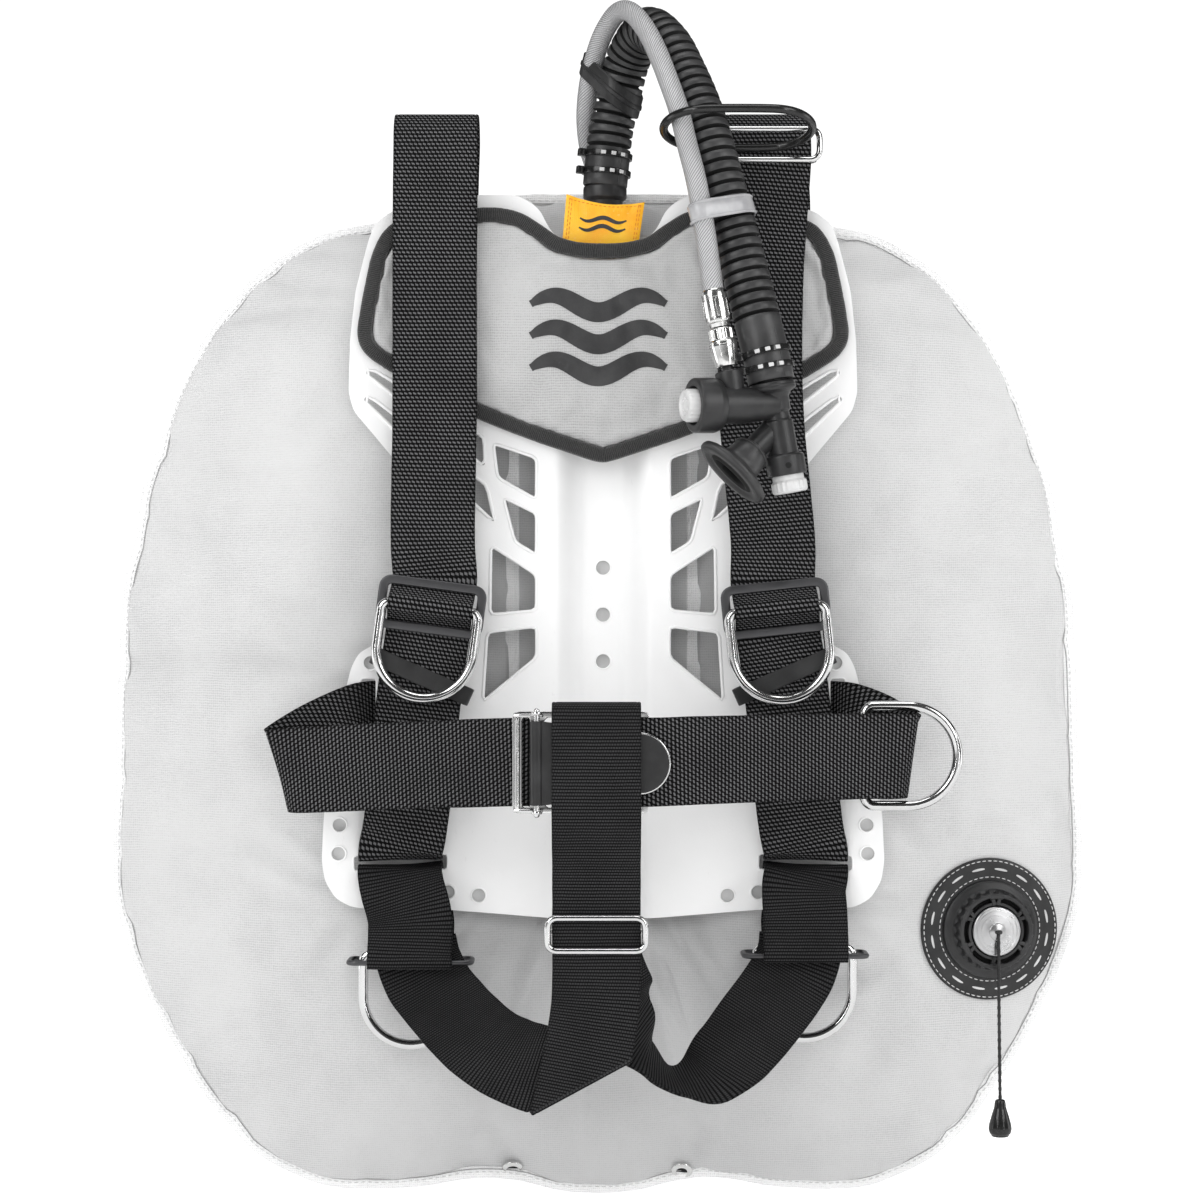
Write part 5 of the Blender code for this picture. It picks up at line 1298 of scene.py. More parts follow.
# creases that spread from the valve: degrees, length, depth
VALVE_CREASES = [
    (12, 40, 1.6), (52, 46, 1.5), (96, 62, 1.8), (132, 80, 2.2), (166, 92, 2.4),
    (196, 88, 2.2), (228, 74, 2.0), (262, 66, 1.8), (300, 48, 1.6), (338, 36, 1.4)]
for degrees, length, depth in VALVE_CREASES:
    way = Vector((math.cos(math.radians(degrees)), math.sin(math.radians(degrees))))
    start = VALVE_C.xz + way * 47
    CREASES.append((*start, *(start + way * length), 5.5, depth))


def crease_depth(x, z):
    """How deep the creases are at a place: a trough with a low ridge beside it."""
    total = 0.0
    for x0, z0, x1, z1, width, depth in CREASES:
        if not (min(x0, x1) - 16 <= x <= max(x0, x1) + 16
                and min(z0, z1) - 16 <= z <= max(z0, z1) + 16):
            continue
        dx, dz = x1 - x0, z1 - z0
        length = math.hypot(dx, dz)
        share = ((x - x0) * dx + (z - z0) * dz) / length ** 2
        held = clamp(share)
        bend = 3.0 * math.sin(held * 4.0 + x0)
        aside = ((x - x0 - dx * held) * -dz + (z - z0 - dz * held) * dx) / length - bend * held
        away = math.hypot(aside, abs(share - held) * length)
        spread = width * (0.75 + 0.9 * held)
        trough = math.exp(-((away / spread) ** 2))
        ridge = math.exp(-(((away - 1.9 * spread) / spread) ** 2))
        total += depth * (trough - 0.45 * ridge) * hill(clamp(0.08 + 0.92 * held)) ** 0.5
    return total


def fitting_distances(x, z):
    """Distances across the cell from the dump valve and from the hose port."""
    return (math.hypot(x - VALVE_C.x, z - VALVE_C.z), math.hypot(x - ELBOW_X, z - ELBOW_Z))


def skin_y(i, share, front):
    """Y of the inflated skin, flattened in front round the valve and the port."""
    bulge = max(0.0, hill(share)) ** 0.8 * clamp(wide[i] / 190.0, 0.22, 1.0)
    middle = INNER_Y + (SEAM_Y - INNER_Y) * share
    if not front:
        return middle + 1.0 + REAR_BULGE * bulge
    y = middle - 1.0 - FRONT_BULGE * bulge
    at = wing_inner[i].lerp(wing_outer[i], share)
    from_valve, from_port = fitting_distances(at.x, at.y)
    flat = smooth((105.0 - from_valve) / 50.0) * min(1.0, (1.0 - share) / 0.06)
    valve_plane = VALVE_C.y + 1.6 - (at.x - VALVE_C.x) * VALVE_N.x / VALVE_N.y
    y += (valve_plane - y) * flat
    return y + (PORT_Y - y) * clamp((34.0 - from_port) / 16.0) * min(1.0, share / 0.3)


def read_vertices(mesh, attribute="co"):
    values = np.empty(len(mesh.vertices) * 3)
    mesh.vertices.foreach_get(attribute, values)
    return values.reshape(-1, 3)


CLOTH_SETTINGS = {
    "quality": 4, "mass": 0.25, "tension_stiffness": 18.0, "compression_stiffness": 18.0,
    "shear_stiffness": 6.0, "bending_stiffness": 0.35, "tension_damping": 8.0,
    "compression_damping": 8.0, "shear_damping": 8.0, "air_damping": 2.0, "use_pressure": True,
}
CLOTH_FRAMES = 16


def relax_in_cloth(obj, pins, caps, pressure, grow):
    """Runs Blender's cloth on a mesh and keeps the result, each point within its cap."""
    mesh = obj.data
    start = read_vertices(mesh)
    group = obj.vertex_groups.new(name="held")
    for i, weight in enumerate(pins):
        if weight > 0:
            group.add([i], float(weight), "REPLACE")
    mod = obj.modifiers.new("Cloth", "CLOTH")
    cloth = mod.settings
    for name, value in CLOTH_SETTINGS.items():
        setattr(cloth, name, value)
    cloth.uniform_pressure_force = pressure
    cloth.shrink_min = -grow
    cloth.vertex_group_mass = "held"
    cloth.pin_stiffness = 1.0
    cloth.effector_weights.gravity = 0.0
    mod.collision_settings.use_collision = False
    mod.point_cache.frame_start = 1
    mod.point_cache.frame_end = CLOTH_FRAMES
    scene = bpy.context.scene
    for frame in range(1, CLOTH_FRAMES + 1):
        scene.frame_set(frame)
    got = read_vertices(obj.evaluated_get(bpy.context.evaluated_depsgraph_get()).data)
    obj.modifiers.remove(mod)
    obj.vertex_groups.clear()
    scene.frame_set(1)
    move = got - start
    size = np.linalg.norm(move, axis=1, keepdims=True)
    limit = np.asarray(caps, float).reshape(-1, 1)
    move *= limit * np.tanh(size / limit) / np.maximum(size, 1e-12)
    move[~np.isfinite(move).all(axis=1)] = 0.0
    mesh.vertices.foreach_set("co", (start + move).ravel())
    mesh.update()


# one closed bag: front rows out to the edge seam, then the rear rows back in;
# each row is (share of the way out, whether it is in front)
ROWS = [(share, True) for share in [0.0] + [0.02 + 0.96 * (k / 27) for k in range(28)] + [0.992]]
ROWS += [(1.0, None)]
ROWS += [(share, False) for share in [0.992] + [0.03 + 0.95 * (k / 29) for k in range(29, -1, -1)]]
wing_points, wing_info = [], []
for i in range(AROUND):
    for share, front in ROWS:
        at = wing_inner[i].lerp(wing_outer[i], share)
        if front is None:
            y = SEAM_Y
        elif share == 0.0:
            y = INNER_Y
        else:
            y = skin_y(i, share, front)
        wing_points.append(Vector((at.x, y, at.y)))
        wing_info.append((i, share, front))
wing = Part()
wing.add(wing_points, strips(AROUND, len(ROWS), wrap=True, flip=True))
air = wing.finish("air_cell_skin", [CLOTH], "cloth_grey", "wing_front_panel", "wing_rear_panel",
                  ride=False, angle=80)
pins, caps = [], []
for (i, share, front), point in zip(wing_info, wing_points):
    from_valve, from_port = fitting_distances(point.x, point.z)
    fitting = front and (from_valve < 47 or from_port < 20)
    pins.append(1.0 if share in (0.0, 1.0) or fitting else 0.0)
    free = 1.0
    if front:
        free = min(1.0, smooth((from_valve - 46) / 30.0) + 0.02,
                   smooth((from_port - 18) / 24.0) + 0.02)
    caps.append(max(0.0002, (0.0075 if front else 0.0085) * free))
relax_in_cloth(air, pins, caps, pressure=2.2, grow=0.035)


def wing_wrinkle(i, share, front, point):
    """How far the skin stands out from its smooth shape, in millimetres."""
    if not 0.0 < share < 1.0:
        return 0.0
    run = edge_run[i]
    to_edge, to_inner = (1.0 - share) * wide[i], share * wide[i]
    side = 1.0 if front else 2.0
    slant = run + to_edge * 0.35 * noise_at(run / 60.0, side, 0.0)
    # gathers at the edge seam, slacker ones inside them, and those of the inner seam
    out = 2.3 * pucker(slant, side * 5.0) * math.exp(-((to_edge - 9.0) / 15.0) ** 2)
    out += 1.1 * pucker(slant * 0.7 + 40.0, side * 8.0) * math.exp(
        -((to_edge - 24.0) / 24.0) ** 2)
    out += 1.2 * pucker(run * 0.6, side * 11.0) * math.exp(-((to_inner - 10.0) / 18.0) ** 2)
    # broad and fine waviness of the whole panel
    out += 2.6 * noise_at(point.x / 62.0, side * 3.0, point.z / 75.0)
    out += 0.9 * noise_at(point.x / 24.0, side * 7.0, point.z / 30.0)
    if front:
        from_valve, from_port = fitting_distances(point.x, point.z)
        out -= 1.5 * crease_depth(point.x, point.z)
        out *= smooth((from_valve - 44) / 22.0) * smooth((from_port - 17) / 14.0)
    return out * smooth(to_edge / 4.0) * smooth(to_inner / 6.0)


skin = read_vertices(air.data)
skin_normals = read_vertices(air.data, "normal")
for n, (info, point) in enumerate(zip(wing_info, wing_points)):
    skin[n] += skin_normals[n] * wing_wrinkle(*info, point) * MM
air.data.vertices.foreach_set("co", skin.ravel())
air.data.update()
subdivide(air)
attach(air, "harness")

# sewn flange outside the bag, gathered unevenly, with a raw edge and two stitch rows
flange_verts, rim_front, rim_back, crease_shade_line = [], [], [], []
for i in range(AROUND):
    run, inward = edge_run[i], wing_inward[i]
    gather = pucker(run, 3.0)
    jag = 0.7 * noise_at(run / 5.0, 2.2, 0.0) + 0.5 * noise_at(run / 2.1, 7.2, 0.0)
    lift = 1.6 * pucker(run, 6.0)
    outer = wing_edge[i] + inward * (0.4 + max(0.0, gather) * 1.6 + max(0.0, jag))
    inner = wing_outer[i] + inward * 1.6
    middle = (outer + inner) / 2
    thick = 1.25 + 0.25 * noise_at(run / 9.0, 4.4, 0.0)
    tip = outer - inward * 0.35
    seam = wing_outer[i] - inward * 0.35
    # place, lift, share of the thickness
    line = [(inner, 0.0, 1.0), (middle, lift * 0.55, 1.1), (outer, lift, 0.65)]
    flange_verts += [Vector((at.x, SEAM_Y - thick * f + dy, at.y)) for at, dy, f in line]
    flange_verts.append(Vector((tip.x, SEAM_Y + lift, tip.y)))
    flange_verts += [Vector((at.x, SEAM_Y + thick * f + dy, at.y)) for at, dy, f in line[::-1]]
    rim_front.append(flange_verts[-6])
    rim_back.append(flange_verts[-2])
    crease_shade_line.append(Vector((seam.x, SEAM_Y - 2.0, seam.y)))
flange = Part()
flange.add(flange_verts, strips(AROUND, 7, wrap=True))
subdivide(flange.finish("air_cell_edge_flange", [CLOTH_EDGE], "cloth_grey", "wing_edge_flange",
                        angle=75))

seams = Part()
# a dark grey cord along the crease where the skin meets the flange: painted crease shade
tube(seams, crease_shade_line, 0.34, 6, closed=True)
for line, way in ((rim_front, FRONT), (rim_back, AWAY)):
    stitches(seams, line, [way] * AROUND, gap=1.6, radius=0.30, mat=1, closed=True)
seams.finish("air_cell_seam_threads", [CREASE_SHADE_GREY, THREAD_PALE], "cloth_grey")

# flat centre panel with a bound edge and bolt eyelets
PANEL_R, PANEL_THICK, TAPE_R = 52.4, 2.6, 54.6
EYELET_Z = (137.5, -140.0)


def racetrack(radius):
    """(x, z) round the two end centres of the inner seam."""
    loop = []
    for sign, z in ((1, INNER_TOP), (-1, INNER_BOTTOM)):
        for k in range(33):
            turn = math.pi * k / 32 - math.pi / 2
            loop.append((sign * math.sin(turn) * radius, z + sign * math.cos(turn) * radius))
    return loop


def racetrack_line(radius, y, count):
    return resample([Vector((x, y, z)) for x, z in racetrack(radius)], count, True)


sheet("centre_panel_cloth", [racetrack(PANEL_R)] + [circle(0, z, 5.0, 24) for z in EYELET_Z],
      PANEL_THICK, INNER_Y - PANEL_THICK / 2, [], lambda x: 0.0, CLOTH,
      "wing_centre_panel", bevel=0.4)
trim = Part()
piping = [point + AWAY * (0.25 * noise_at(i * 0.35, 0.0, 3.0))
          for i, point in enumerate(racetrack_line(PANEL_R, INNER_Y, 260))]
tube(trim, piping, 1.9, 10, closed=True)
seam_tape = racetrack_line(TAPE_R, INNER_Y, 260)
sweep(trim, seam_tape, rounded(rect(5.0, 1.1), 0.8, 3), True,
      scales=[1.0 + 0.05 * pucker(i * 2.2, 41.0) for i in range(260)],
      frames=flat_frames(seam_tape, AWAY))
stitches(trim, racetrack_line(PANEL_R * 0.93, INNER_Y + 1.35, 240), [AWAY] * 240,
         gap=1.5, radius=0.3, mat=1, closed=True)
trim.finish("centre_panel_piping", [CLOTH_EDGE, THREAD_PALE], "cloth_grey")
eyelets = Part()
for z in EYELET_Z:
    for way in (-1, 1):
        lathe(eyelets, [(4.6, 0.0), (4.6, 0.75), (5.6, 0.95), (7.6, 0.55), (7.8, 0.0)],
              (0, INNER_Y + way * PANEL_THICK / 2, z), (0, way, 0), 36, 0.15)
eyelets.finish("centre_panel_eyelets", [SATIN], "brass_plated")

# the inner bladder follows the skin a few millimetres inside it
FILM_GAP = 0.006  # metres
film_rows = [k for k, (share, front) in enumerate(ROWS) if 0.10 < share < 0.90]
film_index = [i * len(ROWS) + k for i in range(AROUND) for k in film_rows]
film = Part()
film.add([design(skin[n] - skin_normals[n] * FILM_GAP) for n in film_index],
         strips(AROUND, len(film_rows), wrap=True, flip=True))
film.finish("inner_bladder_film", [FILM], "bladder_film", "wing_bladder", angle=80)


def front_hit(tree, x, z, start_y, miss_y):
    """Where a line from in front meets a surface, and the normal facing it.

    miss_y stands in for the surface where the line misses it.
    """
    hit, normal, _, _ = tree.ray_cast(metres((x, start_y, z)), AWAY)
    if hit is None:
        return Vector((x, miss_y, z)), FRONT
    return design(hit), -normal if normal.y > 0 else normal


# drain eyelets at the bottom edge
air_tree = BVHTree.FromPolygons([v.co.copy() for v in air.data.vertices],
                                [list(f.vertices) for f in air.data.polygons])
for tag, x, z in (("right", -56.0, -405.0), ("left", 49.0, -406.5)):
    eye, normal = front_hit(air_tree, x, z, start_y=-80.0, miss_y=45.0)
    eye_axis = (normal * 0.5 + Vector((0, -0.50, -0.87)) * 0.7).normalized()
    eye = eye + eye_axis * 0.4
    part = Part()
    lathe(part, [(3.4, 1.0), (4.4, 1.6), (5.8, 1.3), (6.9, 0.5), (6.9, -0.4), (3.4, -0.4)],
          eye, eye_axis, 40, 0.35)
    # a near-black disc filling the eyelet's hole: painted shade
    lathe(part, [(0, 0.2), (3.5, 0.2), (3.5, -1.0), (0, -1.0)], eye, eye_axis, 40, 0.1, mat=1)
    part.finish("drain_eyelet_" + tag, [NICKEL, SHADE_BLACK], "brass_plated", "drain_grommet_" + tag)


# ================================================================ back pad
# (x, z) of half the pad's outline
PAD_HALF = [
    (0, 161.0), (14, 161.6), (26.7, 164.6), (34.1, 170.3), (48.1, 179.4), (60.9, 182.6),
    (74.8, 182.6), (100, 178.6), (124.9, 173.5), (132.5, 165.1), (137.8, 153.2),
    (143.2, 126.6), (146.2, 108.4), (145.3, 99.9), (139.9, 92.4), (124.9, 82.8),
    (74.8, 56.1), (44.9, 44.3), (7.5, 31.7), (0, 29.9),
]
# folds in the cloth: start x, start z, degrees, length, depth
PAD_FOLDS = [
    (-2, 152, -88, 60, 1.2), (22, 156, -60, 46, 0.9), (-24, 157, -122, 46, 0.9),
    (4, 44, 84, 40, 1.1), (-20, 50, 70, 34, 0.8), (28, 52, 112, 36, 0.8),
    (-66, 66, 60, 40, 0.9), (60, 64, 118, 42, 0.9), (-70, 172, -66, 46, 0.9),
    (66, 170, -112, 46, 0.9)]
pad_loop = [(at.x, at.y) for at in resample(
    [at.to_3d() for at in rounded(inset(mirrored(PAD_HALF), 4.3), 5.0, 6)], 420, True)]
PAD_X, PAD_Z = (np.array(values) for values in zip(*pad_loop))
PAD_DX, PAD_DZ = np.roll(PAD_X, -1) - PAD_X, np.roll(PAD_Z, -1) - PAD_Z


def pad_edge(x, z):
    """Distance to the pad's outline."""
    share = ((x - PAD_X) * PAD_DX + (z - PAD_Z) * PAD_DZ) / (PAD_DX ** 2 + PAD_DZ ** 2 + 1e-12)
    share = np.clip(share, 0, 1)
    square = (PAD_X + PAD_DX * share - x) ** 2 + (PAD_Z + PAD_DZ * share - z) ** 2
    return float(np.sqrt(square).min())


def fold_relief(x, z):
    relief = 0.0
    for start_x, start_z, degrees, length, depth in PAD_FOLDS:
        turn = math.radians(degrees)
        way_x, way_z = math.cos(turn), math.sin(turn)
        run = (x - start_x) * way_x + (z - start_z) * way_z
        off = -(x - start_x) * way_z + (z - start_z) * way_x
        if -4 < run < length:
            relief += (depth * math.exp(-((off / 3.4) ** 2))
                       * hill(clamp((run + 4) / (length + 4))))
    return relief


def quilt(point):
    """Swells the pad's front, with soft waves, folds and gathers at its edge."""
    at = design(point)
    edge = pad_edge(at.x, at.z)
    base = side_bend(at.x)
    if at.y - base < -4.0:
        crown = 2.6 * smooth(edge / 26.0)
        soft = (1.7 * noise_at(at.x / 17.0, 2.0, at.z / 34.0)
                + 1.1 * noise_at(at.x / 8.0 + at.z / 30.0, 5.0, at.z / 26.0))
        gather = 0.5 * pucker(at.x * 1.1 + at.z * 0.8, 21.0) * math.exp(
            -((edge - 3.0) / 7.0) ** 2)
        at.y -= crown + soft * smooth(edge / 14.0) + gather - fold_relief(at.x, at.z) * 0.8
    at.y = min(at.y, base - 0.55)
    return metres(at)


def make_pad():
    """Voxel remesh of the pad's solid, swollen by cloth pressure, then quilted by code."""
    obj = link("back_pad_cushion", NODES["back_pad"].data.copy())
    remesh = obj.modifiers.new("Remesh", "REMESH")
    remesh.mode = "VOXEL"
    remesh.voxel_size = 0.0030
    even = obj.modifiers.new("Even", "SMOOTH")
    even.factor = 0.5
    even.iterations = 2
    graph = bpy.context.evaluated_depsgraph_get()
    mesh = bpy.data.meshes.new_from_object(obj.evaluated_get(graph))
    obj.modifiers.clear()
    obj.data = mesh
    pins, caps = [], []
    for point in read_vertices(mesh):
        at = design(point)
        edge = pad_edge(at.x, at.z)
        rear = at.y - side_bend(at.x) > -3.0
        pins.append(1.0 if edge < 4.5 or rear else 0.0)
        caps.append(0.0045 * smooth(edge / 16.0) + 0.0003)
    relax_in_cloth(obj, pins, caps, pressure=3.0, grow=0.03)
    points = read_vertices(mesh)
    for n in range(len(points)):
        points[n] = quilt(points[n])
    mesh.vertices.foreach_set("co", points.ravel())
    mesh.materials.clear()
    mesh.materials.append(PAD)
    mesh.polygons.foreach_set("use_smooth", [True] * len(mesh.polygons))
    mesh.update()
    subdivide(obj)
    register(obj, ["back_pad"])
    return BVHTree.FromPolygons([Vector(point) for point in points],
                                [list(f.vertices) for f in mesh.polygons])


pad_tree = make_pad()

# bound edge: folded tape with uneven gathers
bind = Part()
sweep(bind, [Vector((x, side_bend(x) - 5.0, z)) for x, z in pad_loop],
      rounded(rect(4.35, 4.55, 0.0, -0.15), 3.0, 4), True,
      scales=[1.0 + 0.035 * pucker(i * 1.9, 31.0) + 0.03 * noise_at(i * 0.9, 3.0, 3.0)
              for i in range(len(pad_loop))],
      frames=flat_frames([Vector((x, 0, z)) for x, z in pad_loop], AWAY))
bind.finish("pad_bound_edge", [TAPE], "tape_dark", "pad_binding", angle=80)


def on_pad(at, lift):
    point, _ = front_hit(pad_tree, at.x, at.z, -60.0, -9.5 + side_bend(at.x))
    point.y -= lift
    return point


# emblem: three wavy strokes printed on the pad
STROKE_START, STROKE_END, STROKE_AMP, STROKE_HALF = -43.0, 37.5, 5.0, 5.9
STROKE_LIFT, STROKE_THICK = 0.35, 0.5
WAVES = 1.5
emblem = Part()
for stroke_z in (124.0, 105.0, 86.0):
    spine = []
    for k in range(61):
        turn = k / 60 * 2 * math.pi * WAVES
        spine.append(Vector((lerp(STROKE_START, STROKE_END, k / 60), 0,
                             stroke_z + STROKE_AMP * math.sin(turn))))
    verts = []
    for k, (at, way) in enumerate(zip(spine, tangents(spine))):
        half = STROKE_HALF * hill(clamp(k / 60, 0.02, 0.98)) ** 0.35
        side = Vector((-way.z, 0, way.x))
        row = [at + side * lerp(-half, half, i / 6) for i in range(7)]
        verts += [on_pad(place, STROKE_LIFT) for place in row]
        verts += [on_pad(place, STROKE_LIFT - STROKE_THICK) for place in reversed(row)]
    emblem.add(verts, strips(61, 14) + end_caps(61, 14))
emblem.finish("pad_wave_emblem", [PRINT], "tape_dark")


# ================================================================ amber tab
TAB_ACROSS, TAB_DOWN = 40, 26  # cells
TAB_CORNERS = [Vector(at) for at in ((-21.9, 0, 191.8), (25.0, 0, 186.9),
                                     (-24.7, 0, 160.5), (21.2, 0, 160.5))]


def tab_point(u, v):
    """u across 0..1, v down 0..1 on the tab."""
    top_right, top_left, low_right, low_left = TAB_CORNERS
    point = top_right.lerp(top_left, u).lerp(low_right.lerp(low_left, u), v)
    point.z -= 3.6 * hill(u) * (1 - v) ** 2
    belly = 1.5 * hill(u) * hill(clamp(v * 0.9 + 0.05))
    fold = 0.8 * (1 - v) * (math.exp(-(((u - 0.14 - 0.22 * v) / 0.05) ** 2))
                            + math.exp(-(((u - 0.86 + 0.20 * v) / 0.05) ** 2)))
    point.y = 1.9 - belly + fold + 0.35 * noise_at(u * 5, v * 4, 1.0)
    return point


def over_tab(u, v):
    return tab_point(u, v) + FRONT * 0.85


tab = Part()
verts = []
for sign in (-1, 1):
    for i in range(TAB_DOWN + 1):
        for k in range(TAB_ACROSS + 1):
            at_edge = i in (0, TAB_DOWN) or k in (0, TAB_ACROSS)
            half = 0.75 - (0.35 if at_edge else 0.0)
            verts.append(tab_point(k / TAB_ACROSS, i / TAB_DOWN) + AWAY * (sign * half))
rows, per_row = TAB_DOWN + 1, TAB_ACROSS + 1
rear = rows * per_row
faces = []
for face, flipped in zip(strips(rows, per_row, wrap_row=False),
                         strips(rows, per_row, wrap_row=False, flip=True)):
    faces += [face, [rear + k for k in flipped]]
rim = list(range(per_row))
rim += [i * per_row + TAB_ACROSS for i in range(1, rows)]
rim += [TAB_DOWN * per_row + k for k in range(TAB_ACROSS - 1, -1, -1)]
rim += [i * per_row for i in range(TAB_DOWN - 1, 0, -1)]
faces += [[here, rear + here, rear + there, there] for here, there in zip(rim, rim[1:] + rim[:1])]
tab.add(verts, faces)
tab_lines = [[over_tab(u, k / 30) for k in range(1, 30)] for u in (0.045, 0.075, 0.925, 0.955)]
tab_lines.append([over_tab(k / 30, 0.07) for k in range(1, 30)])
for line in tab_lines:
    stitches(tab, line, [FRONT] * len(line), length=1.7, gap=0.9, radius=0.26, mat=1)
# two printed waves
for v in (0.42, 0.62):
    line = [over_tab(lerp(0.20, 0.80, k / 30),
                     v + 0.055 * math.sin(k / 30 * 2 * math.pi * WAVES)) for k in range(31)]
    sweep(tab, line, ellipse(0.25, 1.35, 10), hint=AWAY, mat=2,
          scales=[max(0.15, hill(clamp(k / 30, 0.03, 0.97)) ** 0.4) for k in range(31)])
tab.finish("amber_sewn_tab", [TAG, THREAD_ORANGE, PRINT], "tag_yellow", "hose_tab")


# ================================================================ dump valve
VALVE_X, VALVE_Y, VALVE_Z = basis(VALVE_N)


def on_valve(turn, radius, height):
    around = VALVE_X * math.cos(turn) + VALVE_Y * math.sin(turn)
    return VALVE_C + around * radius + VALVE_Z * height


def valve_ring(radius, height, count):
    return [on_valve(turn, radius, height) for turn in turns(count)]


patch = Part()
lathe(patch, [(20.5, 0.7), (24.0, 1.15), (40.0, 1.15), (43.0, 0.5), (43.2, -0.5), (20.5, -0.5)],
      VALVE_C, VALVE_N, 96, 0.5)
for radius in (41.4, 31.6):
    stitches(patch, valve_ring(radius, 1.2, 120), [VALVE_Z] * 120,
             length=2.2, gap=1.3, radius=0.34, mat=1, closed=True)
# plain raised dashes between the stitch rings
for k in range(16):
    arc = [on_valve(2 * math.pi * lerp(k + 0.22, k + 0.78, i / 10) / 16, 36.6, 1.05)
           for i in range(11)]
    sweep(patch, arc, ellipse(0.8, 0.35, 10), mat=2,
          scales=[0.4 + 0.6 * hill(i / 10) ** 0.5 for i in range(11)],
          frames=[(square_to(at - VALVE_C, VALVE_Z), VALVE_Z) for at in arc])
patch.finish("valve_patch_stitched", [RUBBER, THREAD_PALE, PALE], "rubber_black", "valve_patch")

cap = Part()
lathe(cap, [(18.4, 2.0), (16.4, 0.0), (16.4, -9.0), (19.4, -9.0), (19.4, 1.0), (20.0, 6.0),
            (20.0, 13.6), (20.4, 15.0), (22.4, 15.0), (24.0, 13.2), (24.0, 7.0), (24.6, 5.0),
            (27.6, 4.4), (29.5, 3.4), (29.5, 1.0)],
      VALVE_C, VALVE_N, 144, 0.5, knurl=(24, 1.5, 6.5, 14.0, 23.0))
for k in range(6):
    turn = 2 * math.pi * (k + 0.5) / 6
    for aside in (-0.11, 0.11):
        start, end = on_valve(turn + aside * 0.6, 15.6, 12.8), on_valve(turn + aside, 21.2, 12.8)
        box_bar(cap, start, end, 2.4, 3.6, VALVE_Z.cross(end - start), 0.6)
    arc = [on_valve(turn - 0.20 + 0.40 * i / 8, 20.6, 14.2) for i in range(9)]
    tube(cap, arc, 1.2, 10)
lathe(cap, [(15.6, 14.2), (17.4, 14.2), (17.4, 11.4), (15.6, 11.4)], VALVE_C, VALVE_N, 64, 0.4)
# a near-black disc inside the cap, under the spokes: painted shade
lathe(cap, [(2.9, 9.0), (20.3, 9.0), (20.3, 7.6), (2.9, 7.6)], VALVE_C, VALVE_N, 64, 0.3, mat=1)
cap.finish("valve_cap_spoked", [PLASTIC, SHADE_BLACK], "plastic_black", "valve_housing")

disc = Part()
lathe(disc, [(0, 18.0), (1.6, 18.0), (3.4, 17.6), (5.0, 17.0), (5.2, 16.4), (9.0, 16.1),
             (14.2, 15.9), (15.0, 15.2), (15.0, 13.8), (2.3, 13.4), (2.3, -2.4), (12.0, -2.4),
             (12.0, -4.2), (0, -4.2)], VALVE_C, VALVE_N, 72, 0.4)
for radius in (7.5, 10.0, 12.5):
    tube(disc, valve_ring(radius, 15.95, 72), 0.22, 6, closed=True)
disc.finish("valve_pull_disc_turned", [SATIN], "steel_brushed", "valve_pull_disc",
            body="valve_disc")

spring = Part()
coil = [on_valve(2 * math.pi * 3 * k / 90, 4.6, -1.5 + 8.0 * k / 90) for k in range(91)]
tube(spring, coil, 0.5, 8, dome=True)
spring_obj = spring.finish("valve_return_spring", [STEEL], "steel_polished", "valve_spring")
tuple(metres(VALVE_C + VALVE_Z * 7.0))
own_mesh(spring_obj)

CORD_TOP = VALVE_C + VALVE_N * 18.6
cord_line = spline([CORD_TOP + Vector(at) for at in (
    (0, 0.4, 1.0), (0, -0.2, -6), (0.2, 0, -40), (0.5, 0, -70), (0.9, 0, -100.5))], 120)
cord = Part()
tube(cord, cord_line, 0.95, 12)
# two strands laid round the core, and a small knot at the top
cord_frames = carried_frames(cord_line)
for start in (0.0, math.pi):
    strand = []
    for i, (point, (x, y)) in enumerate(zip(cord_line, cord_frames)):
        turn = i * 0.55 + start
        strand.append(point + x * (0.75 * math.cos(turn)) + y * (0.75 * math.sin(turn)))
    tube(cord, strand, 0.42, 6)
tube(cord, [CORD_TOP + Vector((1.5 * math.cos(turn), -0.6 + 1.5 * math.sin(turn),
                               0.4 * math.sin(turn * 2))) for turn in turns(20)],
     0.8, 8, closed=True)
cord.finish("pull_cord_laid", [RUBBER], "rubber_black", "pull_cord", body="cord")
toggle = Part()
lathe(toggle, [(0, 0.0), (1.6, 0.0), (3.0, -0.7), (3.4, -3.0), (3.6, -5.0), (5.2, -10),
               (6.6, -15), (7.0, -18), (6.3, -20.7), (5.4, -21.2), (5.2, -22.4),
               (3.0, -22.8), (0, -22.8)],
      CORD_TOP + Vector((0.9, 0, -100.4)), UP, 48, 0.9)
toggle.finish("pull_toggle_pear", [GLOSS], "plastic_black", "pull_toggle", body="cord")


# ================================================================ hoses
HOSE_R, LP_R = 13.5, 6.0
HOSE = [
    (1.2, 22, 199), (2.2, 22, 210), (3.4, 22, 222), (5.5, 22, 237), (10.3, 20, 257.6),
    (16.3, 13, 277.5), (26.9, -4, 289.2), (38.5, -22, 277), (47.0, -34, 258.5),
    (55.5, -46, 236), (62.5, -54.5, 212), (69.4, -60, 185.3), (78.0, -63.5, 153.2),
    (85.9, -68.2, 121.1), (90.6, -71.4, 101.0), (94.1, -73.3, 86.0), (96.5, -74.0, 73.3),
]
LP = [
    (-2.0, 49.5, 205), (-5.0, 48.5, 215), (-8.5, 44, 226), (-10.3, 36, 241), (-9.5, 29, 256),
    (-6.5, 23, 272), (-0.6, 10, 288), (7.8, -7, 298), (15.6, -22, 296.6), (24.0, -35, 284.9),
    (31.6, -46.6, 267.8), (38.4, -56.5, 248.0), (44.0, -63, 230.1), (48.4, -70.5, 209.6),
    (52.6, -75.2, 191.9), (55.6, -77.5, 176), (59.0, -78.0, 154.5), (61.4, -78.0, 137.3),
    (63.2, -78, 123.5),
]
hose_line = spline(HOSE, 241)
hose_run = lengths(hose_line)
hose_ways = tangents(hose_line)
WHOLE = hose_run[-1]
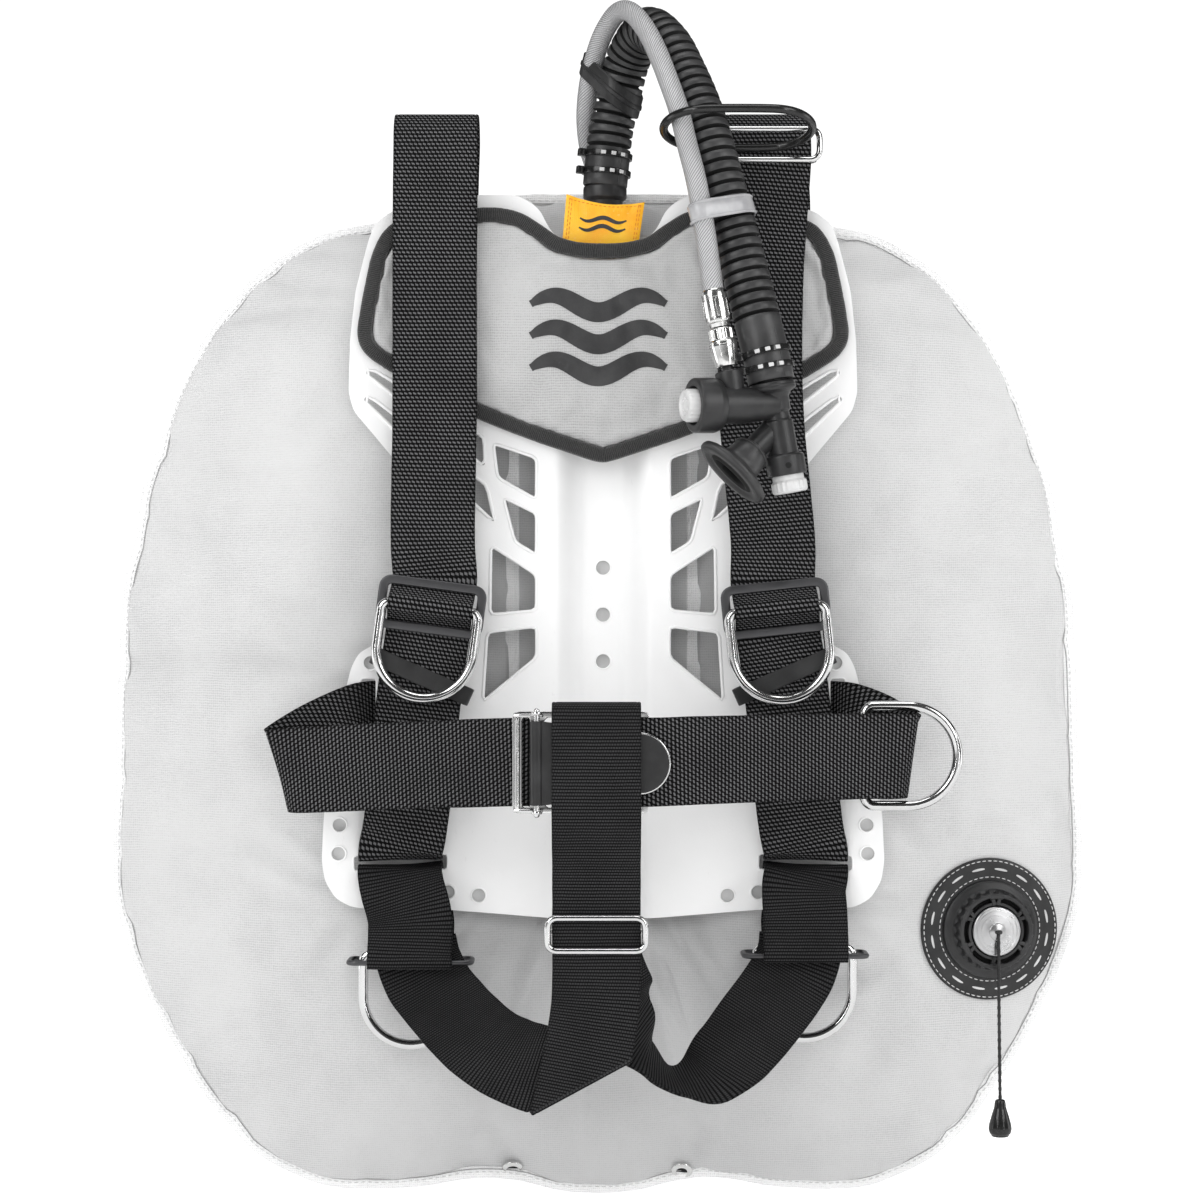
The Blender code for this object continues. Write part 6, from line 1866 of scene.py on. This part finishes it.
nearest = min(range(241), key=lambda k: (hose_line[k] - Vector((66.0, -57.5, 198.0))).length)
PIVOT = hose_run[nearest]  # distance along the hose


def hose_at(distance):
    return along(hose_line, hose_run, hose_ways, distance)


def blend_hose(obj):
    """Bakes a hose's placement into its mesh."""
    tuple(metres((40, -28, 250)))
    tuple(metres((40, -65, 250)))
    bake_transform(obj)


CUFF_START, CUFF_END = 23.0, WHOLE - 33.0  # the ribs lie between the plain cuffs
# distance along the hose, radius, material of the strip that follows
stations = [(0.0, HOSE_R - 0.6, 0)] + [(at, HOSE_R, 0) for at in (0.8, 4.0, 13.5, 22.4)]
rib_count = int((CUFF_END - CUFF_START) / 6.55)
pitch = (CUFF_END - CUFF_START) / rib_count
# the groove strips take the near-black painted shade; the lands keep the rubber
for k in range(rib_count):
    stations += [(CUFF_START + k * pitch + at, HOSE_R + rise, mat) for at, rise, mat in (
        (0.10, -0.2, 1), (0.40, -2.2, 1), (1.25, -2.9, 1), (2.10, -2.2, 1), (2.40, -0.2, 0),
        (2.80, 0.10, 0), (pitch * 0.68, 0.15, 0), (pitch - 0.35, 0.08, 0))]
stations += [(at, HOSE_R, 0) for at in (
    CUFF_END + 0.1, CUFF_END + 5, WHOLE - 12, WHOLE - 4.0, WHOLE - 0.6)]
stations += [(WHOLE, HOSE_R - 0.6, 0)]
HOSE_SIDES = 40
centres = [hose_at(at)[0] for at, _, _ in stations]
hose_frames = carried_frames(centres, hint=LEFT)
verts = [point + (x * math.cos(turn) + y * math.sin(turn)) * radius
         for point, (_, radius, _), (x, y) in zip(centres, stations, hose_frames)
         for turn in turns(HOSE_SIDES)]
uvs = strip_uvs([k / HOSE_SIDES * 0.085 for k in range(HOSE_SIDES + 1)],
                [at * MM for at, _, _ in stations])
mats = [mat for _, _, mat in stations[:-1] for _ in range(HOSE_SIDES)]
hose = Part()
hose.add(verts, strips(len(stations), HOSE_SIDES) + end_caps(len(stations), HOSE_SIDES),
         uvs + [[(0, 0)] * HOSE_SIDES] * 2, mats + [1, 1])
# mould parting lines down both sides of the cuffs
for turn in (2.2, 2.2 + math.pi):
    for low, high in ((0.5, CUFF_START + 0.5), (CUFF_END + 0.2, WHOLE - 0.5)):
        line = [point + (x * math.cos(turn) + y * math.sin(turn)) * (radius + 0.05)
                for point, (at, radius, _), (x, y) in zip(centres, stations, hose_frames)
                if low < at < high]
        tube(hose, line, 0.28, 6)
blend_hose(hose.finish("corrugated_hose", [RUBBER_RIB, SHADE_BLACK], "rubber_black",
                       "corrugated_hose_upper", "corrugated_hose_lower", ride=False, angle=50))

# elbow between the cell and the hose
elbow = Part()
tube(elbow, spline([(1.3, 38.0, 174.0), (1.3, 33.0, 174.4), (1.3, 27.0, 177.0),
                    (1.25, 23.0, 183.0), (1.2, 22.0, 190.0), (1.2, 22.0, 199.6)], 40), 10.8, 36)
lathe(elbow, [(0, 8.0), (11.0, 8.0), (12.0, 4.6), (18.0, 3.0), (18.0, 1.4), (16.5, 0.5),
              (0, 0.5)], (ELBOW_X, 36.5, ELBOW_Z), FRONT, 56, 0.6)
lathe(elbow, [(0, 3.0), (12.9, 3.0), (13.2, 1.0), (13.2, -4.0), (11.0, -6.0), (0, -6.0)],
      (1.2, 22.0, 196.0), UP, 48, 0.5)
elbow.finish("hose_elbow_moulded", [PLASTIC], "plastic_black", "hose_elbow")


def cable_tie(name, distance, body):
    centre, way = hose_at(distance)
    inner, outer, width = HOSE_R + 0.15, HOSE_R + 1.5, 3.6
    half = width / 2
    part = Part()
    lathe(part, [(inner, half), (outer, half), (outer, -half), (inner, -half)],
          centre, way, 64, 0.3)
    # the square lock head and the tail through it
    out = square_to((-1, -0.25, 0), way)
    side = way.cross(out)
    box_bar(part, centre + out * (inner - 0.2), centre + out * (outer + 3.4),
            5.4, width + 1.0, side, 0.6)
    tail = centre + out * (outer + 1.2)
    box_bar(part, tail - side * 2.0, tail + side * 5.8, 1.2, width - 0.6, out, 0.3)
    # three small raised pale spots on the front: painted glints
    front = square_to((0.15, -1, 0), way)
    for k in (-1, 0, 1):
        turn = 0.42 * k + 0.1
        ray = (front * math.cos(turn) + way.cross(front) * math.sin(turn)).normalized()
        around, glint_spot = way.cross(ray), centre + ray * (outer - 0.3)
        box_bar(part, glint_spot - around * 1.5, glint_spot + around * 1.5, 1.1, width * 0.62, ray, 0.3, 1)
    part.finish(name + "_strap", [GLOSS, PALE], "plastic_black", name, body=body)


cable_tie("cable_tie_base_lower", 8.5, "harness")
cable_tie("cable_tie_base_upper", 19.0, "harness")
cable_tie("cable_tie_end_upper", WHOLE - 16.5, "inflator")
cable_tie("cable_tie_end_lower", WHOLE - 8.0, "inflator")

lp_line = spline(LP, 161)
lp_end = lp_line[-1]
lp_hose = Part()
sweep(lp_hose, resample(lp_line, 420), ellipse(LP_R, LP_R, 28), hint=(0.25, 1, 0.1))
lathe(lp_hose, [(0, -9.0), (6.9, -9.0), (6.9, -2.0), (6.6, 0.4), (5.2, 2.0), (0, 2.0)],
      lp_line[0], lp_line[2] - lp_line[0], 36, 0.5, mat=1)
blend_hose(lp_hose.finish("lp_hose_braided", [BRAID, NICKEL], "braid_grey",
                          "lp_hose_upper", "lp_hose_lower", ride=False))


def plane_hit(line, point, axis):
    """Where a line crosses the plane through a point, nearest to that point."""
    hits = []
    for here, there in zip(line, line[1:]):
        before, after = (here - point).dot(axis), (there - point).dot(axis)
        if before * after <= 0 and abs(before - after) > 1e-9:
            hits.append(here.lerp(there, before / (before - after)))
    return min(hits, key=lambda hit: (hit - point).length)


def two_hose_band(part, distance, height, wall, gap, tilt=0.0):
    """A band drawn tight round both hoses, square to the large one unless tilted."""
    centre, axis = hose_at(distance)
    across = plane_hit(lp_line, centre, axis) - centre
    across -= axis * across.dot(axis)
    apart = across.length
    across.normalize()
    side = axis.cross(across)
    touch = math.acos(clamp((HOSE_R - LP_R) / apart, -1.0, 1.0))

    def outline(extra):
        large, small = HOSE_R + extra, LP_R + extra
        pts = []
        for k in range(31):
            turn = touch + (2 * math.pi - 2 * touch) * k / 30
            pts.append((math.cos(turn) * large, math.sin(turn) * large))
        for k in range(15):
            turn = -touch + 2 * touch * k / 14
            pts.append((apart + math.cos(turn) * small, math.sin(turn) * small))
        return pts

    half = height / 2
    # clearance from the hoses, height along the axis
    rings = [(gap, -half), (gap, half), (gap + wall * 0.5, half + 0.3),
             (gap + wall, half - 0.5), (gap + wall, -half + 0.5), (gap + wall * 0.5, -half - 0.3)]
    verts = [centre + across * x + side * y + axis * (level + tilt * x)
             for extra, level in rings for x, y in outline(extra)]
    uvs = strip_uvs([k * 0.002 for k in range(47)],
                    [level * MM for _, level in rings + rings[:1]])
    part.add(verts, strips(len(rings), 46, wrap=True), uvs)


wrap = Part()
two_hose_band(wrap, 58.0, 13.0, 1.1, 0.4, tilt=0.42)
two_hose_band(wrap, 58.0, 3.0, 1.7, 0.4, tilt=0.42)
wrap.finish("hose_wrap_band", [RUBBER], "rubber_black", "hose_wrap_upper")
clip = Part()
two_hose_band(clip, PIVOT + 26.0, 10.5, 1.2, 0.35)
for sign in (-1, 1):
    two_hose_band(clip, PIVOT + 26.0 + sign * 4.6, 1.3, 1.7, 0.35)
clip.finish("hose_clip_smoky", [CLIP], "plastic_pale", "hose_clip_lower", body="inflator")


# ================================================================ inflator
BAR_TOP = Vector((96.0, -74.0, 77.1))
BAR_END = Vector((108.3, -74.0, 5.4))
bar_axis = (BAR_TOP - BAR_END).normalized()
bar_top = BAR_TOP + bar_axis * 3.4
BUTTON_AXIS = Vector((-0.93, -0.36, -0.03)).normalized()
button_base = BAR_TOP + bar_axis * (59.9 - BAR_TOP.z) / bar_axis.z
NIPPLE = button_base + BUTTON_AXIS * 25.8
coupling_axis = (NIPPLE - lp_end).normalized()
MOUTH_AXIS = Vector((-0.64, -0.38, -0.67)).normalized()
MOUTH_ROOT = Vector((99.2, -71.5, 47.5))

body = Part()
lathe(body, [(0, 0.0), (8.9, 0.0), (8.9, -7.8), (12.8, -8.0), (13.4, -8.7), (13.4, -12.0),
             (12.6, -12.9), (9.6, -14.4), (8.4, -17.0), (8.2, -24.4), (6.9, -25.3),
             (7.3, -29.6), (8.3, -30.4), (8.3, -49.4), (10.6, -50.1), (11.3, -51.0),
             (11.3, -61.4), (10.6, -61.9), (9.6, -61.9), (9.6, -53.2), (0, -53.2)],
      bar_top, bar_axis, 64, 0.5)
lathe(body, [(13.5, -10.0), (13.75, -10.4), (13.5, -10.8), (13.0, -10.4)],
      bar_top, bar_axis, 64, 0.0)
# button tube, nipple and mouth tube
lathe(body, [(0, 35.0), (10.3, 35.0), (10.7, 34.0), (10.5, 18.6), (9.9, 15.0), (9.2, 9.0),
             (8.6, 0.0), (0, 0.0)], button_base, BUTTON_AXIS, 64, 0.9)
lathe(body, [(0, 34.0), (3.0, 34.0), (3.0, 20.0), (7.2, 19.8), (8.0, 19.0), (7.9, 14.0),
             (7.0, 6.0), (8.4, -2.0), (0, -2.0)], NIPPLE, -coupling_axis, 48, 0.5)
lathe(body, [(0, 27.0), (7.5, 27.0), (7.5, 21.0), (7.2, 20.0), (7.2, 4.0), (8.2, -3.0),
             (0, -3.0)], MOUTH_ROOT, MOUTH_AXIS, 48, 0.5)
# a near-black disc for the round hole in the lower collar, on its front: painted shade
lathe(body, [(0, 11.42), (1.75, 11.42), (1.75, 10.0), (0, 10.0)],
      bar_top - bar_axis * 56.4 + Vector((1.2, 0, 0)), (-0.05, -1, 0), 24, 0.1, mat=1)
# web between the bar and the mouth tube
box_bar(body, MOUTH_ROOT + MOUTH_AXIS * 5 + Vector((2, 0, -7)),
        MOUTH_ROOT + MOUTH_AXIS * 19 + Vector((3.0, 1.0, -4.0)), 3.0, 6.0, AWAY, 0.9)
body.finish("inflator_moulded_body", [PLASTIC, SHADE_BLACK], "plastic_black", "inflator_body",
            body="inflator", angle=45)

button_end = button_base + BUTTON_AXIS * 35.0
part = Part()
lathe(part, [(11.2, 16.5), (14.8, 16.5), (15.7, 15.6), (15.8, 4.4), (14.4, 0.6), (10.0, 0.0),
             (10.0, 1.8), (11.2, 1.8)], button_end, BUTTON_AXIS, 72, 0.5)
part.finish("inflate_guard_ring", [PLASTIC], "plastic_black", "inflate_collar", body="inflator")
part = Part()
lathe(part, [(0, 21.2), (5.6, 21.2), (6.2, 22.1), (8.2, 22.0), (9.5, 20.6), (9.5, 6.0),
             (0, 6.0)], button_end, BUTTON_AXIS, 96, 0.5, knurl=(18, 0.7, 7.0, 21.4, 9.0))
x, y, _ = basis(BUTTON_AXIS)
for turn in turns(8):
    lathe(part, [(0, 21.9), (0.8, 21.7), (1.1, 21.0), (0, 21.0)],
          button_end + (x * math.cos(turn) + y * math.sin(turn)) * 4.0, BUTTON_AXIS, 14, 0.2)
part.finish("inflate_button_cap", [PALE], "plastic_pale", "inflate_button",
            body="inflate_button_body")
part = Part()
lathe(part, [(0, -7.6), (9.1, -7.6), (9.1, -14.6), (10.4, -15.6), (10.4, -20.2), (9.4, -21.7),
             (6.5, -21.8), (5.8, -20.9), (0, -20.9)],
      bar_top - bar_axis * 50.2, bar_axis, 96, 0.5, knurl=(20, 0.6, -20.6, -15.0, 9.6))
part.finish("deflate_button_cap", [PALE], "plastic_pale", "deflate_button",
            body="deflate_button_body")

# height along the mouth axis, half length and half width of the oval
MOUTH_PROFILE = [
    (21.5, 10.3, 10.3), (22.0, 10.9, 10.9), (29.0, 11.3, 10.9), (32.0, 11.8, 10.2),
    (34.0, 13.0, 9.6), (36.0, 17.5, 10.8), (37.4, 22.0, 13.0), (38.2, 23.3, 13.8),
    (39.8, 23.7, 14.1), (41.2, 23.4, 13.8), (42.0, 22.2, 12.7), (42.2, 19.0, 10.0),
    (41.6, 17.2, 8.2), (41.2, 15.0, 6.0), (41.9, 13.6, 5.0), (42.0, 12.2, 4.0),
    (41.4, 11.2, 3.3), (35.0, 8.0, 4.5), (28.0, 7.8, 7.8), (21.5, 7.8, 7.8)]
lip_long = square_to((0.67, 0.0, -0.74), MOUTH_AXIS)
lip_short = MOUTH_AXIS.cross(lip_long).normalized()
mouth = Part()
verts = [MOUTH_ROOT + MOUTH_AXIS * height + lip_long * a + lip_short * b
         for height, half_long, half_short in MOUTH_PROFILE
         for a, b in ellipse(half_long, half_short, 64)]
# the lip's inner rings, turning into the opening, take the near-black painted shade
ring_mats = [0] * 10 + [2] * 3 + [1] * 5 + [0] * 2
mouth.add(verts, strips(len(MOUTH_PROFILE), 64, wrap=True),
          mat=[mat for mat in ring_mats for _ in range(64)])
lathe(mouth, [(11.2, 23.6), (11.6, 23.2), (11.2, 22.8), (10.6, 23.2)],
      MOUTH_ROOT, MOUTH_AXIS, 48, 0.0)
# a near-black disc inside the mouth tube: painted shade
lathe(mouth, [(0, 29.0), (7.6, 29.0), (7.6, 28.0), (0, 28.0)],
      MOUTH_ROOT, MOUTH_AXIS, 32, 0.1, mat=1)
mouth.finish("mouthpiece_soft_lip", [RUBBER_RIB, SHADE_BLACK, RUBBER], "rubber_black", "mouthpiece",
             body="inflator", angle=50)

# crimped ferrule on the low-pressure hose, and the coupling's sleeve
part = Part()
lathe(part, [(0, 26.0), (3.1, 26.0), (3.1, 20.4), (5.6, 20.2), (6.0, 17.8), (6.9, 17.6),
             (7.4, 16.4), (7.4, 1.0), (6.9, -1.0), (6.4, -2.0), (0, -2.0)],
      lp_end, coupling_axis, 48, 0.4)
x, y, _ = basis(coupling_axis)
for turn in turns(6):
    out = x * math.cos(turn + 0.26) + y * math.sin(turn + 0.26)
    flat = lp_end + out * 6.7
    box_bar(part, flat + coupling_axis * 4.0, flat + coupling_axis * 14.5, 5.0, 1.2,
            coupling_axis.cross(out), 0.3)
for height in (3.0, 16.0):
    lathe(part, [(7.0, height + 0.5), (7.5, height), (7.0, height - 0.5), (6.6, height)],
          lp_end, coupling_axis, 48, 0.0)
part.finish("lp_ferrule_crimped", [NICKEL], "brass_plated", "lp_ferrule", body="inflator")
part = Part()
lathe(part, [(3.8, 43.2), (6.2, 43.2), (6.9, 40.5), (7.4, 37.0), (8.0, 32.4), (8.2, 31.4),
             (8.2, 28.6), (7.6, 28.0), (7.2, 27.4), (7.3, 21.8), (6.8, 21.0), (3.8, 21.0)],
      lp_end, coupling_axis, 96, 0.35, knurl=(16, 0.7, 21.6, 27.6, 7.0))
for height in (29.2, 30.8):
    lathe(part, [(8.1, height + 0.3), (8.45, height), (8.1, height - 0.3), (7.7, height)],
          lp_end, coupling_axis, 64, 0.0)
part.finish("coupling_sleeve_turned", [NICKEL], "brass_plated", "coupling_sleeve",
            body="coupling_sleeve_body")


# ================================================================ harness hardware
# shoulder sliders: an outer frame of flat bar with a middle bar under the hump
for tag, _, tilt, centre, _, _ in SHOULDERS:
    axes = tilted_axes(tilt)
    outer = [in_fitting(centre, axes, x * 0.915, 3.5, y * 0.83)
             for x, y in rounded(rect(32, 16), 6.5, 8)]
    part = Part()
    sweep(part, outer, rounded(rect(2.7, 1.5), 1.1, 4), True, frames=flat_frames(outer, axes[1]))
    box_bar(part, in_fitting(centre, axes, -28, 3.5, 0), in_fitting(centre, axes, 28, 3.5, 0),
            5.0, 2.6, axes[2], 0.9)
    part.finish("shoulder_slider_%s_frame" % tag, [BRUSHED], "steel_brushed",
                "shoulder_slider_" + tag)

# rubber bands round the shoulder straps below the sliders
for tag, sign in (("right", -1), ("left", 1)):
    turn = math.radians(24.0)
    across = Vector((math.cos(turn), 0.0, math.sin(turn) * sign))
    up = across.cross(AWAY).normalized()
    centre = Vector((sign * 107.2, -25.8, -97.0))
    band = resample([centre + across * x + AWAY * y * 0.85
                     for x, y in rounded(rect(31.2, 3.9), 2.6, 5)], 150, True)
    part = Part()
    sweep(part, band, rounded(rect(5.2, 0.62), 0.5, 3), True,
          scales=[1.0 + 0.04 * noise_at(i * 0.13, 1.0, sign) for i in range(150)],
          frames=[(up, way.cross(up).normalized()) for way in tangents(band, True)])
    part.finish("rubber_keeper_%s_band" % tag, [RUBBER], "rubber_black", "rubber_keeper_" + tag)


def cad_piece(node, mat, bevel):
    """A CAD node whose shape is right: welded, edges rolled, and a finished material."""
    obj = NODES[node]
    obj.data.materials.clear()
    obj.data.materials.append(mat)
    weld = obj.modifiers.new("Weld", "WELD")
    weld.merge_threshold = 0.000005
    roll_edges(obj, bevel, angle=40, harden=False)
    obj.data.polygons.foreach_set("use_smooth", [True] * len(obj.data.polygons))
    even = obj.modifiers.new("Even normals", "WEIGHTED_NORMAL")
    even.keep_sharp = False


cad_piece("buckle_frame", STEEL, bevel=0.5)
cad_piece("buckle_lever", PLASTIC, bevel=0.4)

# wire sliders: a rounded rectangle in front and an open hoop behind it
part = Part()
slider_z = -239.9
frame = [(x, -109.2, z) for x, z in rounded(rect(27.5, 9.3, CROTCH_X, slider_z), 6.0, 8)]
tube(part, frame, 1.9, 18, closed=True)
tube(part, rounded([(CROTCH_X + x, y, slider_z) for x, y in (
    (-27.5, -108.6), (-27.5, -96.3), (27.5, -96.3), (27.5, -108.6))], 4.0, 6, closed=False),
     1.5, 14)
part.finish("crotch_slider_bent_wire", [STEEL], "steel_polished", "crotch_slider",
            body="crotch_slider_body")
part = Part()
frame = [(x, -38.8, z) for x, z in rounded(rect(30.1, 9.0, 96.9, 215.2), 6.5, 8)]
tube(part, frame, 1.75, 18, closed=True)
tube(part, rounded([(x, y, 207.8) for x, y in (
    (69.0, -38.0), (69.0, -22.0), (124.8, -22.0), (124.8, -38.0))], 4.0, 6, closed=False),
     1.45, 14)
part.finish("keeper_slider_bent_wire", [STEEL], "steel_polished", "keeper_slider")

pin = Part()
tube(pin, [(-37.2, -115.2, z) for z in np.linspace(-172.2, -114.2, 30)], 1.7, 20, dome=True)
for z in (-171.0, -115.4):
    lathe(pin, [(1.6, 1.0), (2.9, 0.8), (3.1, 0.0), (2.9, -0.8), (1.6, -1.0)],
          (-37.2, -115.2, z), UP, 24, 0.2)
pin.finish("buckle_pin_headed", [STEEL], "steel_polished", "buckle_pin")

# a slimmer roller bar and the ears of a pressed buckle beside the lever
ears = Part()
for z in (-169.9, -116.6):
    box_bar(ears, (-50.4, -112.2, z), (-33.6, -112.2, z), 5.6, 2.0, AWAY, 0.8)
tube(ears, [(-48.2, -113.4, z) for z in np.linspace(-169.0, -117.6, 24)], 1.5, 16, dome=True)
ears.finish("buckle_ears_and_roller", [STEEL], "steel_polished")

# metal rim round the lever's free end
rim_line = [(-20, -165.6), (0, -163.0)]
for k in range(25):
    turn = -math.pi / 2 + math.pi * k / 24
    rim_line.append((20.4 + 16.7 * math.cos(turn), -143.4 + 16.7 * math.sin(turn)))
rim_line += [(0, -123.8), (-20, -121.2)]
lever_rim = Part()
tube(lever_rim, [(x, -116.2, z) for x, z in rim_line], 0.75, 10, dome=True)
lever_rim.finish("buckle_lever_rim", [STEEL], "steel_polished", body="buckle_lever_body")

# oval ring round the hoses, tilted forward
KEEPER_C = Vector((78.0, -60.0, 221.0))
KEEPER_LONG, KEEPER_SHORT, KEEPER_TILT = 43.0, 26.5, math.radians(16.0)
oval = []
for turn in turns(120):
    x = ((KEEPER_LONG - KEEPER_SHORT) * math.tanh(math.cos(turn) * 6.0)
         + KEEPER_SHORT * math.cos(turn))
    y = KEEPER_SHORT * math.sin(turn)
    oval.append(KEEPER_C + Vector((x, y * math.cos(KEEPER_TILT), -y * math.sin(KEEPER_TILT))))
part = Part()
tube(part, resample(oval, 140, True), 2.5, 20, closed=True)
part.finish("hose_keeper_ring", [GLOSS], "plastic_black", "keeper_ring")


# ================================================================ studio
def ray_strength(graph, camera, base):
    """An emission strength: base, 0.30 less in reflections and more by camera to the camera."""
    seen = graph.node("LightPath", {}, output="Is Camera Ray")
    dimmed = seen.beside("Is Glossy Ray").math("MULTIPLY_ADD", -0.30, base)
    return seen.math("MULTIPLY_ADD", camera, dimmed)


# floor in three strips
floor_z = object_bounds()[0].z - 0.004
bm = bmesh.new()
left, right = ([bm.verts.new((x, y, floor_z)) for y in (-14.0, -3.0, 3.0, 14.0)]
               for x in (-14.0, 14.0))
for k in range(3):
    bm.faces.new((left[k], right[k], right[k + 1], left[k + 1])).smooth = True
mesh = bpy.data.meshes.new("studio_sweep")
bm.to_mesh(mesh)
bm.free()
floor_obj = link("studio_sweep", mesh)
floor = Look("studio_white", grey(0.93), rough=0.9, spec=0.1)
floor.set("Base Color", floor.mix(floor.noise(scale=2.0, detail=2.0), grey(0.92), grey(0.94)))
floor.set("Emission Color", grey(1.0))
floor.set("Emission Strength", ray_strength(floor, camera=0.42, base=0.32))
mesh.materials.append(floor.mat)

world = bpy.data.worlds.new("studio")
bpy.context.scene.world = world
world.use_nodes = True
world_graph = Graph(world.node_tree)
background = world.node_tree.nodes["Background"]
world_graph.put(background.inputs[0], grey(1.0))
world_graph.put(background.inputs[1], ray_strength(world_graph, camera=0.75, base=0.36))

# name, place, aim, (width, height) in metres, watts, the kind of ray it is hidden from
LIGHTS = [
    ("back_fill", (0.0, 2.4, 0.5), (0, 0, -0.1), (1.8, 1.4), 14, "glossy"),
    ("key_left", (-1.5, -1.5, 1.1), (0, 0, -0.05), (1.1, 1.4), 17, None),
    ("key_right", (1.6, -1.3, 0.9), (0, 0, -0.1), (0.9, 1.3), 12, None),
    ("top", (0.0, -0.5, 1.7), (0, 0.05, -0.1), (1.2, 0.8), 9, None),
    ("side_left", (-1.7, 0.1, -0.1), (0, 0.05, -0.1), (0.6, 1.2), 4, None),
    ("side_right", (1.7, 0.1, -0.1), (0, 0.05, -0.1), (0.6, 1.2), 4, None),
    ("front_fill", (0.0, -2.4, 0.35), (0, 0, -0.1), (1.8, 1.4), 18, "glossy"),
    ("strip_left", (-0.95, -1.7, 0.45), (0, -0.05, 0.0), (0.10, 1.3), 3.2, "diffuse"),
    ("strip_right", (1.15, -1.5, 0.25), (0, -0.05, 0.0), (0.10, 1.3), 3.2, "diffuse"),
]
for name, at, aim, size, watts, hidden in LIGHTS:
    light = bpy.data.lights.new(name, "AREA")
    light.energy = watts
    light.shape = "RECTANGLE"
    light.size, light.size_y = size
    light_obj = link(name, light)
    light_obj.location = at
    light_obj.rotation_euler = (Vector(aim) - Vector(at)).to_track_quat("-Z", "Y").to_euler()
    if hidden:
        setattr(light_obj, "visible_" + hidden, False)

camera = bpy.data.cameras.new("camera")
camera.lens = 85.0
camera.sensor_width = 36.0
camera.clip_start, camera.clip_end = 0.05, 30.0
camera_obj = link("camera", camera)
camera_obj.location = (-0.0018, -1.700 + Y_SHIFT * MM, -0.052)
camera_obj.rotation_euler = (math.pi / 2, 0.0, 0.0)
bpy.context.scene.camera = camera_obj
bpy.context.scene.view_settings.view_transform = "Standard"
bpy.context.scene.view_settings.look = "None"
